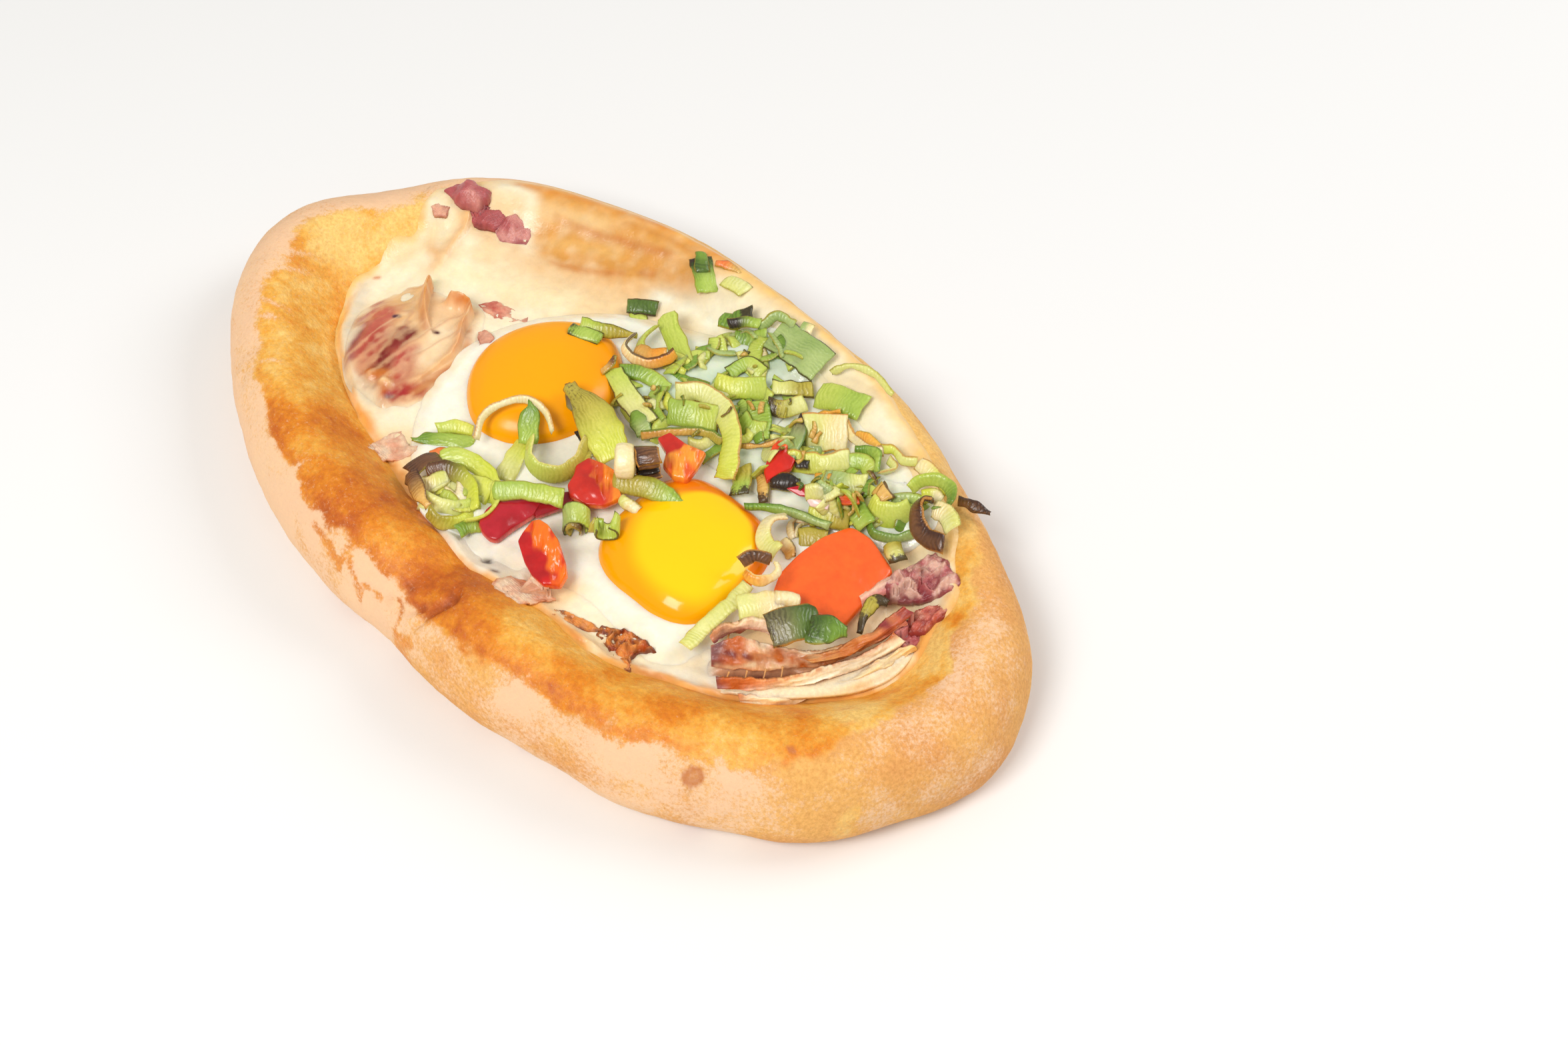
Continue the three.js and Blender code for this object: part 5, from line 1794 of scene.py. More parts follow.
CLUSTER_STRIPS = Strip.read("""
  -14 -33 21.5, -10 -30 22, -6 -28 21.5; 7; PALE; LIME; stand 20 20; cup 0.1
  -13 -36 21.8, -9.5 -34 22, -11.5 -30.5 22.3; 4.5; CREAM; stand 30 30
  -21.5 -30 22.8, -18.5 -26.5 23.3, -12.5 -25 22.7, -7 -26 21.7; 4.6; LIGHT; LIME; stand 30 30; lengthwise;
    rim 0.3
  -7.5 -27 21.5, -3.5 -28.5 22, -2 -33 21.5, -4 -37.5 21.5; 4.2; LIME; stand 50 70; rim 0.3
  -20 -35 23, -16.5 -31 24, -10 -30.5 23.5, -5 -34 21.8; 4.4; BURNT; LIME; stand 40 50; rim 0.3
  -15 -40.5 23, -10 -38.5 22.5, -6.5 -35 21.8, -6 -31.5 21.5; 4.6; PALE; LIGHT; stand 50 50; rim 0.3
  -10 -42.5 24.5, -6.5 -42 23.5, -5 -38 21.5, -5.5 -34 21.2; 3.4; OLIVE; LIME; stand 60 50
  -19 -38.5 22.5, -16.5 -36 22.7, -15 -32.5 22.7; 5; CREAM; PALE; stand 40 30
  -21.5 -30 23, -23 -33.5 23.8, -22.8 -37.5 23.4; 5; BURNT; BURNT; stand 20 10; lengthwise
  -23 -37 23, -17 -40 24.7, -11 -41.5 25; 4; BURNT; TAN; stand 30 40; tips 1 0.4; edge BURNT
  -2.5 -40.5 22.2, -3 -37.5 21, -2 -35 20.6; 3.4; DARK; GREEN; stand 40 20
""")
LEEK_SINGLES = Strip.groups("""
far_rim:
  -26 57.5 26.3, -22 55 25.4, -17.5 52 23.7; 6; FOREST; GREEN; stand 0 0; lengthwise; burn 0.5 0
  -26.5 58.5 26.9, -24.5 56.5 26.8, -22 54.5 26; 3.4; DARK; FOREST; stand -10 0
  -21.5 58.8 26.5, -18.5 60.4 26.3, -15.2 61 25.6; 2.4; EMBER; TAN; tips 0.6 0.3
far_tab:
  -16 56.5 24.8, -12.5 57 24.9, -9.5 57 24.8; 4.6; PALE; stand 0 0
upright:
  -27.5 37.5 19.6, -25.8 36 19, -23.5 34 18; 4.4; LIGHT; stand 0 0; lengthwise
  -30.5 36.5 20.6, -27.5 38.5 21, -24.5 41 20.6; 3.8; FOREST; stand 30 20; edge BURNT; rim 0.8
yolk_side:
  -28.5 20 26.3, -24 22.5 26, -17.5 28 25; 3.6; LIGHT; OLIVE; stand 30 60; tips 1 0.4; edge BURNT
  -29.5 17.5 26, -26 18.8 25.8, -22 20.5 25.4; 3.6; GREEN; stand 10 20; burn 0.6 0.3; edge BURNT; rim 0.8
tan_ring:
  -17.5 27.5 25, -17 23.5 24.5, -13.5 22.5 24, -9 24 24, -6.5 27.5 24.5, -6.5 30.5 25; 3; CREAM; AMBER;
    stand 60 60; edge BURNT; rim 1.2
  -15 25.5 23.6, -11 26 23.6, -8 29 23.8; 4; TAN; AMBER; stand 20 20; rim 0.2
far_square:
  25 47 23.4, 31 48.5 25.4, 37 49.5 26; 6.6; LIGHT; GREEN; stand 20 20; rim 0.3
leaf:
  -13.5 3 30, -5 2 29.3, 3 -0.5 27.5, 7.5 -2 25.5; 10; OLIVE; LIME; stand 10 10; tips 0.35 0.8; lengthwise;
    rim 0.5; burn 0.25 0; cup 0.12; edge TAN
  -14.5 3.5 30.2, -10 1 29.7, -4 -1.5 28.3; 3; BURNT; GREY; tips 0.4 0.3; lengthwise; stand 15 15
  -4.5 -2 26.5, 1 -4.5 26, 4.5 -9.5 25; 3; CHAR; OLIVE; stand 10 40; edge CHAR
dark_point:
  -33.5 -29 19.8, -29.5 -25 19.9, -22 -19.5 19.8; 4; DARK; GREEN; tips 0.2 1; lengthwise; stand 20 20
  -27.4 -28.6 19.2, -25.6 -26.4 19.6, -23.4 -24.4 19.2; 2.8; EMBER; tips 0.5 0.8
dark_back:
  -31 -23.5 20.8, -28.5 -20 21.2, -24.5 -17.5 20.7; 3.4; LIGHT; LIME; stand 50 30; rim 0.3
lime:
  -13.5 -11 21.2, -11.5 -17 20.8, -9 -22 19.8; 5; LIME; PALE; stand 20 0; lengthwise; rim 0.2
white_ring:
  -20.5 -20 23.4, -22.5 -16.5 25.6, -22 -12.5 27.4, -19.5 -8 28, -16.5 -5.5 28, -12.5 -5 27.2, -8 -7 25.4;
    2.2; CREAM; stand 70 70; edge TAN; rim 0.5
pointed:
  -16.5 -6 29.6, -14.5 -8.5 27.5, -11 -12.5 24.4; 5; DARK; GREEN; tips 0.15 0.9; lengthwise; stand 0 10;
    edge DARK
ring_near:
  -10 -12 24.6, -6 -16 24, -1.5 -16.5 23.6, 2 -13.5 23.6, 2.5 -9 24, -0.5 -3 24.6; 4.6; LIGHT; OLIVE;
    stand 70 70; rim 0.4; edge CREAM
strip_near:
  -4.5 -28 25.6, 2 -23 26.4, 8.5 -18.5 25.9; 4.6; GREEN; LIGHT; stand 40 30; rim 0.6
striped:
  13 -7.5 26.6, 19 -4 27.2, 24.5 -1.5 26.7, 29 0 25.8; 4.8; OLIVE; GREEN; stand 40 30; tips 0.9 0.3; rim 0.6
  17 -9 25.4, 19.5 -8.8 25.6, 22.5 -8.8 25.4; 2.6; PALE; CREAM; cup 0.3; stand 40 40
""")
LEEK_SINGLES |= {
    "tube_left": (
        Strip(hoop(13, -19, 22.4, 2.6, TOWARDS, (-50, 260)), 5, Tone.LIGHT, Tone.SAGE,
              axis=level(TOWARDS, -0.5), edge=Tone.BURNT, rim=0.6),
        Strip(hoop(14, -20.6, 22, 1.4, TOWARDS, (-50, 250)), 2.4, Tone.BURNT, Tone.OLIVE,
              axis=level(TOWARDS, -0.5)),
    ),
    "tube_right": (
        Strip(hoop(22, -17.5, 26, 2.2, TOWARDS, (-200, 60)), 4.4, Tone.LIGHT, axis=level(TOWARDS, -0.5),
              edge=Tone.BURNT, rim=0.8),
        Strip.one("18.5 -19.5 25, 19.5 -18.5 24.4, 21 -17.5 24.6; 4; OLIVE; GREEN; stand 60 60"),
    ),
    "curled": (
        Strip(hoop(12.5, -3.2, 29.2, 2.4, RIGHT, (-120, 220)), 5, Tone.CREAM, axis=level(RIGHT), rim=0.2,
              thick=3.2),
        Strip(hoop(16.6, 0, 29.4, 3.4, RIGHT + 15, (-150, 140)), 5.6, Tone.BURNT, axis=level(RIGHT, 0.1),
              edge=Tone.TAN, rim=1.0),
        Strip(hoop(16.6, 0, 29.2, 2.2, RIGHT + 15, (-120, 160)), 4.6, Tone.CHAR, Tone.BURNT,
              axis=level(RIGHT, 0.1), rim=0.2),
    ),
}
LEEK_SINGLES |= Strip.groups("""
shreds:
  47 18.5 21, 47 15 20.8, 50 12.5 20.4; 2.2; CREAM; stand 30 40; edge TAN
  49.5 18.5 20.9, 48.8 16 20.9, 50.5 13 20.8; 1.4; CREAM; stand 40 40
  47.5 16.5 21.3, 49.5 18 21.4, 51.5 18.5 21; 1.2; CREAM; AMBER; edge AMBER
  51 13.5 20.6, 53 15.5 20.9, 56 17.5 20.6; 5; OLIVE; stand 30 30
  49 10.5 21, 52 9.5 21.2, 54 8 20.8; 3; CREAM; TAN; stand 40 40; edge BURNT
long_strip:
  37.5 9.5 23.6, 42.5 13.5 23.7, 47.5 16.5 23.6, 55 19.5 22.8; 2.2; DARK; SAGE; stand 70 50; edge DARK;
    thick 1.3
white_curl:
  48.5 12.5 25.6, 46.5 9.5 25.4, 47.3 6 24.6, 50.5 4.2 24.2, 53.5 4 24.2; 4.8; CREAM; PALE; stand 40 50;
    edge TAN; rim 0.4
yolk_strip:
  54.5 -5.5 24.3, 55.3 -12 23.9, 55.3 -20 23.3, 56 -26.5 22.7; 3.6; PALE; stand -10 0; rim 0.1
cream_ribbed:
  57.5 -12 25, 60.5 -8.5 25.5, 64 -4.5 25.3; 6.5; PALE; CREAM; stand 30 30; rim 0.2; cup 0.15
  62 -5 26, 64 -3 26, 66 -1.5 25.7; 4; CREAM; cup 0.35; edge TAN
brown_ring:
  52 -5.5 28.2, 53.2 -2.8 29.3, 56 -0.5 28.6; 2.8; BURNT; stand 50 50; edge TAN; rim 0.6
  53.5 -6 27.2, 56.5 -6.2 27, 59 -4 27.3, 59 -1.2 27.6, 57 0 27.8; 2.4; AMBER; CREAM; stand 60 60; edge CREAM
grey_left:
  67.5 -13 26.8, 70.5 -8 28, 73.5 -4 27.3; 8; GREY; FOREST; stand 20 15; edge TAN; rim 0.7; burn 0.3 0.2
grey_right:
  74 -7 28.8, 77.5 -5 29.4, 80.5 -2 28.6; 6; FOREST; DARK; stand 20 30; tips 0.9 0.4; edge GREY; rim 0.6;
    burn 0.3 0.1
  75 -9 28, 77 -7.5 28.2, 78.5 -5.5 28.2; 3; FOREST; SAGE; stand 0 0
yellow_bent:
  79.5 3.5 21.5, 77 8 22.6, 76.8 11.5 23.2, 79 12.8 22.8; 3.2; OLIVE; stand 20 30; tips 0.4 0.5; edge BURNT;
    burn 0.8 0.9; lengthwise
bright_ring:
  63 37 27, 63.5 40 28, 67 42.5 29, 71 42 29, 72.5 39 28, 70.5 36.5 27; 3.6; LIGHT; DARK; stand 65 65;
    rim 0.3
  66 38 26.5, 67.5 40 27, 70 39.5 27; 3.4; LIME; CREAM; stand 50 50
burnt_curl:
  70 37 30, 68.2 36 29.6, 68.2 33.8 28.2, 71 31 27, 75 30 27, 79 30.5 28.6; 4.6; BURNT; stand 60 40;
    edge TAN; rim 0.7; thick 1.2
  70.5 36.5 28, 74 36.8 28.6, 78 34.5 28.6; 4.6; CREAM; PALE; stand 40 40
burnt_tip:
  71.5 44 25.2, 75 45 26, 79 46.5 25.4; 2.8; BURNT; stand 40 30; tips 0.8 0.25; burn 0 0.5; edge BURNT
""")


@dataclass(frozen=True)
class Scatter:
    """Small slices strewn at random low in a heap, to be mostly covered."""

    outline: Path
    count: int
    seed: int
    tones: tuple[Tone, ...] = (Tone.GREEN, Tone.LIGHT, Tone.LIGHT, Tone.LIME, Tone.PALE, Tone.SAGE, Tone.DARK)
    inset: float = 2.5
    clear: tuple[tuple[float, float, float], ...] = ()
    lengths: tuple[float, float] = (4.5, 8.5)
    widths: tuple[float, float] = (2.4, 4.2)

    def strips(self, heights: HeightMap) -> list[Strip]:
        """Lays the slices on what is there.

        Args:
            heights: What is there already.

        Returns:
            The slices.
        """
        dice = np.random.default_rng(self.seed)
        edge = smooth_curve(self.outline, 80, closed=True)
        made: list[Strip] = []
        while len(made) < self.count:
            x, y = dice.uniform(edge.min(axis=0)[:2], edge.max(axis=0)[:2])
            length, width = dice.uniform(*self.lengths), dice.uniform(*self.widths)
            turn, stand = dice.uniform(0, math.tau), dice.uniform(10, 60)
            bend = length * dice.uniform(-0.3, 0.3)
            if distance_inside(np.array(x), np.array(y), edge) < self.inset:
                continue
            if any(math.hypot(x - cx, y - cy) < reach for cx, cy, reach in self.clear):
                continue
            dx, dy = 0.5 * length * math.cos(turn), 0.5 * length * math.sin(turn)
            sag = bend / length * 2
            flat = ((x - dx, y - dy), (x - sag * dy, y + sag * dx), (x + dx, y + dy))
            path = tuple((px, py, float(heights.at(px, py)) + 0.5) for px, py in flat)
            tone = self.tones[int(dice.integers(len(self.tones)))]
            made.append(Strip(path, width, tone, stand=(stand, stand), cell=min(0.5, width / 4)))
        return made


@dataclass
class Leek:
    """All slices of leek: the heap, the near cluster and those that lie by themselves."""

    heights: HeightMap
    heap_scatter: Scatter = Scatter(
        HEAP_OUTLINE, 90, 5, clear=((16, 46, 4), (34, 49, 5), (56, 40, 5), (-6, 44, 4), (2, 35, 3)))
    cluster_scatter: Scatter = Scatter(CLUSTER_OUTLINE, 9, 6, tones=(Tone.LIME, Tone.PALE, Tone.LIGHT))
    crumbs: Scatter = Scatter(
        HEAP_OUTLINE, 34, 8, tones=(Tone.CHAR, Tone.BURNT, Tone.TAN, Tone.FOREST, Tone.OLIVE), inset=1.5,
        lengths=(1.2, 3.4), widths=(0.6, 1.3))

    def __post_init__(self) -> None:
        """Makes the finish that all slices share."""
        self.finish = LeekFinish().build()

    def heap(self, strips: tuple[Strip, ...] | list[Strip], first: int) -> Shell:
        """Many slices as one piece."""
        return Shell.joined([strip.build(first + number) for number, strip in enumerate(strips)])

    def single(self, name: str, strips: tuple[Strip, ...], number: int) -> None:
        """Places one slice at its node's height.

        Args:
            name: Its node's name without leek_.
            strips: The slices that make it up.
            number: The first one's number.
        """
        shell = self.heap(strips, number)
        shell.vertices[:, 2] += node_top("leek_" + name) - shell.vertices[:, 2].max()
        slot = {Tone.BURNT: "leek_burnt", Tone.CREAM: "leek_pale", Tone.PALE: "leek_pale"}
        shell.place("slice_" + name, self.finish, slot.get(strips[0].tone, "leek_green"), "leek_" + name)

    def dress(self) -> None:
        """Places every slice."""
        groups = (
            ("heap", self.heap_scatter, HEAP_STRIPS + HEAP_TUBES, 0),
            ("cluster", self.cluster_scatter, CLUSTER_STRIPS, 200),
        )
        for name, scatter, strips, first in groups:
            shell = self.heap([*scatter.strips(self.heights), *strips], first)
            self.heights.cover(shell.vertices)
            if name == "heap":
                shell = Shell.joined([shell, self.heap(self.crumbs.strips(self.heights), 600)])
            over = shell.vertices[:, 2].max() - node_top("leek_" + name)
            LOG.info("%s reaches %.1f mm over its node", name, over)
            shell.place(name + "_slices", self.finish, "leek_green", "leek_" + name)
        for number, (name, strips) in enumerate(LEEK_SINGLES.items()):
            self.single(name, strips, 300 + 5 * number)


# ---- egg


@dataclass
class Egg:
    """Egg white over the cheese, two yolks, and the cores of egg under the heap and the cluster."""

    heights: HeightMap
    yolks: tuple[Yolk, ...] = (
        Yolk("yolk_far", -25, 5, 18, 20.5, 8, 0.02, 26,
             YolkFinish("yolk_set", linear(255, 168, 2), linear(252, 156, 3), linear(238, 128, 6), 0.25)),
        Yolk("yolk_near", 35.2, -6.4, 19.5, 18.5, -42, 0.055, 25.5,
             YolkFinish("yolk_wet", linear(255, 206, 16), linear(252, 172, 6), linear(238, 124, 12), 0.12)),
    )
    disc: tuple[float, float, float, float] = (38.2, -5.2, 12.8, 14.8)
    disc_turn: float = -50.0
    disc_side: float = 70.0
    white_tint: Tint = (244, 241, 224)
    leeky_tint: Tint = (196, 214, 186)

    def film(self, yolk: Yolk, points: Array) -> Array:
        """Share of the orange film over each point of a yolk, and on the far yolk painted shade over one
        side.

        Args:
            yolk: The yolk.
            points: Its points.

        Returns:
            A share for each point.
        """
        x, y, z = points.T
        soft = Grain(43).at(points, 12, 2)
        if yolk.node == "yolk_far":
            # On the far yolk this is painted shade over its right side; it also deepens towards the base all
            # round.
            side = ease(((x - yolk.x) * 0.75 + (y - yolk.y) * 0.5 + 2 * soft) / 30 + 0.05)
            return np.clip(0.8 * side + 0.5 * ease((20.5 - z) / 3), 0, 1)
        cx, cy, across, along = self.disc
        run, off = turned(x - cx, y - cy, self.disc_turn)
        reach = np.hypot(run / along, off / across)
        near_left = ease(0.5 - turned(x - cx, y - cy, self.disc_side)[0] / 14)
        film = ease((reach - 0.9 + 0.05 * soft) / mix(0.12, 0.4, near_left))
        return film * mix(1.0, 0.55, near_left)

    def dress(self) -> None:
        """Places egg white, yolks and cores."""
        white = PaintedFinish("egg_white", 0.16, grain=3.0, depth=0.2, clear=0.45, shade=0.97).build()
        layers = (
            ("set_white", Layer(LOAF.white_outline, LOAF.white_thickness, False, sides=480, rings=110),
             "egg_white"),
            ("heap_core", Layer(HEAP_OUTLINE, 2.0, True, seed=33, rough=0.5), "leek_heap"),
            ("cluster_core", Layer(CLUSTER_OUTLINE, 2.4, True, sides=160, rings=30, seed=34, rough=0.5),
             "leek_cluster"),
        )
        for name, layer, node in layers:
            shell, flat, within = layer.build()
            x, y = flat[:, 0], flat[:, 1]
            heap = distance_inside(x, y, smooth_curve(HEAP_OUTLINE, 60, closed=True))
            soft = 0.5 * Grain(46).at(shell.vertices, 6, 3)
            creamy = np.clip(1.0 - within / 6 + soft, 0, 1) if node == "egg_white" else 0 * x
            green = np.clip(0.15 + 0.06 * heap + soft, 0, 0.8)
            tint = mix(shade(*self.white_tint), shade(*self.leeky_tint), green[:, None])
            shell.paint["tint"] = mix(tint, melted(shell.vertices), creamy[:, None])
            shell.place(name, white, "egg_white", node)
            if node != "egg_white":
                self.heights.cover(shell.vertices)
        for yolk in self.yolks:
            shell = yolk.build()
            shell.paint["film"] = self.film(yolk, shell.vertices)
            shell.place(yolk.node.replace("yolk", "egg_yolk"), yolk.finish.build(), "yolk", yolk.node)
            self.heights.cover(shell.vertices)


# ---- pepper


def cut_edge(corners: tuple[Point, ...], count: int, soften: int) -> Array:
    """A closed outline through corners, straight between them and softened at them, as (count, 3).

    Args:
        corners: The corners in order.
        count: How many points to return.
        soften: How often the corners are softened.

    Returns:
        The outline.
    """
    p = np.asarray(corners, float)
    ring = np.vstack([p, p[:1]])
    steps = np.concatenate([[0], np.cumsum(np.linalg.norm(np.diff(ring, axis=0), axis=1))])
    place = np.arange(count) * steps[-1] / count
    edge = np.column_stack([np.interp(place, steps, ring[:, k]) for k in range(3)])
    for _ in range(soften):
        edge = (np.roll(edge, 1, axis=0) + 2 * edge + np.roll(edge, -1, axis=0)) / 4
    return edge


def plane_normal(points: Array) -> Array:
    """The upward normal of the plane that fits points best."""
    normal = np.linalg.svd(points - points.mean(axis=0))[2][2]
    return normal * math.copysign(1.0, normal[2])


@dataclass(frozen=True)
class PepperCut(Written):
    """One cut piece of bell pepper, a slab inside an outline of (x, y, z) corners.

    Flesh with strands shows on the side of the piece that strands points at, in degrees of the plan, over the
    share of it that cover says. Without it the whole face is skin. The strands run along run.
    """

    outline: tuple[Point, ...]
    thick: float
    skin: Tint
    flesh: Tint
    dome: float = 0.5
    cover: float = 0.0
    strands: float = 0.0
    run: float = TOWARDS
    shade: Tint = (150, 20, 24)
    rough: float = 0.12
    sides: int = 200
    rings: int = 34
    soften: int = 10

    def _steps(self) -> tuple[Array, Array]:
        """Shares out to the outline and depths under the top, from the top's middle to the bottom's.

        Returns:
            The shares and the depths, a row of each for each ring.
        """
        turn = np.linspace(0, math.pi, 16)[1:-1]
        inner = np.linspace(0.03, 0.94, self.rings)
        share = np.concatenate([inner, 0.94 + 0.06 * np.sin(turn), inner[::-1]])
        depth = np.concatenate([0 * inner, 0.5 * (1 - np.cos(turn)), 1 + 0 * inner])
        return share[:, None], depth[:, None]

    def build(self, number: int) -> Shell:
        """Makes the piece in its place.

        Args:
            number: Tells pieces apart in their grain.

        Returns:
            The mesh.
        """
        grain = Grain(300 + number)
        edge = cut_edge(self.outline, self.sides, self.soften)
        middle = edge.mean(axis=0)
        up = plane_normal(edge)
        share, depth = self._steps()
        rings = middle + (edge - middle)[None] * share[..., None]
        top = 1 - depth + 0 * rings[..., 0]
        along, across = turned(rings[..., 0], rings[..., 1], self.run)
        lines = grain.at(stacked(across, along * 0.22, 0 * along), 1.3, 3)
        offset = rings[..., :2] - middle[:2]
        reach = np.linalg.norm(edge[:, :2] - middle[:2], axis=1).max()
        lean = turned(offset[..., 0], offset[..., 1], self.strands)[0] / reach
        over = lean + 2 * self.cover - 1 + 0.25 * grain.at(rings, 3, 2)
        fleshy = ease(over / 0.25 + 0.5) * (self.cover > 0)
        lift = self.dome * (1 - share**2) * top - self.thick * depth
        lift = lift + top * (self.rough * grain.at(rings, 4, 3) + 0.55 * fleshy * lines) * (1 - share**8)
        body = rings + up * lift[..., None]
        shell = Shell.skin(body[0].mean(axis=0), body, body[-1].mean(axis=0))
        skin, flesh, dark = (shade(*c) for c in (self.skin, self.flesh, self.shade))
        tint = mix(skin, dark, np.clip(0.15 + 0.45 * grain.at(rings + 5, 5, 3), 0, 0.6)[..., None])
        strand = mix(flesh, skin, np.clip(0.25 - 0.9 * lines, 0, 0.75)[..., None])
        tint = mix(tint, strand, np.maximum(fleshy, 0.7 * ease(depth * 3) * ease((1 - depth) * 3))[..., None])
        shell.paint["tint"] = np.vstack([tint[0, :1], tint.reshape(-1, 3), tint[-1, :1]])
        return shell


PEPPER_CUTS = PepperCut.groups("""
strip:
  -1.5 -35.5 21.6, -3 -32 22, -3 -29 22.3, 1 -23 22.6, 4 -20 22.4, 5.5 -25 21.4, 5 -30.5 21.2, 5 -35.5 20.9,
    3.5 -36.5 20.9, 1 -36.5 21.2; 2.0; 184 34 46; 232 96 70; dome 1.0; rough 0.25
  1.5 -23.5 21.8, 4.5 -18 22.2, 7 -14.5 22.2, 9 -16 21.6, 8 -20 21.2, 6 -25 21; 1.6; 158 24 34; 214 70 60;
    dome 0.6; rough 0.2
chunk_near:
  8.5 -28 24.3, 10 -27 25.3, 13 -27 26, 17.5 -28 25.4, 22.5 -30.5 24, 24.5 -32 22.7, 25.5 -35 22.2,
    23 -37.5 22.4, 19 -37.5 22.6, 15.5 -36.5 23, 10.5 -34 24, 9.5 -31.5 24.3; 2.4; 204 30 28; 250 118 26;
    cover 0.52; strands 70; rough 0.4; soften 4
chunk_middle:
  3 -10 24.3, 3.5 -6.5 24.6, 7.5 -5.5 25.2, 11.5 -5 25.2, 15 -7.5 24.2, 17 -8.5 23.5, 15.5 -13 23,
    12.5 -15.5 23, 8 -16.5 23, 5.5 -15 23.5, 4.5 -12 24; 2.2; 206 48 34; 248 140 44; cover 0.45; strands 60;
    rough 0.4; soften 4
chunk_far:
  11 8 25.8, 12 11 26.2, 17.5 11 26.4, 22 13 25.6, 23.5 9 25, 24.5 4.5 24.5, 21.5 3 24.5, 17.5 3.5 25,
    15.5 6.5 25.5; 2.2; 222 52 34; 252 156 52; cover 0.55; strands -20; rough 0.4; soften 4
heap:
  32.5 22 24.2, 30.5 26 25, 30.5 29.5 25.5, 32.5 29.5 25.5, 34.5 26.5 25, 37 27 24.5, 38 24.5 24, 37 21 24,
    36.5 18 23.6, 34 19.5 24; 1.6; 222 44 26; 244 96 30; cover 0.3; strands 150; soften 6
crescent:
  42.5 18 26.2, 45 21 27.1, 48.5 24 27.6, 52.5 26 27.3, 56 27.5 26.6, 57.5 26.5 26.2, 55 24 25.8,
    52 22.2 25.7, 49 20.8 25.7, 46 18.8 25.8; 1.4; 200 20 44; 240 106 36; cover 0.62; strands 88; run 43.5;
    soften 5
  47.5 19.2 25.9, 49 21 26.2, 52.3 22.3 26, 53 20.8 25.2, 49.5 18.8 25.1; 0.9; 250 214 206; 252 232 222;
    shade 230 150 140; soften 5
big:
  58.5 -2.5 21.4, 56 2.5 22.3, 55.5 9 22.9, 56 16 23.2, 58.5 23 23.1, 64 23.7 22.9, 73.5 21 21.8,
    74.6 9 20.6, 75 3 19.6, 72 2 19.9, 62.5 -1.5 20.5; 2.0; 248 104 38; 250 140 70; dome 1.3; rough 0.18;
    shade 236 84 34; soften 14
""")


@dataclass
class Pepper:
    """The cut pieces of bell pepper."""

    heights: HeightMap

    def dress(self) -> None:
        """Places every piece where its node lies."""
        finish = PaintedFinish("pepper_skin", 0.2, grain=1.6, depth=0.05, shade=0.92).build()
        for number, (name, cuts) in enumerate(PEPPER_CUTS.items()):
            shell = Shell.joined([cut.build(7 * number + k) for k, cut in enumerate(cuts)])
            shell.vertices[:, 2] += node_top("pepper_" + name) - shell.vertices[:, 2].max()
            self.heights.cover(shell.vertices)
            slot = "pepper_red" if name in ("strip", "heap", "crescent") else "pepper_orange"
            shell.place("cut_" + name, finish, slot, "pepper_" + name)


# ---- bacon and ham


class Meat(Enum):
    """Colours of cured meat: lean, fat and crisp edge."""

    HAM = ((186, 98, 98), (232, 188, 168), (132, 48, 56))
    MAUVE = ((186, 92, 92), (218, 150, 138), (142, 56, 62))
    ROSE = ((200, 96, 78), (234, 176, 146), (146, 50, 42))
    PALE = ((226, 150, 104), (242, 204, 158), (196, 114, 62))
    FILM = ((224, 152, 122), (242, 208, 174), (196, 112, 62))
    CRISP = ((178, 74, 22), (232, 148, 72), (108, 44, 18))


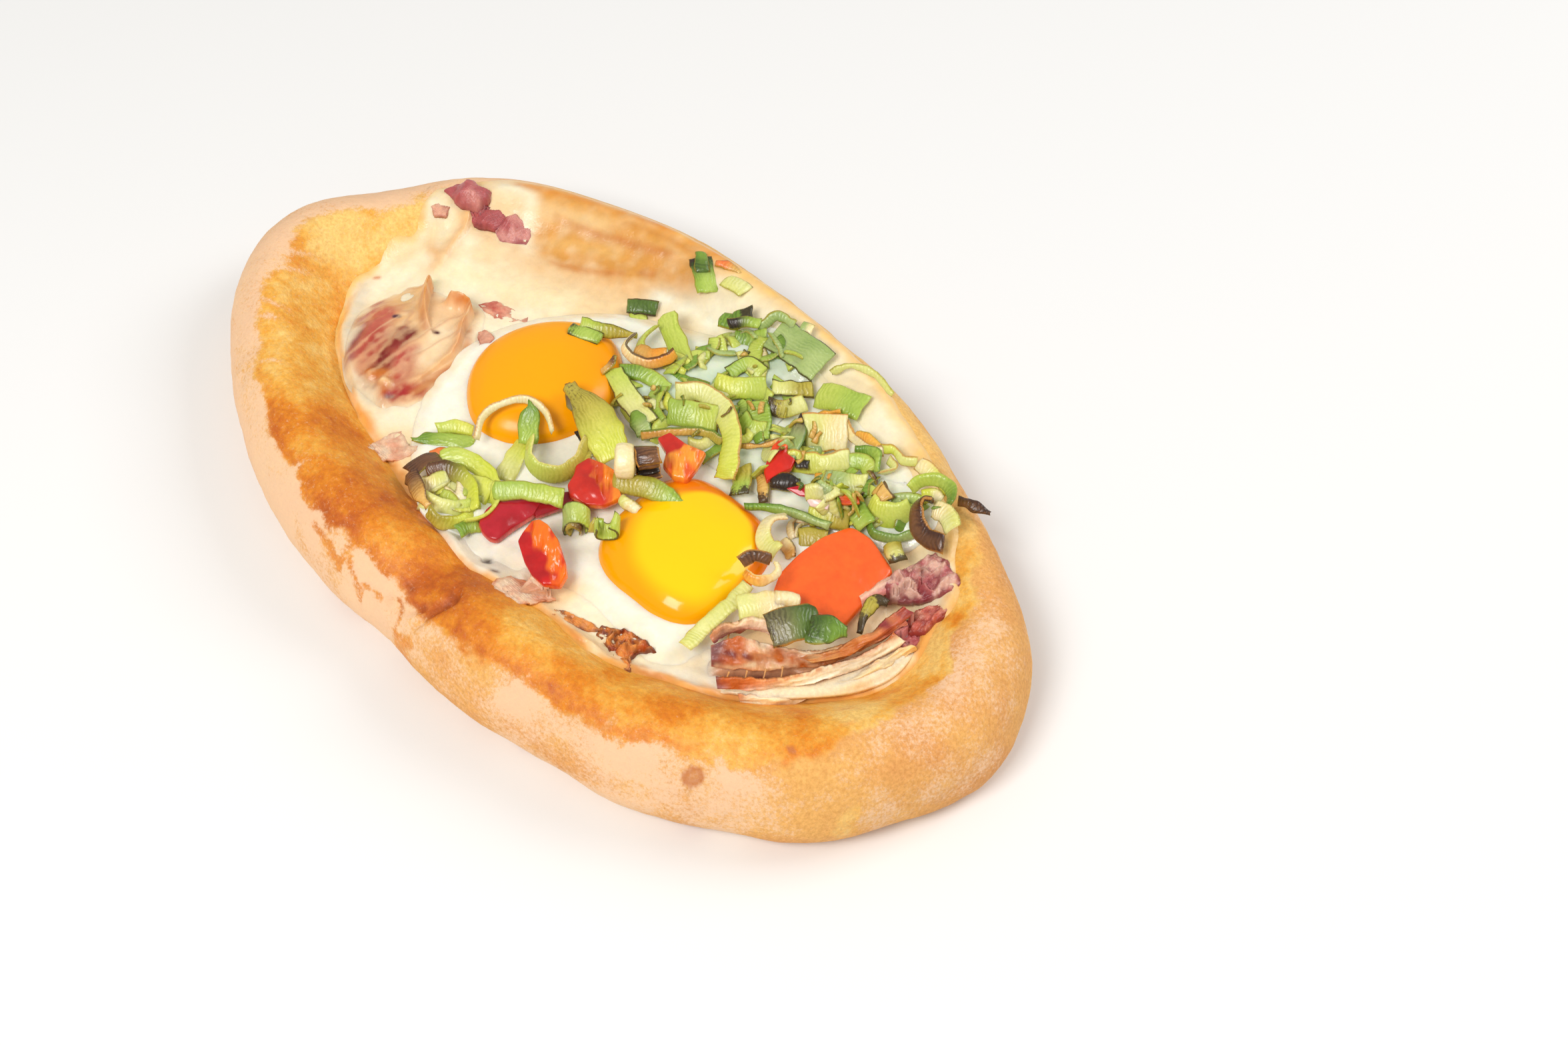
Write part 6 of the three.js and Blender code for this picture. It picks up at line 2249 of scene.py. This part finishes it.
@dataclass(frozen=True)
class Lump(Written):
    """A crumpled piece of meat over what it lies on, inside an outline of (x, y) corners."""

    outline: Path
    thick: float
    meat: Meat
    rough: float = 1.0
    fat: float = 0.4
    crisp: float = 0.3
    crumple: float = 2.6
    ragged: float = 0.6
    cuts: float = 0.55
    sides: int = 180
    rings: int = 44
    choices: ClassVar[type[Enum]] = Meat

    def facets(self, offset: Array, number: int) -> Array:
        """Shares of the thickness left by slanting cuts across the top.

        Args:
            offset: Points from the middle.
            number: Tells pieces apart in their cuts.

        Returns:
            A share for each point.
        """
        dice = np.random.default_rng(600 + number)
        reach = np.abs(offset).max()
        left = np.ones(offset.shape[:-1])
        draws = [dice.uniform(*span, 6) for span in ((0, math.tau), (0.3, 1.4), (-0.2, 0.4))]
        for turn, slope, start in zip(*draws):
            along = (offset[..., 0] * math.cos(turn) + offset[..., 1] * math.sin(turn)) / reach
            left = np.minimum(left, 1 - self.cuts * slope * np.maximum(along - start, 0))
        return np.clip(left, 0.2, 1)

    def build(self, number: int, heights: HeightMap) -> Shell:
        """Makes the piece in its place.

        Args:
            number: Tells pieces apart in their grain.
            heights: What it lies on.

        Returns:
            The mesh.
        """
        grain = Grain(400 + number)
        edge = cut_edge(tuple((*corner, 0.0) for corner in self.outline), self.sides, 3)
        edge[:, :2] += self.ragged * stacked(grain.at(edge, 2.5, 3), grain.at(edge + 9, 2.5, 3))
        middle = edge.mean(axis=0)
        share = np.linspace(1, 0.03, self.rings)[:, None]
        level = middle + (edge - middle)[None] * share[..., None]
        x, y = level[..., 0], level[..., 1]
        low = heights.at(x, y)
        low = mix(low, float(np.median(low)), 0.5)
        creases = 0.55 * grain.creases(level, 1.8 * self.crumple)
        creases = creases + 0.45 * grain.ridges(level, 1.6 * self.crumple, 2)
        fine = grain.at(level, 1.1, 3)
        body = self.thick * self.facets(level - middle, number) * np.sqrt(np.clip(1 - share**6, 0.02, 1))
        high = low + body + self.rough * (creases - 0.45 + 0.25 * fine) * ease((1 - share) * 6)
        top = stacked(x, y, high)
        under = stacked(x[:1], y[:1], low[:1] - 0.6)
        close = np.array([*middle[:2], float(low.mean()) - 0.6])
        shell = Shell.skin(top[-1].mean(axis=0), np.concatenate([top[::-1], under]), close)
        tint = self.tint(level, creases, fine, share + 0 * x, grain)
        shell.paint["tint"] = np.vstack([tint[-1, :1], tint[::-1].reshape(-1, 3), tint[0], tint[:1, 0]])
        return shell

    def tint(self, level: Array, creases: Array, fine: Array, share: Array, grain: Grain) -> Array:
        """Lean, fat and crisp parts of the top, with painted shade in the sunken borders of its creases.

        Args:
            level: The points over the plan.
            creases: Its creases' heights.
            fine: Its fine grain.
            share: Shares out to the edge.
            grain: Its noise.

        Returns:
            A colour for each point.
        """
        lean, fat, crisp = (shade(*c) for c in self.meat.value)
        marble = self.fat * 1.5 - 0.25 + 0.7 * grain.at(level + 20, self.crumple * 1.2, 3) + 0.3 * creases
        colour = mix(lean, fat, ease(marble)[..., None])
        # Besides the crisp edge and grain, heat darkens the sunken crease borders with the crisp colour:
        # painted shade.
        heat = self.crisp * (1.3 * ease(share * 5 - 3.9) + 1.1 * ease(0.9 - 2.2 * creases) + 0.8 * fine)
        return mix(colour, crisp, np.clip(heat, 0, 0.9)[..., None])


MEAT_LUMPS = Lump.groups("""
ham_lump_far:
  73.5 16, 73.6 25, 76 31.6, 80.5 31.5, 86.8 28.6, 87.3 26, 84 22.5, 80 18.5, 76.6 15.2; 2.8; HAM; rough 2.4;
    fat 0.5; crisp 0.6; crumple 1.7; cuts 0.3
ham_lump_near:
  82.5 15, 83 18.5, 86 22.6, 88.8 22.2, 89.5 18.5, 89 14, 85.5 12; 3.0; ROSE; rough 1.4; fat 0.25;
    crisp 0.55; crumple 2.0
  84 8.5, 83.6 12.5, 86 15, 89.6 12.5, 88.6 7.5; 1.2; MAUVE; rough 1.0; fat 0.3; crumple 1.8
bacon_crisp:
  37.5 -36, 37 -33, 41.5 -31, 46 -29.5, 51.8 -29.6, 49.5 -31.5, 47.6 -32.8, 48.5 -35.5, 52.2 -38.4,
    49.5 -38.6, 43.8 -37; 1.4; CRISP; rough 3.2; fat 0.45; crisp 0.75; crumple 1.9
bacon_flat:
  23.5 -41, 28.5 -36.8, 33.5 -34.6, 38.4 -34.6, 34.6 -37.8, 29 -39.8; 0.7; CRISP; rough 1.1; fat 0.75;
    crisp 0.45; crumple 1.8
bacon_band:
  14 -48.5, 13 -44, 14.5 -38.5, 20 -36.2, 25.5 -36.2, 24.5 -40, 22 -45.5, 18 -49.5; 0.2; FILM; rough 0.5;
    fat 0.6; crisp 0.3; ragged 1.2
ham_rim:
  -40 -39.5, -40.6 -33, -38 -28, -34.6 -29, -29.8 -29.6, -30.8 -33, -35.5 -38.4; 0.3; FILM; rough 0.6;
    fat 0.5; crisp 0.2; ragged 1.2
ham_top_1:
  -89.6 28, -89 31.6, -86 35.4, -83.4 34.8, -80.4 36.4, -78.6 33.4, -78.6 29.8, -83 27.6, -86.5 27.6; 4.2;
    MAUVE; rough 0.6; fat 0.3; crisp 0.2; crumple 4.0; ragged 0.35; cuts 1.0
  -88.2 22.6, -87.8 25, -84.8 26, -83.6 23.2, -85.6 21.2; 0.5; ROSE; rough 0.4; fat 0.7; ragged 0.3
ham_top_2:
  -80.4 28.2, -79.4 32.8, -76.2 35.8, -73 34.4, -72.8 30.2, -77.4 27.2; 2.4; MAUVE; rough 0.6; fat 0.15;
    crisp 0.4; crumple 3.4; ragged 0.35; cuts 1.0
ham_top_3:
  -73.8 35, -72.4 37.2, -67.4 37.8, -64.6 33.6, -70 29.4, -73.2 30.4; 3.0; MAUVE; rough 0.7; fat 0.5;
    crisp 0.3; crumple 3.4; ragged 0.35; cuts 1.0
ham_sliver:
  -58 12, -56 15.3, -51 16.3, -47 18.6, -44.6 16.2, -48.5 12.6, -53.5 11.2; 0.3; ROSE; rough 0.6; fat 0.6;
    crisp 0.1; ragged 1.0
  -48 3, -48.6 6, -46 6.4, -43.4 3, -44.2 1.2; 0.2; ROSE; rough 0.4; fat 0.9; ragged 1.0
""")


@dataclass(frozen=True)
class Leaf(Written):
    """A thin wrinkled leaf of bacon between two edges of (x, y, z) points.

    Its tints run along it from its start to its end, first those beside the upper edge, then the lower one,
    and carry painted light and shade over its wrinkles.
    """

    upper: tuple[Point, ...]
    lower: tuple[Point, ...]
    above: tuple[Tint, ...]
    below: tuple[Tint, ...]
    thick: float = 0.8
    swell: float = 0.5
    wrinkle: float = 0.3
    sear: Tint = (196, 100, 34)
    searing: float = 0.5
    along: int = 220
    across: int = 34

    def build(self, number: int) -> Shell:
        """Makes the leaf in its place.

        Args:
            number: Tells leaves apart in their wrinkles.

        Returns:
            The mesh.
        """
        grain = Grain(500 + number)
        edges = [smooth_curve(points, self.along) for points in (self.upper, self.lower)]
        u, v = np.meshgrid(np.linspace(0, 1, self.across), np.linspace(0, 1, self.along), indexing="ij")
        base = mix(edges[0][None], edges[1][None], u[..., None])
        length = path_length(edges[0])
        height = float(np.linalg.norm(edges[0] - edges[1], axis=1).mean())
        flat = stacked(v * length * 0.22, u * height, 0 * u)
        folds = grain.at(flat, 1.5, 3)
        fine = grain.at(base, 1.2, 3)
        face = unit(np.cross(np.gradient(edges[0], axis=0), edges[1] - edges[0]))
        face *= np.sign(face[:, 2:])
        fibres = grain.at(stacked(v * length * 0.1, u * height, 0 * u), 0.6, 2)
        bulge = self.swell * (1 - (2 * u - 1) ** 2) + self.wrinkle * folds + 0.12 * fine + 0.05 * fibres
        ragged = 0.8 * grain.at(stacked(v * length, 0 * u, 0 * u), 2.6, 4) * np.abs(2 * u - 1) ** 3
        sheets = [base + face[None] * (bulge + half * self.thick)[..., None] for half in (0.5, -0.5)]
        for sheet in sheets:
            sheet[..., 2] += ragged
        shell = Shell.sheet(*sheets)
        rows = [smooth_curve([linear(*c) for c in tints], self.along) for tints in (self.above, self.below)]
        tint = np.clip(mix(rows[0][None], rows[1][None], ease(u * 1.4 - 0.2 + 0.35 * folds)[..., None]), 0, 1)
        # Painted light and shade: the tint grows lighter on the bulges and darker in the wrinkles, following
        # the folds, grain and fibres that shape the leaf.
        tint = tint * np.clip(1.06 + 0.14 * folds + 0.12 * fine + 0.1 * fibres, 0.7, 1.25)[..., None]
        seared = ease(1.1 - u * height / 0.8) * ease(0.5 + 1.2 * fine)
        seared = seared + 0.6 * ease(1.1 - (1 - u) * height / 0.5)
        tint = mix(tint, shade(*self.sear), (self.searing * np.clip(seared, 0, 1))[..., None])
        tint = painted(base, tint, FOLD_STROKES, 46, 0.9)
        shell.paint["tint"] = np.vstack([tint.reshape(-1, 3)] * 2)
        return shell


FOLD_STROKES = Stroke.read("""
  59 -18, 62 -23, 66.5 -28; 1.5; 128 84 84; 1.0
  62 -17, 66 -21, 70 -25; 2.0; 202 106 48; 0.75
  63 -21, 64.5 -20; 0.7; 120 40 36; 0.9
  66 -18.5, 67.4 -17.6; 0.6; 136 56 40; 0.8
  71 -13.6, 77 -8.6, 80 -4, 82.6 1.4, 84.4 7, 85.2 12; 1.6; 200 104 36; 0.75
  68 -16, 70 -14.4; 1.6; 206 118 52; 0.8
  81 6, 84 14; 2.0; 150 56 56; 0.9
  63 -24, 66 -21.5, 68.5 -18; 0.5; 236 196 150; 0.8
  65 -26.5, 69 -23, 71.5 -19; 0.5; 240 206 160; 0.8
""")

BACON_LEAVES = Leaf.groups("""
bacon_leaf_inner:
  57.5 -20.5 21.8, 58 -18 23.4, 60 -14 24, 63.5 -10.5 23.8, 67 -8.3 22.6; 59 -20.5 20.6, 59.5 -17.5 21,
    61 -14 21.4, 63.5 -11.8 21.4, 67 -10 20.8; 206 128 82, 240 194 146, 246 216 180, 246 224 196; 128 44 42,
    150 60 52, 206 142 112, 240 214 180; thick 1.2; searing 0.35
bacon_leaf_middle:
  59.8 -22.4 22.8, 62 -18.4 23.5, 65 -15.4 23.2, 69 -13 22.4, 73 -9.4 21.6, 76.5 -5.4 21.2, 79.5 -1 21.4,
    82 4 21.8, 84 12 22.6; 62.4 -24.8 20, 66 -22 19.4, 69.5 -18.5 19, 73 -14 18.6, 76 -9.5 18.2,
    79 -4.8 18.6, 81.6 0 19.4, 83.2 5 20.2, 85.4 12 21.8; 150 92 84, 210 122 62, 244 212 176, 248 226 196,
    246 218 180, 240 190 130, 226 150 88, 186 92 76; 136 58 50, 206 104 44, 238 180 124, 246 214 172,
    240 194 142, 226 150 82, 222 140 84, 200 116 96; wrinkle 0.6; searing 0.6
bacon_leaf_outer:
  66.5 -27.5 22.6, 70.5 -23 21.8, 74.4 -17.6 20.8, 78 -12 20.4, 81 -5.5 20.8, 84 1.5 21.2, 85 8 21.6;
    67.5 -28 20, 71.6 -23.6 19.2, 75.6 -18 18.4, 79.5 -12.4 18.2, 82.8 -6 18.6, 86 2 19.4, 88 8.5 20.6;
    176 80 40, 214 116 48, 240 186 130, 248 222 184, 248 226 190, 242 206 156; 146 84 82, 220 168 138,
    246 222 186, 250 234 204, 248 230 196, 244 214 170; wrinkle 0.55; searing 0.65
""")
FOLD_FLAPS = Leaf.read("""
  72.5 10.5 21, 73 16 21.8, 74.5 21 22, 77.5 24.5 21.6; 74.5 9.5 20, 75.5 14.5 20.2, 77 19 20, 79.5 22 19.6;
    236 190 160, 232 180 156, 214 142 132; 226 160 140, 204 120 116, 160 70 78; along 90
  71 -25.5 18.8, 76 -19 18, 80 -12.8 17.8, 83.4 -6 18.4, 86.4 1.5 19.4, 88.4 9 20.6; 73 -26 16.6,
    78.4 -19 16.2, 82.6 -12.4 16.4, 86 -5.4 17.2, 89 2.5 18.6, 90.4 10 19.8; 240 220 184, 242 224 188,
    242 220 180, 238 200 142; 240 204 148, 244 218 172, 242 212 160, 236 186 112; wrinkle 0.8; along 180;
    searing 0.35
  74.6 -10.4 21.2, 78.6 -4.6 22, 81 2 22.6, 82.2 8.5 23.4, 82.4 13.4 24; 77.4 -9 20.4, 80.8 -3 20.8,
    83.4 3 21.2, 84.4 9 21.8, 84.4 14.4 22.6; 242 206 156, 236 178 116, 224 142 86, 176 76 64; 238 188 124,
    222 148 80, 204 110 66, 150 56 56; thick 1.0; wrinkle 1.1; along 120; searing 0.5
""")
FOLD_STRINGS = (
    ((66.5, -23.5), (67, -25.5)), ((69, -20.6), (70, -22.6)), ((71.5, -17.4), (72.6, -19.6)),
    ((73.6, -14.4), (75, -16.4)), ((59.4, -16.6), (60.2, -18.4)),
)
FOLD_OUTLINE = (
    (57, -20), (62, -28), (71, -25), (80, -17), (88, -6), (91, 6), (86, 14), (80, 8), (74, -2), (66, -9),
    (60, -13),
)


# The first two strokes paint the sunken grooves of the fold, and the gap under its strings, dark: painted
# shade.
BED_STROKES = Stroke.read("""
  57.5 -18.5, 60 -14, 64 -10.5, 69 -7; 2.6; 128 46 40; 1.1; rise -1.6
  64.5 -24.5, 68 -21, 72 -16.6, 75 -12.5; 1.2; 112 36 28; 1.1; rise -2.4
  75 -12.5, 79 -8, 82 -3; 1.2; 190 120 80; 0.7; rise -0.8
  72 -2, 76 4, 78 10; 3.0; 218 164 134; 0.8; rise -1.0
  76 14, 78 18; 3.0; 122 40 48; 1.0; rise -0.6
  60 -28, 57.5 -21; 1.8; 150 118 112; 0.9
  84 -4, 88 3, 89 9; 3.0; 246 232 200; 0.9
  70 -26, 77 -18.6, 83 -10.6, 87 -2, 89 6; 3.0; 246 226 188; 0.9; rise 2.6
  72.5 -27, 79.5 -19, 85 -11.4, 88.6 -3; 1.0; 236 190 122; 0.7; rise 0.4
""")
# The stroke from -45 -19 to -50.4 3, right of the second fold's lip, is a painted shadow where that fold
# drops.
VEIL_STROKES = Stroke.read("""
  -74 2, -68 -3, -60 -9; 6.0; 232 184 124; 0.85
  -80 -8, -75.5 -14, -68 -20.5, -64 -26; 2.2; 224 212 188; 0.9; 0.3
  -76 -6, -73 -11, -69.5 -16; 3.0; 178 96 92; 1.2
  -69.5 -8.5, -65.5 -14.5, -62 -20; 3.4; 196 100 78; 1.2
  -72 -15, -68 -19, -65 -23; 2.2; 150 84 78; 1.2
  -63 -15, -60 -21, -58.5 -24; 3.6; 176 66 52; 1.3
  -59.5 -9, -58 -14, -56.6 -17.7, -55 -22; 2.2; 120 22 14; 1.9; -0.2
  -54.4 -13, -51.5 -17, -50 -20; 3.2; 186 78 64; 1.3
  -56 -23, -53 -21, -50.2 -24, -48.2 -27; 1.9; 196 108 34; 1.3; 1.2
  -52 -22.6, -50.4 -22; 1.1; 244 206 152; 0.95; 0.8
  -62 -27, -56.6 -26.2, -52.7 -25.7; 1.3; 138 66 30; 1.2; 0.5
  -47.4 -23.6, -46 -19.8, -44 -17.2; 1.9; 170 42 40; 1.3; -0.2
  -48 -24.6, -47.4 -23.6; 0.7; 112 76 84; 0.9
  -56.3 -4, -58.6 -2.9, -62.6 -0.3, -66.2 3.2, -69.3 6.7; 1.7; 226 150 62; 1.1; 5.0; lip
  -47 -20, -46.3 -15.6, -46.4 -9.3, -46.6 -5, -49.2 -0.4, -51.9 2.8, -53.8 6.8, -56.6 8.6, -59.3 8.2,
    -60.7 6.7; 1.8; 216 136 64; 1.1; 4.6; lip
  -45 -19, -44.4 -14, -44.6 -9, -45 -4.6, -47.6 0, -50.4 3; 1.1; 196 128 74; 1.0
  -57.4 -4.8, -59.8 -3.6, -63.8 -0.8, -67.4 2.6; 1.2; 204 142 92; 0.9
  -69.4 6.4, -67.6 4.6; 0.9; 220 134 50; 0.9
  -60.6 6.2, -59.2 7.6; 0.9; 212 124 48; 0.9
  -54.2 -2.1, -51.8 -6.2, -50.2 -10.6; 3.0; 246 222 184; 0.8
  -66.2 -7.4, -65.4 -6.6; 0.6; 84 44 60; 1.1
  -55.2 -4, -54.6 -3.5; 0.6; 84 34 36; 1.1
  -69.4 -16.6, -69 -16; 0.7; 126 54 32; 0.9
""")
VEIL_OUTLINE = (
    (-75.5, -14.5), (-78.5, -8), (-77, 1), (-72.5, 9), (-65, 8.5), (-61, 11.5), (-53, 11), (-46.5, 4),
    (-42, -3), (-40.5, -10), (-40, -19), (-43.4, -27), (-50, -28.6), (-59.5, -28), (-68.5, -22.5),
)


@dataclass
class CuredMeat:
    """Bacon and ham: the folded slice at the blunt end, its leaves, the veiled slice, and the lumps."""

    heights: HeightMap
    string_heights: Point = (20.6, 19.6, 19.2)
    string_tint: Tint = (226, 160, 96)
    bed_tint: Tint = (222, 170, 128)
    film_tint: Tint = (234, 188, 132)
    lean_tint: Tint = (176, 96, 66)

    def bed(self) -> Shell:
        """The bed of the folded slice, its outer flaps and the strings across its gap.

        Returns:
            The mesh.
        """
        layer = Layer(FOLD_OUTLINE, 3.0, False, depth=1.0, sides=200, rings=50, seed=37, rough=0.5)
        shell, flat, within = layer.build()
        points = np.column_stack([flat, 0 * flat[:, 0]])
        shell.vertices[:, 2] += sum(s.height(*flat.T) for s in BED_STROKES)
        gaps = ease((within - 1.5) / 3)[:, None]
        base = mix(melted(points), shade(*self.bed_tint), gaps)
        shell.paint["tint"] = painted(points, base, BED_STROKES, 38)
        flaps = [flap.build(20 + k) for k, flap in enumerate(FOLD_FLAPS)]
        strings = [self.string(*ends) for ends in FOLD_STRINGS]
        return Shell.joined([shell, *flaps, *strings])

    def string(self, start: tuple[float, float], end: tuple[float, float]) -> Shell:
        """A thin thread of melted fat between two places, hanging a little.

        Args:
            start, end: The places' x and y.

        Returns:
            The mesh.
        """
        middle = np.add(start, end) / 2
        path = smooth_curve([(*xy, z) for xy, z in zip((start, middle, end), self.string_heights)], 12)
        turn = np.linspace(0, math.tau, 8, endpoint=False)
        thin = 0.16 + 0.12 * np.abs(np.linspace(-1, 1, 12)) ** 3
        dx, dy = np.subtract(end, start) / math.dist(start, end)
        round_it = stacked(-dy * np.cos(turn), dx * np.cos(turn), np.sin(turn))
        rings = path[:, None] + round_it[None] * thin[:, None, None]
        shell = Shell.skin(path[0], rings, path[-1])
        shell.paint["tint"] = np.tile(linear(*self.string_tint), (len(shell.vertices), 1))
        return shell

    def veil(self) -> Shell:
        """The slice of bacon under a film of cheese, torn and pulled up in ridges.

        Returns:
            The mesh.
        """
        layer = Layer(VEIL_OUTLINE, 0.7, False, depth=0.8, sides=420, rings=120, seed=39, rough=0.3)
        shell, flat, within = layer.build()
        points = np.column_stack([flat, 0 * flat[:, 0]])
        inside = ease(within / 3.0)
        wrinkles = Grain(44).ridges(points * np.array([1.0, 0.45, 1.0]), 4.5, 3)
        rise = sum(s.height(*flat.T) for s in VEIL_STROKES) + 0.4 * (wrinkles - 0.4)
        shell.vertices[:, 2] += rise * inside
        around = melted(points)
        film = mix(around, shade(*self.film_tint), (0.75 * inside)[:, None])
        tint = painted(points, film, VEIL_STROKES, 45)
        streaks = Grain(48).ridges(points * np.array([1.0, 0.3, 1.0]), 3.2, 3)
        streaks = streaks + 0.3 * Grain(49).at(points, 1.6, 3)
        tint = mix(tint, film, (0.45 * ease(streaks * 1.2 - 0.15))[:, None])
        tint = mix(tint, shade(*self.lean_tint), (0.3 * inside * ease(wrinkles * 2.4 - 1.4))[:, None])
        soft = ease((within + 1.6 * Grain(47).at(points, 5, 3)) / 4.5)
        shell.paint["tint"] = mix(around, tint, soft[:, None])
        over = shell.vertices[:, 2].max() - node_top("bacon_wrinkled")
        LOG.info("veil reaches %.1f mm over its node", over)
        return shell

    def dress(self) -> None:
        """Places all the meat."""
        finish = PaintedFinish("cured_meat", 0.34, depth=0.14, clear=0.3, shade=0.86).build()
        bed = self.bed()
        self.heights.cover(bed.vertices)
        bed.place("fold_bed", finish, "ham", "bacon_fold")
        veil = self.veil()
        film = replace(CHEESE_FINISH, name="bacon_film").build()
        veil.place("piece_bacon_wrinkled", film, "bacon", "bacon_wrinkled")
        for number, (node, (leaf,)) in enumerate(BACON_LEAVES.items()):
            shell = leaf.build(number)
            self.heights.cover(shell.vertices)
            shell.place(node.replace("bacon_", "fold_"), finish, "bacon", node)
        for number, (node, lumps) in enumerate(MEAT_LUMPS.items()):
            shell = Shell.joined([lump.build(3 * number + k, self.heights) for k, lump in enumerate(lumps)])
            self.heights.cover(shell.vertices)
            slot = "ham" if node.startswith("ham") else "bacon"
            shell.place("piece_" + node, finish, slot, node)


# ---- studio


@dataclass
class Studio:
    """The camera, the pale floor and soft light."""

    eye: Point = (0.24853, -0.20156, 0.38500)
    look: Point = (-0.43343, 0.45695, -0.77675)
    roll: float = 1.306
    lens: float = 47.746
    sensor: float = 36.0
    clip: tuple[float, float] = (0.01, 20.0)
    floor_size: float = 3.0
    sky: tuple[float, ...] = (1.0, 0.99, 0.97, 1.0)
    sky_strength: float = 0.46
    lamps: tuple[tuple[str, Point, float, float, Colour], ...] = (
        ("key", (0.14, -0.78, 1.02), 0.5, 11.0, (1.0, 0.985, 0.96)),
        ("back", (0.45, 0.75, 0.8), 0.6, 5.0, (1.0, 1.0, 1.0)),
    )

    def camera(self) -> None:
        """Makes the scene's camera."""
        data = bpy.data.cameras.new("camera")
        data.lens = self.lens
        data.sensor_width = self.sensor
        data.clip_start, data.clip_end = self.clip
        eye = linked("camera", data)
        eye.rotation_mode = "QUATERNION"
        aim = Vector(self.look).to_track_quat("-Z", "Y")
        eye.rotation_quaternion = aim @ Quaternion((0, 0, 1), math.radians(self.roll))
        eye.location = self.eye
        bpy.context.scene.camera = eye

    def lamp(self, name: str, place: Point, size: float, power: float, colour: Colour) -> None:
        """Adds a square soft light that points at the loaf.

        Args:
            name: Its name.
            place: Where it stands, in metres.
            size: Its side in metres.
            power: Watts.
            colour: Its colour.
        """
        data = bpy.data.lights.new(name, "AREA")
        data.size = size
        data.energy = power
        data.color = colour
        lamp = linked(name, data)
        lamp.location = place
        lamp.rotation_mode = "QUATERNION"
        lamp.rotation_quaternion = (-Vector(place)).to_track_quat("-Z", "Y")

    def dress(self) -> None:
        """Makes the camera, floor, lights and the world's light."""
        self.camera()
        half = self.floor_size / 2
        mesh = bpy.data.meshes.new("floor")
        corners = [(-half, -half, 0), (half, -half, 0), (half, half, 0), (-half, half, 0)]
        mesh.from_pydata(corners, [], [(0, 1, 2, 3)])
        mesh.materials.append(FloorFinish().build())
        linked("floor", mesh)
        world = bpy.data.worlds.new("soft_sky")
        world.use_nodes = True
        sky = world.node_tree.nodes["Background"]
        sky.inputs["Color"].default_value = self.sky
        sky.inputs["Strength"].default_value = self.sky_strength
        bpy.context.scene.world = world
        for lamp in self.lamps:
            self.lamp(*lamp)
        bpy.context.scene.view_settings.view_transform = "Standard"


def main() -> None:
    """Builds every sub-assembly in order."""
    logging.basicConfig(level=logging.INFO, format="%(name)s %(message)s")
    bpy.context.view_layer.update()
    Studio().dress()
    Bread().dress()
    Cheese().dress()
    heights = HeightMap(LOAF)
    Egg(heights).dress()
    Pepper(heights).dress()
    CuredMeat(heights).dress()
    Leek(heights).dress()


if __name__ == "__main__":
    main()
